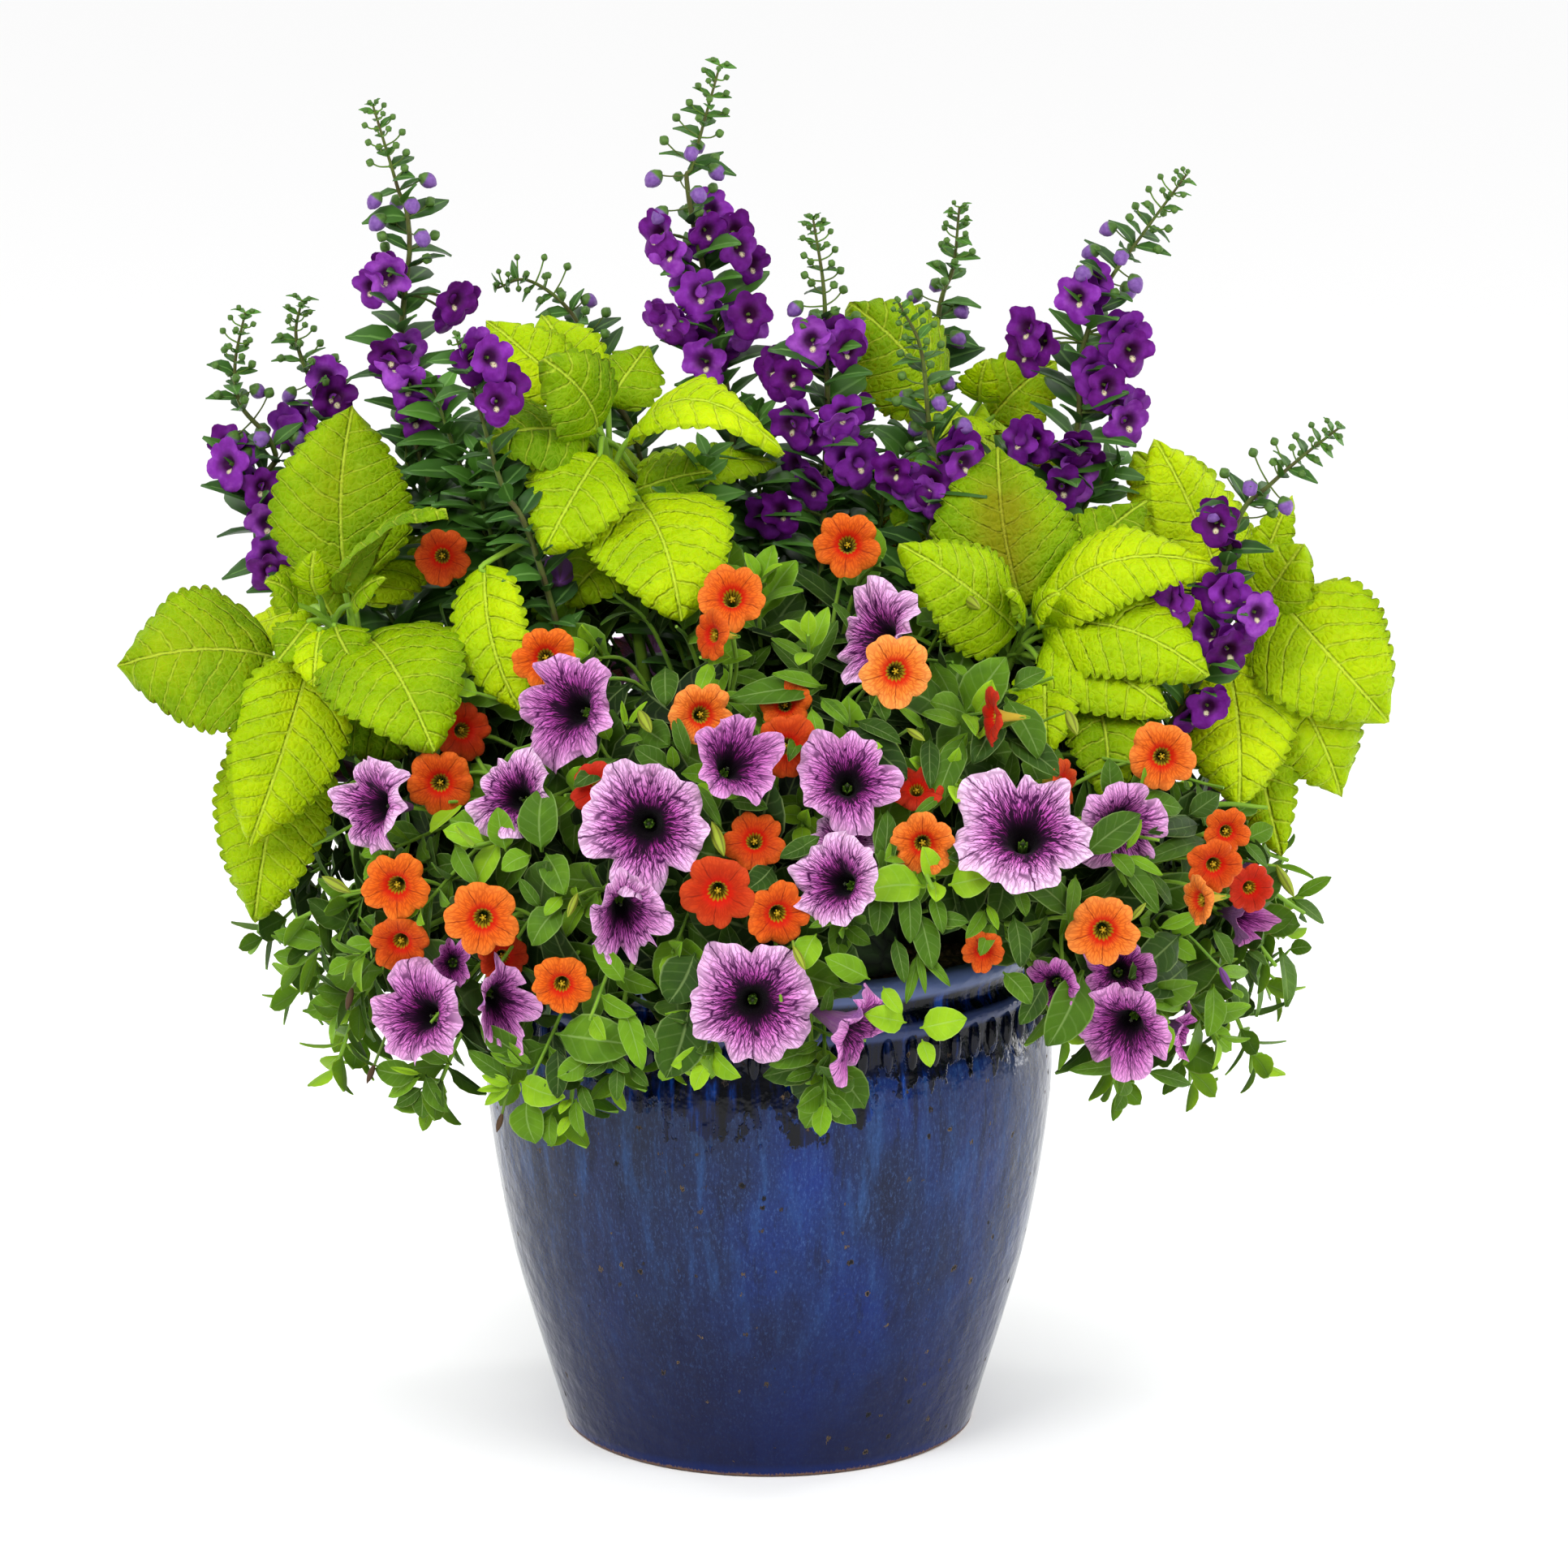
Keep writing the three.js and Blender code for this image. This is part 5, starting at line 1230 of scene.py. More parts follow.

# %% [markdown]
# ## Coleus
# Coleus leaves are the largest and the brightest: broad, pointed, with rounded teeth along the
# margin and a surface that is quilted between sunken side veins. The outline, the teeth and the
# quilting follow a rule of the distance along the rib, so the mesh is worked out station by
# station, four to each tooth. Where each leaf goes is listed: where its blade starts and
# ends, as across, up and depth, its half width, its arch and its roll.

# %% Coleus places
COLEUS = [
    ("coleus_left", (-92, -18), (-219, 398, -28), [
        ((-243, 378, -32), (-321, 374, -52), 38, 0.14),
        ((-225, 380, -40), (-256, 285, -64), 27, 0.12, -14),
        ((-235, 350, -20), (-254, 247, -44), 28, 0.06),
        ((-198, 388, -44), (-165, 333, -112), 35, 0.14), ((-209, 416, -22), (-205, 502, 4), 33, 0.04),
        ((-209, 412, -36), (-159, 451, -70), 22, 0.14, -50), ((-222, 408, -40), (-224, 430, -64), 9),
        ((-206, 404, -44), (-190, 418, -66), 8), ((-232, 404, -40), (-247, 416, -58), 9),
        ((-216, 352, -8), (-234, 330, 14), 15), ((-210, 350, -16), (-178, 330, -34), 17),
        ((-204, 408, -6), (-170, 438, 30), 20), ((-226, 402, 0), (-274, 372, 26), 20, 0.14, 30),
        ((-214, 396, 6), (-240, 426, 34), 22), ((-226, 396, -44), (-242, 376, -62), 12),
        ((-214, 394, -48), (-204, 374, -70), 13), ((-221, 392, -50), (-224, 364, -74), 12)]),
    ("coleus_centre_left", (-40, 2), (-82, 486, -16), [
        ((-83, 478, -30), (-111, 430, -70), 25, 0.12),
        ((-84, 490, -22), (-110, 525, -50), 22, 0.12, -10),
        ((-89, 487, -16), (-141, 486, -51), 20, 0.14), ((-68, 486, -20), (7, 482, -52), 20, 0.34, -20),
        ((-64, 456, -30), (-43, 397, -84), 34, 0.12), ((-70, 430, -16), (-100, 404, -44), 17),
        ((-66, 470, 0), (5, 474, 22), 15, 0.1, -20), ((-96, 508, -2), (-139, 545, 14), 18),
        ((-88, 512, 2), (-112, 548, 40), 17), ((-79, 504, 0), (-59, 532, 27), 17),
        ((-66, 460, -8), (-28, 470, -15), 14), ((-140, 424, -60), (-122, 350, -92), 18, 0.06, 25),
        ((-82, 484, 4), (-92, 462, 78), 27, 0.14, 60)]),
    ("coleus_right", (62, -24), (127, 394, -36), [
        ((125, 402, -34), (113, 482, -14), 36, 0.04), ((122, 392, -44), (67, 434, -78), 25, 0.12, -10),
        ((131, 398, -40), (221, 424, -58), 24, 0.2, -10), ((134, 393, -48), (217, 369, -78), 25, 0.16),
        ((137, 389, -50), (199, 351, -84), 23), ((118, 388, -28), (71, 412, -20), 20),
        ((124, 398, -52), (120, 412, -76), 9), ((131, 396, -54), (142, 410, -72), 9),
        ((136, 372, -60), (137, 330, -100), 15, 0.08), ((160, 362, -60), (167, 308, -100), 18, 0.08),
        ((141, 400, -20), (187, 398, -8), 15), ((138, 410, -20), (186, 456, -8), 18),
        ((134, 398, -14), (172, 386, 58), 22, 0.14, 60)]),
    ("coleus_far_right", (98, 4), (233, 390, -4), [
        ((228, 400, 4), (191, 486, 12), 25, 0.06), ((224, 384, -14), (232, 304, -56), 30),
        ((237, 396, 0), (263, 434, -14), 23, 0.08), ((250, 408, -4), (306, 346, -30), 34, 0.24, 20),
        ((242, 384, -10), (283, 309, -23), 28, 0.14, 10), ((240, 366, -12), (253, 280, -39), 17, 0.04),
        ((230, 372, -18), (231, 336, -39), 13, 0.06), ((240, 410, 6), (258, 458, 11), 10),
        ((238, 388, 12), (262, 364, 84), 28, 0.14, 50), ((226, 388, 14), (204, 372, 84), 27, 0.14, 60),
        ((212, 430, 34), (180, 480, 52), 24)]),
    ("coleus_back", (44, 84), (98, 496, 66), [
        ((84, 504, 60), (40, 553, 44), 27, 0.12), ((97, 494, 54), (84, 486, 6), 20, 0.14),
        ((104, 504, 60), (107, 524, 40), 10), ((110, 496, 66), (142, 524, 70), 20),
        ((86, 500, 62), (46, 510, 52), 13), ((92, 474, 56), (66, 434, 12), 18),
        ((102, 488, 76), (112, 458, 142), 28, 0.14, 60), ((80, 470, 56), (44, 430, 40), 24),
        ((108, 470, 60), (156, 446, 48), 22)]),
]
ARCH_AND_ROLL = (0.1, 0)  # for a leaf whose row gives none
ROOT_HEIGHT = 226.0
LEAF_STEPS = 6
TOWARDS_LIGHT = np.array([0, -0.75, 0.66])
TOWARDS_FRONT = np.array([0, -1.0, 0])
TOOTH_LENGTH = 6.2
TOOTH_RISE = 2.6
VEIN_SPACING = 10.5
VEIN_SLANT, VEIN_CURVE = 0.35, 0.012  # how far a side vein runs forward, per mm and square mm
VEIN_STAGGER = 3.0
COLEUS_COLUMNS = np.array([
    -1, -0.94, -0.8, -0.62, -0.42, -0.22, -0.07, 0.07, 0.22, 0.42, 0.62, 0.8, 0.94, 1])


def turned_about(vector, axis, degrees):
    """A vector turned about an axis."""
    a = radians(degrees)
    return (vector * cos(a) + np.cross(axis, vector) * sin(a)
            + axis * (axis @ vector) * (1 - cos(a)))


def coleus_leaf(base, tip, half, arch, roll, rng):
    """The closed form of a coleus leaf and how its points lie: along, across and half width in mm."""
    length = np.linalg.norm(tip - base)
    teeth = max(int(length / TOOTH_LENGTH), 5)
    share = np.linspace(0, 1, 4 * teeth + 1)
    along = unit(tip - base)
    up = turned_about(TOWARDS_LIGHT, along, roll)
    up = unit(up - along * (up @ along))
    droop = rng.uniform(0.0, 0.06) * length * np.clip((share - 0.72) / 0.28, 0, 1) ** 2
    sweep = rng.uniform(-0.05, 0.05) * length * np.sin(pi * share)
    across = np.cross(up, along)
    rise = arch * length * 4 * share * (1 - share) - droop
    rib = base + np.outer(share, tip - base) + np.outer(rise, up) + np.outer(sweep, across)
    slope = unit(np.gradient(rib, axis=0))
    side = unit(np.cross(up, slope))
    upward = np.cross(slope, side)
    width = np.maximum(half * np.abs(np.sin(pi * share**0.7)) ** 0.7, 0.4)[:, None]
    tooth = TOOTH_RISE * np.abs(np.sin(pi * share * teeth)) ** 0.6
    tooth = (tooth * np.clip(width[:, 0] / 12, 0, 1))[:, None]
    columns = COLEUS_COLUMNS
    reach = width + tooth * np.abs(columns) ** 8
    lateral = reach * columns
    far = share[:, None] * length
    off = np.abs(lateral)
    slant = (far - off * (VEIN_SLANT + VEIN_CURVE * off) + VEIN_STAGGER * (columns > 0)) / VEIN_SPACING
    quilt = np.abs(np.sin(pi * slant)) ** 0.55 * np.sin(pi * np.clip(np.abs(columns), 0, 1)) ** 0.6
    big = min(half / 24, 1.2)
    wave = rng.uniform(0, tau, 2)
    fold = rng.uniform(-0.06, 0.2)
    droops = rng.uniform(0.10, 0.34, 2)  # how far each half hangs at its margin
    lift = (fold * off + 2.3 * big * quilt - 1.0 * big * np.exp(-((lateral / 1.8) ** 2))
            - half * np.where(columns > 0, *droops) * np.abs(columns) ** 2.2
            + 0.07 * half * np.abs(columns) ** 2.5
            * np.sin(far / length * 9 + wave[0] + 1.3 * np.sign(columns))
            + 0.03 * half * np.abs(columns) ** 4 * np.sin(far / length * 23 + wave[1]))
    rings = blade_rings(rib, side, upward, reach, columns, lift, 0.45)
    lie = np.stack([far + 0 * lateral, lateral, width + 0 * lateral], -1)
    low = lie[:, -2:0:-1] + [1000, 0, 0]
    return skin(rings), np.concatenate([lie, low], axis=1).reshape(-1, 3)


print(sum(len(leaves) for *_, leaves in COLEUS), "coleus leaves")

# %% [markdown]
# A lime coleus leaf is nearly the same green all over, yellower towards the light and duller
# beneath. Its veins are paler and sunken, the quilted fields between them catch the light, and some
# old leaves have a brownish blush in the middle. A fine net of veins, 2 to 3 mm, wrinkles each
# field. The side veins come from the distances along and across that every point carries.

# %% Coleus material


def coleus_finish():
    material, n = new_material(
        "lime_coleus_leaf", Roughness=0.55, Specular_IOR_Level=0.06,
        Subsurface_Weight=0.1, Subsurface_Scale=2 * MM)
    mm = place_in_mm(n)
    lie, tone = lie_and(n, "tone")
    under = n("Math.GREATER_THAN", [lie.outputs["X"], 900])
    along = n("Math.MULTIPLY_ADD", [under, -1000, lie.outputs["X"]])
    lateral = lie.outputs["Y"]
    off = n("Math.ABSOLUTE", [lateral])
    right = n("Math.GREATER_THAN", [lateral, 0])
    drift = n("TexNoise", {"Vector": mm, "Scale": 0.12})
    bent = n("Math.MULTIPLY_ADD", [drift, 4, along])
    curved = n("Math.MULTIPLY_ADD", [off, VEIN_CURVE, VEIN_SLANT])
    slant = n("Math.SUBTRACT", [bent, n("Math.MULTIPLY", [off, curved])])
    other = n("Math.MULTIPLY_ADD", [right, VEIN_STAGGER, slant])
    comb = n("Math.PINGPONG", [other, VEIN_SPACING / 2])
    side_vein = n("MapRange", [comb, 0.95, 0.15, 0, 0.75])
    rib = n("MapRange", [off, 1.3, 0.45])
    place = n("CombineXYZ", [along, lateral, 0])
    net = n("TexVoronoi", {"Vector": place, "Scale": 0.34}, feature="DISTANCE_TO_EDGE")
    fine = n("MapRange", [net, 0.12, 0.02, 0, 0.16])
    large = n("Math.MAXIMUM", [rib, side_vein])
    veins = n("Math.MAXIMUM", [large, fine])
    patch = n("TexNoise", {"Vector": mm, "Scale": 0.03, "Detail": 4})
    shade = n("Math.MULTIPLY_ADD", [patch, 0.9, n("Math.MULTIPLY_ADD", [tone, 0.6, -0.25])])
    greens = n("ValToRGB", [shade], stops=[
        (0.1, "#5C8200"), (0.95, "#BAD004"), (0.35, "#7C9E00"), (0.62, "#9ABA00")])
    # the middle of each small field bulges and is a little deeper in colour than the veins
    pale = n("Mix", {0: n("Math.MULTIPLY", [veins, 0.6]), 6: greens, 7: "#C0D440"})
    # the blush of an old leaf spreads from its middle
    blush = n("Attribute", attribute_name="blush").outputs["Fac"]
    near = n("Math.DIVIDE", [off, lie.outputs["Z"]])
    heart_of = n("MapRange", [near, 0.85, 0.1], **SMOOTH)
    cloud = n("MapRange", [patch, 0.42, 0.62, 0.2, 1])
    browned = n("Math.MULTIPLY", [n("Math.MULTIPLY", [heart_of, cloud]), blush])
    blushed = n("Mix", {0: n("Math.MULTIPLY", [browned, 0.7]), 6: pale, 7: "#74560C"})
    edged = layer(n, blushed, "#5C7A08", near, 0.93, 1, 0.4)
    below = n("Mix", {0: 0.3, 6: edged, 7: "#8CAE2A"})
    whole = n("Mix", {0: under, 6: edged, 7: below})
    grooves = relief(n, net, 0.9, 1.5, large, 0.9, 1.3)
    return paint(material, {"Base Color": whole, "Normal": grooves})


coleus_material = coleus_finish()
BLUSHING = {("coleus_right", 0): 0.85, ("coleus_left", 4): 0.35, ("coleus_left", 0): 0.2}

# %% Coleus plants
coleus_stems = Stems()
coleus_points = []
for name, foot, crown, leaves in COLEUS:
    rng = np.random.default_rng(len(name))
    top = at(*crown)
    root = np.array([*foot, ROOT_HEIGHT])
    elbow = (root + top) / 2 + UP * 14
    lowest = elbow + (top - elbow) * 0.66
    coleus_stems.add([root, elbow, top], [3.5, 3.2, 2.4], steps=6, tint=0.8)
    heap = Heap()
    for i, (base, tip, half, *bent) in enumerate(leaves):
        arch, roll = (*bent, *ARCH_AND_ROLL[len(bent):])
        start, end = at(*base), at(*tip)
        joint = top + (lowest - top) * (i % LEAF_STEPS) / LEAF_STEPS
        form, lie = coleus_leaf(start, end, half, arch, roll, rng)
        heap.add(form, lie=lie, tone=rng.uniform(0, 1), blush=BLUSHING.get((name, i), 0.0))
        into = start + (end - start) * 0.06
        coleus_stems.add([joint, (joint + start) / 2 + UP * 3, start, into], [1.7, 1.5, 1.4, 0.8],
                         tint=0.9)
        coleus_points.append(form[0])
    stand(f"{name}_leaves", heap.mesh(f"{name}_leaves"), coleus_material, "coleus_leaf", name)
coleus_stems.grow("coleus_stems", stem_material, "coleus_leaf")

# %% [markdown]
# ## Angelonia
# Each angelonia stem is a tall thin spike. From the middle up to below the tip it carries violet
# flowers on short stalks; above them come drooping purple buds, then round green buds on thin
# curved stalks, smaller and smaller towards the tip, with dark leaves in pairs between. A flower
# has five unequal round lobes, the lowest the largest, with deep gaps between them and a pale spot
# in its throat. Four shapes of flower, two of bud and two of leaf are modelled once and set out by
# the tree.

# %% Angelonia flower, bud and leaf
FLORET_LOBES = [  # bearing in degrees, distance of the middle, radius, lean forwards
    (62, 0.5, 0.32, 0.3), (118, 0.5, 0.32, 0.3), (-4, 0.54, 0.33, 0.0), (184, 0.54, 0.33, 0.0),
    (270, 0.5, 0.5, -0.22),
]


def floret_heap(seed):
    """A flower of reach one that faces +Y, its upper side towards +Z."""
    rng = np.random.default_rng(seed)
    steps = 32
    turn = all_round(steps)
    margin, lean = np.full(steps, 0.34), np.zeros(steps)
    for bearing, middle, wide, forwards in FLORET_LOBES:
        off = turn - radians(bearing + rng.uniform(-7, 7))
        middle, wide = middle * rng.uniform(0.92, 1.08), wide * rng.uniform(0.92, 1.08)
        rest = wide**2 - (middle * np.sin(off)) ** 2
        edge = np.where((rest > 0) & (np.cos(off) > 0),
                        middle * np.cos(off) + np.sqrt(np.maximum(rest, 0)), 0)
        lean = np.where(edge > margin, forwards + rng.uniform(-0.12, 0.12), lean)
        margin = np.maximum(margin, edge)
    lean = (lean + np.roll(lean, 1) + np.roll(lean, -1)) / 3
    rho = np.array([0.07, 0.19, 0.31, 0.46, 0.64, 0.83, 1.0])[:, None]
    out = np.clip((rho - 0.18) / 0.82, 0, 1)
    r = rho * (1 - (1 - margin) * out**0.8)
    cup = -0.42 * np.exp(-((rho / 0.2) ** 2)) + lean * out**1.4 + 0.07 * out * np.sin(5 * turn + seed)
    front = np.stack([r * np.cos(turn), cup + 0 * r, r * np.sin(turn)], -1)
    front[3, :, 1] += 0.09 * np.exp(-(((turn - 1.5 * pi) / 0.3) ** 2))  # a small boss below the throat
    back = front[[6, 4, 2, 0]] - [0, 0.05, 0]
    back[2:, :, 1] -= np.array([0.16, 0.4])[:, None]
    spread = np.stack([rho * np.cos(turn), rho * np.sin(turn), 0 * rho + 0 * turn], -1)
    heap = Heap()
    heap.add(skin(np.concatenate([front, back])),
             lie=np.concatenate([spread, spread[[6, 4, 2, 0]] + [0, 0, 1]]).reshape(-1, 3))
    return heap


def bud_heap(length, pointed, steps=6):
    """A closed bud of width one that grows along +Y."""
    heap = Heap()
    share = np.linspace(0, 1, 7)
    width = 0.5 * np.sin(pi * np.clip(share * 0.96 + 0.02, 0, 1)) ** (0.6 if not pointed else 0.8)
    turn = all_round(steps)
    rings = turned(zip(width, share * length), steps)[..., [0, 2, 1]]
    level = share[:, None] + 0 * turn
    lie = np.stack([level, turn / 6.2832 + 0 * level, 0 * level], -1)
    heap.add(skin(rings), lie=lie.reshape(-1, 3))
    return heap


print("angelonia shapes ready")

# %% Angelonia materials


def angelonia_flower_finish():
    material, n = new_material(
        "angelonia_petal_violet", Roughness=0.5, Specular_IOR_Level=0.1,
        Subsurface_Weight=0.06, Subsurface_Scale=1.5 * MM)
    mm = place_in_mm(n)
    lie, tint = lie_and(n, "tint")
    cloud = n("TexNoise", {"Vector": mm, "Scale": 0.22, "Detail": 3})
    own = n("Math.MULTIPLY_ADD", [tint, 0.6, -0.1])
    violets = n("ValToRGB", [n("Math.MULTIPLY_ADD", [cloud, 0.6, own])],
        stops=[(0.1, "#44084E"), (0.95, "#A252BE"), (0.35, "#5E1072"), (0.65, "#7A2898")])
    r = n("VectorMath.LENGTH", [n("CombineXYZ", [lie.outputs["X"], lie.outputs["Y"]])])
    throat = layer(n, violets, "#24050F", r, 0.55, 0.22, 0.85)
    # the pale spot lies in the lower half of the throat, with maroon specks on it
    below = n("Math.ADD", [lie.outputs["Y"], 0.3])
    spot_r = n("VectorMath.LENGTH", [n("CombineXYZ", [lie.outputs["X"], below])])
    spot = n("MapRange", [spot_r, 0.13, 0.06, 0, 0.9])
    specks = n("TexVoronoi", {"Vector": mm, "Scale": 1})
    white = layer(n, "#CFC9A0", "#7A1C3A", specks, 0.4, 0.3, 0.8)
    faced = n("Mix", {0: spot, 6: throat, 7: white})
    back = n("Mix", {0: 0.3, 6: violets, 7: "#7C4C9A"})
    whole = n("Mix", {0: lie.outputs["Z"], 6: faced, 7: back})
    soft = n("Bump", {"Height": cloud, "Strength": 0.5, "Distance": 0.8 * MM})
    return paint(material, {"Base Color": whole, "Normal": soft})


def bud_finish():
    material, n = new_material("angelonia_bud", Roughness=0.5, Specular_IOR_Level=0.3)
    lie, tint = lie_and(n, "tint")
    mm = place_in_mm(n)
    cloud = n("TexNoise", {"Vector": mm, "Scale": 0.5})
    petal = n("Mix", {0: cloud, 6: "#4A1C72", 7: "#8A62AA"})
    green = n("Mix", {0: cloud, 6: "#26461A", 7: "#5E842E"})
    open_part = n("MapRange", [lie.outputs["X"], 0.3, 0.42])
    shown = n("Math.MULTIPLY", [open_part, tint])
    whole = n("Mix", {0: shown, 6: green, 7: petal})
    return paint(material, {"Base Color": whole})


def dark_leaf_finish():
    material, n = new_material("angelonia_leaf", Roughness=0.45, Specular_IOR_Level=0.3)
    lie, tint = lie_and(n, "tint")
    off = n("Math.ABSOLUTE", [lie.outputs["Y"]])
    rib = n("MapRange", [off, 0.16, 0.03, 0, 0.7])
    green = n("Mix", {0: tint, 6: "#1A3A14", 7: "#4E8028"})
    ribbed = n("Mix", {0: rib, 6: green, 7: "#6E9A4C"})
    return paint(material, {"Base Color": ribbed})


LANCE_OUTLINE = [(0.0, 0.10), (0.14, 0.6), (0.34, 1.0), (0.6, 0.88), (0.82, 0.5), (1.0, 0.04)]
FLORET_FORMS = [floret_heap(seed) for seed in range(4)]
BUD_FORMS = [bud_heap(1.25, False), bud_heap(1.05, True)]
SPIKE_LEAF_FORMS = [blade_heap(0.23, 0.16, 0.45, outline=LANCE_OUTLINE),
                    blade_heap(0.29, 0.34, 0.4, bend=0.06, outline=LANCE_OUTLINE)]
print("angelonia forms ready")

# %% [markdown]
# Between the open trumpets are a few closed ones: thin furled tubes, yellow-green with darker
# lines, purple where they are about to open, and brown where they have dried. A row gives where the
# bud starts and ends, as across and up, and its colour.

# %% Closed buds


def furled_finish():
    material, n = new_material("furled_trumpet", Roughness=0.6, Specular_IOR_Level=0.2)
    lie, tint = lie_and(n, "tint")
    colour = n("ValToRGB", [tint], stops=[(0, "#8E9E2A"), (1, "#4A3424"), (0.5, "#6A3A80")])
    ridge = n("Math.SINE", [n("Math.MULTIPLY", [lie.outputs["Y"], 5 * tau])])
    lined = layer(n, colour, "#46381A", ridge, 0.1, 0.9, 0.6)
    return paint(material, {"Base Color": lined})


CLOSED_BUDS = [
    (-28, 297, -22, 280, 0), (68, 343, 77, 337, 0), (250, 276, 259, 260, 0),
    (178, 248, 186, 257, 0), (-64, 352, -58, 341, 0), (-102, 426, -103, 415, 0.5),
    (-205, 216, -208, 204, 1), (-194, 178, -198, 168, 1), (-131, 154, -134, 144, 1),
    (147, 352, 152, 340, 0), (222, 226, 228, 214, 0.5), (-206, 262, -220, 270, 0),
    (12, 236, 18, 224, 0), (-94, 262, -99, 250, 0), (96, 408, 104, 402, 0),
]
closed_buds = Places()
for left, low, right, high, tint in CLOSED_BUDS:
    base, tip = on_mound(left, low, 10), on_mound(right, high, 16)
    way = unit(tip - base)
    closed_buds.add(base, way, side_of(way), np.linalg.norm(tip - base) / 3.4, tint=tint)
    seat = on_core(base)
    flower_stalks.add([base + way, (base + seat) / 2 + UP * 3, seat + (MOUND_CENTRE - seat) * 0.08],
                      [0.7, 0.7, 1.0], tint=0.8 - 0.5 * tint)
closed_buds.grow("closed_buds", [bud_heap(3.4, True, steps=10)], furled_finish(), "petunia_petal")
flower_stalks.grow("flower_stalks", stem_material, "trailing_leaf")

# %% [markdown]
# A row of the next list is one stem with flowers: its foot in the soil, how far back it stands, its
# line from the foliage to the tip, and its flowers, all seen from the front, across and up. Each
# flower in the row gets two more beside it, since they stand all round the stem. A leaf or a bud
# stands in the angle that the last pair left free.

# %% Angelonia places
SPIKES = [
    ((-62, 20), 16, [(-171, 474), (-177, 586), (-183, 610), (-195, 650)],
     [(-188, 566), (-154, 554), (-187, 526), (-177, 512), (-173, 496)]),
    ((-10, 40), 34, [(-17, 478), (-39, 602), (-37, 622), (-24, 670)],
     [(-30, 588), (-50, 578), (-14, 580), (-34, 558), (-9, 548), (-49, 544), (-32, 524)]),
    ((16, 18), 12, [(28, 470), (28, 534), (27, 562), (22, 594)],
     [(21, 534), (39, 530), (11, 516), (15, 497), (37, 498), (45, 474), (21, 462), (6, 450)]),
    ((10, 88), 98, [(74, 500), (85, 554), (91, 570), (94, 600)], []),
    ((32, 22), -6, [(81, 446), (79, 490), (75, 530), (64, 553)], [(77, 458), (61, 470), (97, 474)]),
    ((66, 32), 30, [(145, 462), (153, 522), (165, 558), (181, 582), (206, 616)],
     [(152, 556), (134, 534), (179, 529), (167, 512), (131, 486), (153, 482), (177, 494), (145, 462)]),
    ((92, -36), -52, [(206, 356), (222, 412), (233, 449), (247, 463), (263, 477), (281, 491)],
     [(220, 444), (200, 406), (227, 410), (241, 400), (227, 381), (217, 354)]),
    ((-88, 48), 44, [(-243, 430), (-243, 478), (-260, 502), (-263, 522), (-258, 548)],
     [(-249, 462), (-267, 474), (-247, 444), (-245, 420)]),
    ((-64, 68), 66, [(-205, 440), (-217, 496), (-229, 522), (-233, 538), (-230, 554)],
     [(-233, 488), (-214, 506)]),
    ((-30, 76), 58, [(-60, 460), (-77, 506), (-83, 522), (-99, 550), (-119, 564), (-134, 560)], []),
    ((-56, -30), -58, [(-111, 418), (-131, 462), (-143, 502), (-154, 536)], [(-137, 526), (-134, 504)]),
]
LEAFY_STEMS = [
    ((-62, 6), -14, [(-134, 430), (-144, 480)]), ((-70, 24), 20, [(-166, 440), (-180, 486)]),
    ((-50, 14), 6, [(-124, 436), (-130, 500)]),
    ((-46, 34), 24, [(-112, 446), (-124, 514)]), ((-72, 14), 20, [(-190, 404), (-204, 452)]),
    ((24, 44), 36, [(30, 440), (42, 496)]),
    ((6, 34), 24, [(-4, 446), (-6, 500)]), ((40, 46), 30, [(54, 436), (64, 476)]),
    ((76, 34), 36, [(146, 430), (172, 474)]), ((60, 50), 44, [(104, 440), (118, 480)]),
    ((-30, 0), -10, [(-40, 420), (-30, 478)]), ((-60, 10), 0, [(-140, 440), (-166, 512)]),
]
FLORET = 14.0
FLORET_AHEAD = 11.0
GOLDEN = radians(137.508)
BUDDING_TOP = 70.0
print(len(SPIKES), "stems with flowers,", len(LEAFY_STEMS), "without")

# %% Along a stem


def leaf_pair(along, k, swing, rng):
    """The ways that pair k of the leaves leaves a stem, a quarter turn from the pair before."""
    side = side_of(along)
    for sign in (0, 1):
        turn = k * pi / 2 + sign * pi + rng.uniform(-swing, swing)
        yield side * cos(turn) + np.cross(along, side) * sin(turn)


def line_from_tip(line):
    """The distances of the points of a line from its tip, and the points, from the tip down."""
    back = line[::-1]
    steps = np.linalg.norm(np.diff(back, axis=0), axis=1)
    return np.concatenate([[0], np.cumsum(steps)]), back


def spot_on(line, distance):
    """The point at a distance from the tip of a line, and the way that the stem runs there."""
    far, back = line_from_tip(line)
    point = np.array([np.interp(distance, far, back[:, i]) for i in range(3)])
    ahead_of = np.array([np.interp(distance + 3, far, back[:, i]) for i in range(3)])
    return point, unit(point - ahead_of)


def stem_corners(foot, depth, places):
    """A stem from its foot in the soil through places as they are seen from the front."""
    return [np.array([*foot, ROOT_HEIGHT]), *(at(*place, depth) for place in places)]


def leaf_upper(way, along, rng):
    """The upper side of a leaf: towards the tip of its stem, and more or less to the front."""
    upper = along + UP * 0.4 + TOWARDS_FRONT * rng.uniform(0.2, 1.3)
    return unit(upper - way * (upper @ way))


print("ways along a stem ready")

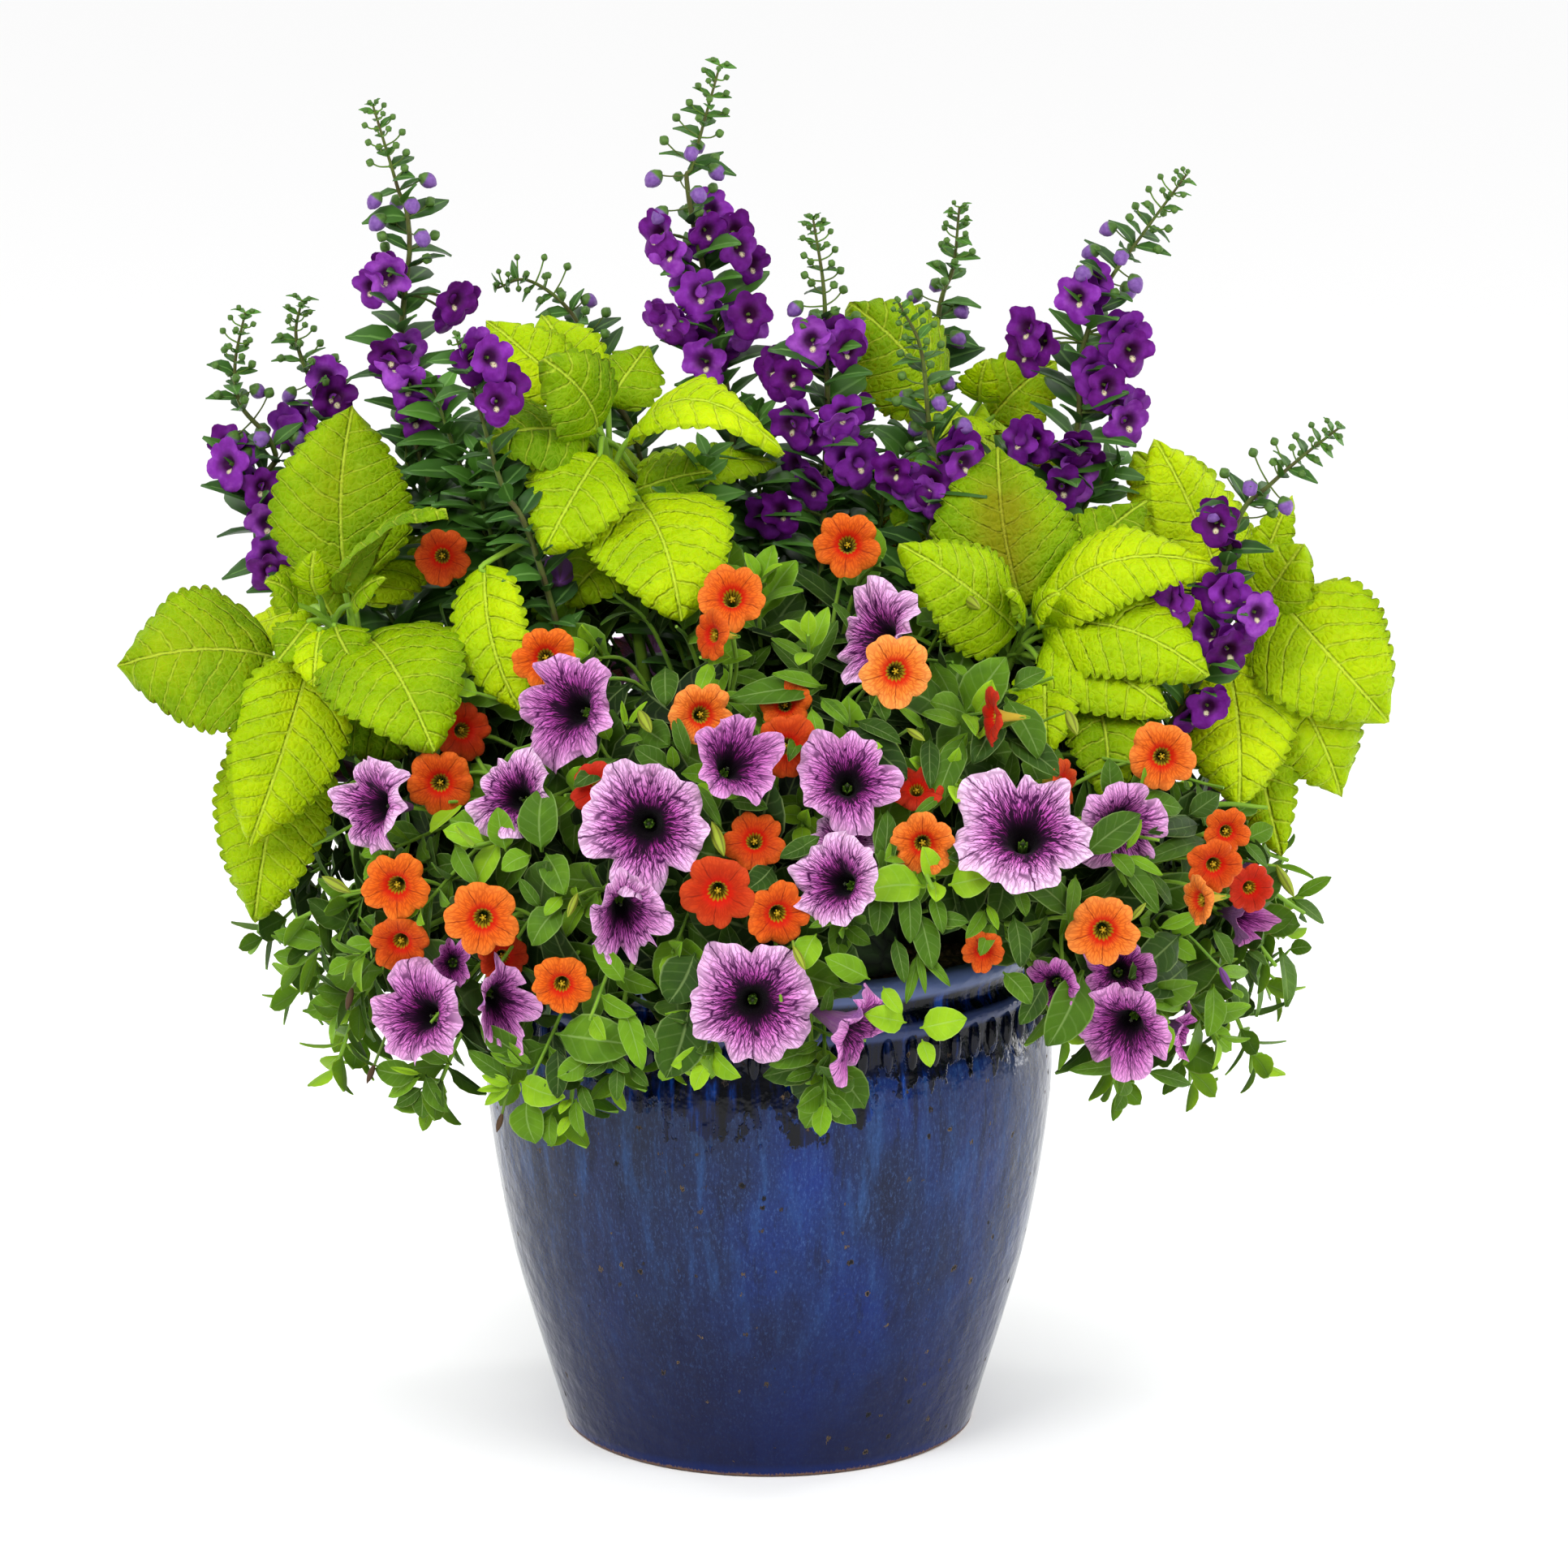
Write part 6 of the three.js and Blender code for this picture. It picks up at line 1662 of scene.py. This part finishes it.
# %% Angelonia stems with flowers
angelonia_stems = Stems()
florets, buds, spike_leaves = Places(), Places(), Places()
for i, (foot, depth, stem, flowers) in enumerate(SPIKES):
    rng = np.random.default_rng(SEED["spikes"] + i)
    line = angelonia_stems.add(
        stem_corners(foot, depth, stem), [1.9, 1.7, 1.5, 1.2, 0.9, 0.6], steps=8, tint=0.1)
    for across, up in flowers:
        middle = at(across, up, depth - FLORET_AHEAD)
        near = line[np.argmin(np.linalg.norm(line - middle, axis=1))]
        for extra in range(3):
            spot = middle + (rng.uniform(-1, 1, 3) * [9, 8, 11] + [0, 8, 0] if extra else 0)
            lean = np.array([rng.uniform(-0.5, 0.5), -1.3, rng.uniform(-0.2, 0.3)])
            face = unit(unit(spot - near) + lean)
            size = FLORET * rng.uniform(0.86, 1.04)
            tilt = turned_about(UP, face, rng.uniform(-25, 25))
            florets.add(spot, face, tilt, size, form=rng.integers(0, 4), tint=rng.uniform(0, 1))
            neck = spot - face * 5
            angelonia_stems.add([near, (near + neck) / 2 + UP * 2, neck + face * 2], [0.7, 0.6, 0.8],
                                steps=3, tint=0.2)
    # buds stand above the highest flower, or on the top of a stem that doesn't bloom yet
    far, back = line_from_tip(line)
    beside = [far[np.argmin(np.linalg.norm(back - at(*place, depth), axis=1))] for place in flowers]
    highest = min(far[-1], *beside) if flowers else BUDDING_TOP
    distance, k = 0.0, 0
    while distance < highest - 2:
        point, along = spot_on(line, distance)
        age = min(distance / 60, 1.0)
        for out in map(unit, leaf_pair(along, k, 0.3, rng)):
            stalk = 3 + 11 * age**0.7 * rng.uniform(0.7, 1.2)
            ripe = age > 0.7 and rng.uniform() < 0.5
            tip = point + out * stalk + UP * (stalk * (0.45 - 0.35 * ripe))
            width = 2.8 + 3.0 * age + 2.8 * ripe
            way = unit(out + UP * (0.6 - 1.5 * ripe))
            angelonia_stems.add([point, (point + tip) / 2 - UP * 0.6 + out, tip], [0.5, 0.4, 0.45],
                                steps=3, tint=0.15 + 0.3 * (1 - age))
            buds.add(tip - way * width * 0.3, way, side_of(way), width, form=int(not ripe),
                     tint=float(ripe))
            leaf_way = unit(out + along * 0.45 + UP * rng.uniform(-0.3, 0.3))
            if rng.uniform() < 0.65:
                spike_leaves.add(point, leaf_way, leaf_upper(leaf_way, along, rng),
                                 8 + 15 * age**1.3 * rng.uniform(0.6, 1.2), form=rng.integers(0, 2),
                                 tint=rng.uniform(0.1, 0.5) + 0.4 * (1 - age))
        distance += 3.5 + 4.5 * age
        k += 1
    smallest, largest = (13, 22) if depth < -50 else (20, 34)  # the stems in front are the youngest
    while distance < far[-1] * 0.85:
        point, along = spot_on(line, distance)
        for out in map(unit, leaf_pair(along, k, 0.4, rng)):
            leaf_way = unit(out + along * 0.7 + UP * rng.uniform(-0.3, 0.2))
            spike_leaves.add(point, leaf_way, leaf_upper(leaf_way, along, rng),
                             rng.uniform(smallest, largest), form=rng.integers(0, 2),
                             tint=rng.uniform(0.1, 0.6))
        distance += 8
        k += 1
print(len(florets.rows), "flowers,", len(buds.rows), "buds")

# %% [markdown]
# Stems without flowers stand between the others and fill the gaps with dark leaves.

# %% Angelonia stems without flowers
for i, (foot, depth, stem) in enumerate(LEAFY_STEMS):
    rng = np.random.default_rng(SEED["leafy stems"] + i)
    line = angelonia_stems.add(stem_corners(foot, depth, stem), [1.6, 1.3, 0.8], steps=8, tint=0.2)
    distance, k = 1.0, 0
    while distance < 0.5 * line_from_tip(line)[0][-1]:
        point, along = spot_on(line, distance)
        age = min(distance / 40, 1.0)
        for out in map(unit, leaf_pair(along, k, 0.4, rng)):
            leaf_way = unit(out + along * (1.1 - 0.5 * age))
            spike_leaves.add(point, leaf_way, leaf_upper(leaf_way, along, rng),
                             14 + 20 * age * rng.uniform(0.8, 1.1), form=rng.integers(0, 2),
                             tint=rng.uniform(0.35, 0.8) + 0.2 * (1 - age))
        distance += 5 + 3 * age
        k += 1
print(len(spike_leaves.rows), "leaves on all the stems")

# %% Set out the angelonia
florets.grow("angelonia_flowers", FLORET_FORMS, angelonia_flower_finish(), "angelonia_flower",
             *nodes_called("angelonia_spike"))
buds.grow("angelonia_buds", BUD_FORMS, bud_finish(), "angelonia_flower")
spike_leaves.grow("angelonia_leaves", SPIKE_LEAF_FORMS, dark_leaf_finish(), "angelonia_flower")
angelonia_stems.grow("angelonia_stems", stem_material, "angelonia_flower", sides=5)

# %% [markdown]
# ## What the leaves must not hide
# The trailing leaves fill every gap between the blooms, but a plant turns its blooms outwards,
# clear of its leaves. So before a leaf is set out it is tested. A coarse map of what is seen from
# the front holds how near the nearest bloom or coleus leaf is in each small square; a leaf that
# would lie before it is left out. For blooms on the other sides, a leaf may not stand in the short
# open space before the bloom's face.

# %% Cover map
CELL = 3.0
COVER_LEFT, COVER_LOW = -360.0, 120.0
cover = np.full((240, 200), np.inf)


def cells_of(points):
    """The squares of the cover map that points are seen in, and how far off they are."""
    across, up, far = seen(points)
    i = np.clip(((across - COVER_LEFT) / CELL).astype(int), 0, cover.shape[0] - 1)
    j = np.clip(((up - COVER_LOW) / CELL).astype(int), 0, cover.shape[1] - 1)
    return i, j, far


def protect(points):
    """Keeps the leaves set out later from before these points."""
    i, j, far = cells_of(points)
    np.minimum.at(cover, (i, j), far)


disc_r, disc_a = np.meshgrid(np.linspace(0.05, 0.86, 12), np.linspace(0, tau, 40))
for middle, face, radius in CLEAR_OF:
    across, high = frame_of(face)
    protect(middle + (disc_r * radius * np.cos(disc_a)).ravel()[:, None] * across
            + (disc_r * radius * np.sin(disc_a)).ravel()[:, None] * high)
for points in coleus_points:
    protect(points)

OPEN_FRONT = [(58, 98, 165, 243), (98, 128, 165, 222)]  # where the rim of the pot shows
bloom_middle = np.array([middle for middle, *_ in CLEAR_OF])
bloom_face = np.array([face for _, face, _ in CLEAR_OF])
bloom_radius = np.array([radius for *_, radius in CLEAR_OF])


def in_open_front(points):
    """True if any point stands where the rim of the pot is open to view."""
    across, up, _ = seen(points)
    before = points[:, 1] < 60
    return any((before & (across > left) & (across < right) & (up > low) & (up < high)).any()
               for left, right, low, high in OPEN_FRONT)


def hides_something(base, grows, upper, length, half):
    """True if a leaf would stand before a bloom, a coleus leaf or the open part of the rim."""
    across = np.cross(grows, upper)
    places = [(0.35, 0), (0.6, 0.8), (0.6, -0.8), (0.8, 0), (1.0, 0)]
    points = np.array([base + grows * length * s + across * half * c for s, c in places])
    i, j, far = cells_of(points)
    nearest = cover[i, j]
    if (np.isfinite(nearest) & (far < nearest - 1)).any():
        return True
    away = points[:, None] - bloom_middle
    before = (away * bloom_face).sum(-1)
    beside = np.linalg.norm(away - before[..., None] * bloom_face, axis=-1)
    ahead = (before > -2) & (before < 55) & (beside < 0.85 * bloom_radius)
    in_throat = (before > -bloom_radius) & (before <= -2) & (beside < 0.45 * bloom_radius)
    return bool(in_open_front(points) or (ahead | in_throat).any())


print("cells covered:", int(np.isfinite(cover).sum()))

# %% [markdown]
# ## Trailing foliage
# Petunia and calibrachoa grow as long soft shoots from the pot, up and outwards, and over the rim.
# Each shoot here is a bent line from inside the mound; leaves stand on it in pairs, each pair
# turned a quarter from the last, smaller and brighter towards the tip, which ends in a little
# rosette. The shoots are spread over the mound by the golden angle, so no two lie over each other.
# Broad leaves belong to the petunias, narrow ones to the calibrachoa.

# %% Leaf shapes
BROAD, NARROW, YOUNG = (0, 1, 2), (3, 4), (5, 6)
LEAF_HALF = (0.32, 0.29, 0.35, 0.20, 0.23, 0.31, 0.28)
# curl, fold and bend to one side
LEAF_BENDS = [(0.16, 0.22, 0.0), (0.28, 0.30, 0.05), (0.05, 0.35, -0.05), (0.14, 0.25, 0.0),
              (0.24, 0.35, 0.04), (-0.08, 0.5, 0.0), (0.1, 0.6, 0.05)]
LEAF_FORMS = [blade_heap(half, curl, fold, bend=bend, outline=outline)
              for outline in (LEAF_OUTLINE, PLAIN_OUTLINE)
              for half, (curl, fold, bend) in zip(LEAF_HALF, LEAF_BENDS)]
PLAIN = len(LEAF_HALF)  # the leaves that fill the mound take the plainer forms, with fewer faces

foliage = {"front": Places(), "back": Places()}
foliage_stems = Stems()
left_out = []


def set_leaf(base, grows, upper, length, form, tint):
    """Sets out one leaf if it hides nothing."""
    grows = unit(grows)
    upper = unit(upper - grows * (np.dot(upper, grows)))
    if hides_something(base, grows, upper, length, LEAF_HALF[form] * length):
        left_out.append(base)
        return
    side = "front" if base[1] < 20 else "back"
    foliage[side].add(base, grows, upper, length, form=form + PLAIN, tint=float(np.clip(tint, 0, 1)))


def leafy_shoot(corners, rng, broad, first, spacing, largest, young, stem=1.4):
    """A shoot along corners, with pairs of leaves from its share first to a rosette at its tip."""
    if in_open_front(smooth_line(corners, 6)[4:]):
        return
    line = foliage_stems.add(corners, [stem, stem * 0.85, stem * 0.6], steps=6, tint=0.45 + 0.3 * young)
    far, back = line_from_tip(line)
    reach = far[-1] * (1 - first)
    kinds = BROAD if broad else NARROW
    distance, k = 2.0, rng.integers(0, 4)
    while distance < reach:
        point, along = spot_on(line, distance)
        age = min(distance / 50, 1.0)
        length = (13 + (largest - 13) * age**0.7) * rng.uniform(0.85, 1.12)
        spread = radians(40 + 34 * age)
        for out in leaf_pair(along, k, 0.35, rng):
            grows = along * cos(spread) + out * sin(spread) + UP * 0.12
            upper = along * sin(spread) - out * cos(spread) * 0.5 + UP * 0.5
            form = rng.choice(YOUNG if distance < 9 else kinds)
            set_leaf(point, grows, upper, length, form, young - 0.5 * age + rng.uniform(-0.15, 0.12))
        distance += (6 + (spacing - 6) * age) * rng.uniform(0.85, 1.15)
        k += 1

# %% [markdown]
# ## Single leaves at the front
# The leaves that are seen whole between the blooms are set one by one, since their places and
# sizes make up the look of the front. They are laid out on five sheets that hang before the plant.
# Each sheet has a left and a top edge in mm and a step; a row gives the base and the tip of a leaf
# in steps from those edges, its half width in steps, and its tint, from dark old green to light young
# green. Each leaf is then stood on the mound at that place, its tip further out than its base.

# %% Single leaves at the front
# left edge, top edge and step of a sheet; then base, tip, half width and tint of each leaf
LEFT_LOW = (-203, 246, 2 / 15), [
    (730, 400, 1000, 440, 88, .55), (980, 290, 1050, 535, 45, .7), (990, 215, 880, 88, 38, .65),
    (1250, 100, 1150, 285, 90, .25), (1230, 290, 1140, 565, 95, .3), (1330, 450, 1262, 465, 22, .4),
    (935, 500, 838, 555, 25, .4), (965, 520, 955, 640, 30, .4), (1010, 530, 1070, 590, 25, .35),
    (1060, 360, 1100, 455, 25, .5), (940, 490, 1000, 540, 25, .45), (650, 500, 455, 375, 50, .45),
    (570, 570, 415, 480, 35, .5), (650, 520, 565, 450, 15, .7), (620, 520, 497, 475, 18, .7),
    (610, 520, 558, 495, 15, .75), (600, 575, 750, 635, 55, .85), (570, 590, 465, 560, 22, .9),
    (560, 600, 450, 610, 15, .9), (570, 590, 475, 665, 22, .9), (630, 640, 640, 805, 68, .6),
    (860, 490, 740, 560, 45, .65), (740, 450, 735, 640, 45, .2), (810, 640, 820, 790, 28, .65),
    (830, 590, 860, 690, 25, .4), (790, 640, 750, 700, 20, .9), (720, 690, 705, 820, 35, .6),
    (790, 700, 745, 780, 20, .9), (350, 520, 190, 395, 40, .55), (225, 550, 62, 530, 50, .55),
    (230, 560, 100, 635, 28, .75), (250, 550, 300, 680, 38, .5), (240, 600, 140, 665, 30, .4),
    (250, 610, 230, 712, 50, .4), (240, 550, 125, 525, 12, .9), (310, 570, 300, 660, 20, .35)]
RIGHT_LOW = (-3, 302, 2 / 15), [
    (605, 275, 372, 290, 70, .85), (685, 270, 855, 240, 65, .9), (640, 250, 590, 130, 42, .9),
    (640, 255, 640, 335, 35, .95), (535, 780, 375, 750, 50, .92), (580, 800, 755, 765, 60, .92),
    (590, 840, 620, 945, 32, .9), (200, 450, 150, 570, 50, .8), (400, 620, 250, 540, 48, .75),
    (445, 645, 515, 740, 30, .85), (580, 365, 635, 565, 50, .45), (630, 390, 755, 400, 28, .45),
    (490, 460, 530, 620, 30, .35), (575, 520, 540, 700, 13, .55), (575, 520, 610, 650, 13, .55),
    (575, 520, 695, 640, 13, .55), (825, 360, 760, 460, 28, .6), (855, 410, 825, 510, 30, .55),
    (830, 340, 875, 420, 18, .8), (1150, 385, 962, 200, 60, .4), (1160, 230, 1160, 385, 28, .6),
    (930, 380, 960, 570, 45, .3), (1190, 585, 1065, 865, 85, .45), (890, 590, 995, 705, 45, .5),
    (1050, 620, 970, 780, 45, .3), (1190, 160, 1405, 5, 60, .4), (1345, 145, 1410, 30, 18, .8),
    (1340, 160, 1485, 220, 25, .75), (1290, 150, 1370, 235, 40, .6), (1340, 230, 1475, 360, 35, .5),
    (435, 225, 470, 0, 40, .35), (75, 175, 200, 90, 35, .35), (805, 170, 700, 165, 32, .3),
    (310, 380, 190, 415, 20, .55), (220, 880, 50, 930, 45, .5), (190, 960, 115, 985, 25, .5),
    (210, 850, 130, 890, 20, .5), (200, 980, 240, 915, 20, .35), (225, 770, 250, 670, 22, .4),
    (435, 255, 425, 450, 45, .4), (540, 270, 555, 470, 42, .45), (630, 300, 672, 430, 30, .5)]
RIGHT = (133, 342, 2 / 15), [
    (280, 265, 270, 105, 52, .45), (335, 200, 525, 110, 50, .5), (370, 250, 410, 155, 18, .75),
    (370, 250, 550, 265, 50, .5), (555, 315, 685, 225, 45, .35), (600, 345, 440, 360, 40, .2),
    (630, 405, 472, 440, 28, .4), (720, 310, 860, 215, 38, .5), (770, 400, 880, 350, 40, .6),
    (760, 410, 860, 480, 35, .5), (870, 495, 1020, 535, 15, .7), (880, 640, 800, 545, 50, .4),
    (950, 615, 1085, 545, 28, .6), (940, 620, 1070, 680, 45, .45), (900, 800, 935, 1020, 60, .5),
    (925, 810, 1010, 800, 32, .5), (650, 935, 640, 1130, 55, .6), (730, 920, 780, 1040, 50, .4),
    (650, 890, 830, 880, 25, .7), (690, 950, 755, 980, 32, .75), (560, 860, 410, 970, 60, .2),
    (530, 750, 380, 900, 70, .25), (500, 650, 440, 530, 30, .35), (290, 460, 455, 660, 45, .45),
    (360, 730, 425, 750, 28, .6), (445, 730, 600, 670, 25, .75), (325, 1235, 158, 1255, 28, .55),
    (330, 1265, 320, 1335, 42, .55), (320, 1325, 290, 1400, 30, .5), (405, 1260, 590, 1310, 28, .5),
    (650, 735, 720, 860, 40, .45), (555, 1000, 400, 990, 22, .6), (770, 810, 845, 860, 25, .4)]
LEFT_HIGH = (-155, 374, 2 / 15), [
    (190, 690, 150, 530, 52, .65), (320, 690, 325, 445, 78, .5), (285, 700, 180, 735, 45, .7),
    (335, 690, 400, 835, 55, .55), (400, 850, 335, 910, 28, .8), (400, 890, 280, 1010, 62, .55),
    (320, 900, 240, 795, 25, .45), (610, 340, 445, 420, 45, .3), (575, 280, 535, 195, 28, .75),
    (610, 290, 685, 265, 22, .6), (640, 235, 620, 130, 12, .85), (640, 235, 705, 130, 12, .85),
    (800, 380, 670, 300, 45, .4), (810, 385, 800, 315, 24, .65), (870, 350, 815, 180, 28, .45),
    (890, 430, 975, 565, 18, .5), (1020, 500, 1150, 520, 35, .35), (1180, 740, 1090, 820, 50, .25),
    (1340, 640, 1212, 700, 35, .3), (1300, 200, 1240, 335, 32, .45), (1320, 150, 1355, 290, 30, .7),
    (1380, 70, 1028, 85, 60, .45), (1370, 75, 1185, 20, 30, .65), (1355, 115, 1450, 185, 35, .6),
    (0, 660, 50, 780, 35, .6), (780, 0, 775, 110, 50, .35)]
MIDDLE_HIGH = (21, 374, 0.8 / 7.5), [
    (710, 320, 610, 580, 62, .45), (880, 200, 780, 400, 70, .25), (900, 140, 1060, 400, 85, .5),
    (900, 330, 1150, 490, 80, .3), (930, 100, 1080, 20, 50, .45), (700, 270, 545, 200, 40, .6),
    (530, 290, 415, 190, 28, .65), (700, 215, 765, 305, 32, .8), (200, 250, 410, 340, 45, .3),
    (150, 270, 440, 480, 95, .15), (550, 330, 570, 500, 45, .25), (40, 140, 165, 240, 32, .5),
    (0, 190, 45, 365, 32, .65), (320, 660, 360, 950, 50, .5), (600, 600, 500, 665, 25, .5),
    (645, 890, 780, 890, 32, .35)]
single_rng = np.random.default_rng(SEED["single leaves"])
for (left, top, step), rows in (LEFT_LOW, RIGHT_LOW, RIGHT, LEFT_HIGH, MIDDLE_HIGH):
    for x0, y0, x1, y1, wide, tint in rows:
        base = on_mound(left + step * x0, top - step * y0, 2)
        tip = on_mound(left + step * x1, top - step * y1, 10 + single_rng.uniform(0, 5))
        length, half = np.linalg.norm(tip - base), step * wide
        form = single_rng.choice(YOUNG if tint > 0.8 else BROAD)
        grows = unit(tip - base)
        upper = unit(base - MOUND_CENTRE) + UP * 0.5 + TOWARDS_FRONT * 0.5
        upper = unit(upper - grows * (upper @ grows))
        narrow = np.clip(half / LEAF_HALF[form], 0.35 * length, 1.5 * length)
        foliage["front"].add(base, grows, upper, (narrow, length, length), form=form, tint=tint)
        across = np.cross(grows, upper) * narrow * LEAF_HALF[form]
        protect(np.array([base + grows * length * s + across * c
                          for s in (0.2, 0.35, 0.5, 0.65, 0.8) for c in (-0.7, -0.3, 0.3, 0.7)]))
print(len(foliage["front"].rows), "single leaves")

# %% Shoots over the mound
SHOOTS = 165
for i in range(SHOOTS):
    rng = np.random.default_rng(SEED["shoots"] + i)
    rise = asin(-0.12 + 1.1 * (i + 0.5) / SHOOTS)
    out = outwards(i * GOLDEN, rise)
    low = max(0.0, 0.45 - sin(rise))
    size = rng.uniform(0.93, 1.07)
    start = MOUND_CENTRE + out * CORE_RADII * 0.55 + UP * 12
    end = MOUND_CENTRE + out * MOUND_RADII * size - UP * 34 * low
    middle = (start + end) / 2 + UP * (16 + 30 * low) + rng.uniform(-9, 9, 3)
    broad = rng.uniform() < 0.7
    leafy_shoot([start, middle, end], rng, broad, first=0.25, spacing=16 if broad else 11,
                largest=43 if broad else 31, young=rng.uniform(0.55, 1.0))

# %% Dark leaves deep inside
DEEP = 260
for i in range(DEEP):
    rng = np.random.default_rng(SEED["deep leaves"] + i)
    rise = asin(-0.1 + 1.08 * (i + 0.5) / DEEP)
    out = outwards(i * GOLDEN, rise)
    base = MOUND_CENTRE + out * CORE_RADII * rng.uniform(0.66, 0.94) + UP * 8
    grows = unit(out + rng.normal(0, 0.8, 3))
    # painted shade: a low tint, from 0.05 to 0.4, makes these deep leaves dark like the shade inside
    # the plant
    set_leaf(base, grows, out + UP * 0.4, rng.uniform(34, 48), rng.choice(BROAD),
             rng.uniform(0.05, 0.4))

# %% [markdown]
# The shoots that hang over the rim at the front are placed one by one, since each is seen on its own
# against the pot or the floor: where it leaves the mound, where it ends, and how far forward.

# %% Shoots over the rim
TRAILS = [
    ((-200, 265), (-234, 248), -70), ((-195, 248), (-232, 226), -60), ((-185, 225), (-206, 202), -90),
    ((-145, 200), (-167, 156), -130), ((-105, 195), (-99, 144), -160), ((-125, 200), (-124, 168), -150),
    ((-80, 205), (-76, 166), -172), ((-50, 205), (-48, 176), -182), ((20, 205), (22, 172), -185),
    ((50, 225), (72, 196), -178), ((75, 290), (81, 264), -196), ((108, 240), (128, 208), -160),
    ((140, 235), (147, 190), -150), ((165, 220), (173, 162), -120), ((190, 200), (211, 168), -95),
    ((205, 240), (217, 208), -85), ((235, 262), (250, 226), -55), ((240, 265), (264, 252), -20),
    ((225, 300), (246, 304), -60), ((236, 284), (256, 278), -30), ((232, 262), (254, 240), -40),
]
for i, (origin, tip, depth) in enumerate(TRAILS):
    rng = np.random.default_rng(SEED["rim shoots"] + i)
    start = on_core(on_mound(*origin, 0))
    end = at(*tip, depth)
    inner = start + (MOUND_CENTRE - start) * 0.06
    bend = start + (end - start) * 0.45 + np.array([0, -4, 8])
    leafy_shoot([inner, bend, end], rng, i % 4 != 1, first=0.25, spacing=13, largest=34,
                young=0.85, stem=1.7)
BACK_TRAILS = 26
for i in range(BACK_TRAILS):
    rng = np.random.default_rng(SEED["back shoots"] + i)
    turn = radians(-20 + 220 * (i + 0.5) / BACK_TRAILS)
    out = np.array([cos(turn), sin(turn), 0])
    start = MOUND_CENTRE + out * CORE_RADII * 0.85 + UP * 6
    end = MOUND_CENTRE + out * MOUND_RADII * rng.uniform(0.84, 0.99) - UP * rng.uniform(20, 75)
    bend = start + (end - start) * 0.55 + UP * 20
    leafy_shoot([start, bend, end], rng, i % 2 == 0, first=0.2, spacing=12, largest=32,
                young=0.9, stem=1.7)
print(sum(len(p.rows) for p in foliage.values()), "leaves set out,", len(left_out), "left out")

# %% [markdown]
# Between the leaves it is dark: old stems and shaded leaves close the inside of the plants. A dark,
# lumpy body stands for them, well below the leaves. A finer bump breaks it up, so it reads as
# depth and not as a surface.

# %% Shaded inside


def shade_finish():
    material, n = new_material("shaded_inside_of_plants", Roughness=0.9)
    mm = place_in_mm(n)
    cells = n("TexVoronoi", {"Vector": mm, "Scale": 0.06}, feature="DISTANCE_TO_EDGE")
    # painted shade: the inside body is coloured dark green for the shade deep between the leaves
    inside_shade_colour = n("Mix", {0: n("MapRange", [cells, 0, 0.4]), 6: "#0A1406", 7: "#2A4416"})
    bump = n("Bump", {"Height": cells, "Strength": 1, "Distance": 6 * MM})
    return paint(material, {"Base Color": inside_shade_colour, "Normal": bump})


INSIDE_STEPS = 96
INSIDE_SHARE = 0.74  # of the core
INSIDE_LOW = 256.0
rises = np.radians(np.linspace(-20, 88, 34))
turns_round = all_round(INSIDE_STEPS)
inside_rings = turned([(cos(a), sin(a)) for a in rises], INSIDE_STEPS)
lumps = (1 + 0.05 * np.sin(9 * turns_round)[None] * np.cos(7 * rises)[:, None]
         + 0.04 * np.sin(17 * turns_round + 2)[None] * np.cos(13 * rises)[:, None])
# a hollow behind the open part of the rim
hollow = 1 - 0.42 * np.exp(-((turns_round - radians(314)) / 0.36) ** 2)[None] * np.clip(
    1.4 - 1.6 * np.sin(rises), 0, 1)[:, None]
inside_rings = MOUND_CENTRE + inside_rings * (lumps * hollow)[..., None] * (CORE_RADII * INSIDE_SHARE)
inside_rings[..., 2] = np.maximum(inside_rings[..., 2], INSIDE_LOW)
inside = Heap()
inside.add(skin(inside_rings))
inside_mesh = inside.mesh("foliage_inside")
stand("foliage_inside", inside_mesh, shade_finish(), "trailing_leaf")

# %% Set out the foliage
foliage["front"].grow("foliage_front", LEAF_FORMS, leaf_material, "trailing_leaf",
                      *nodes_called("trailing_foliage"))
foliage["back"].grow("foliage_back", LEAF_FORMS, leaf_material, "trailing_leaf")
foliage_stems.grow("foliage_stems", stem_material, "trailing_leaf", sides=5)
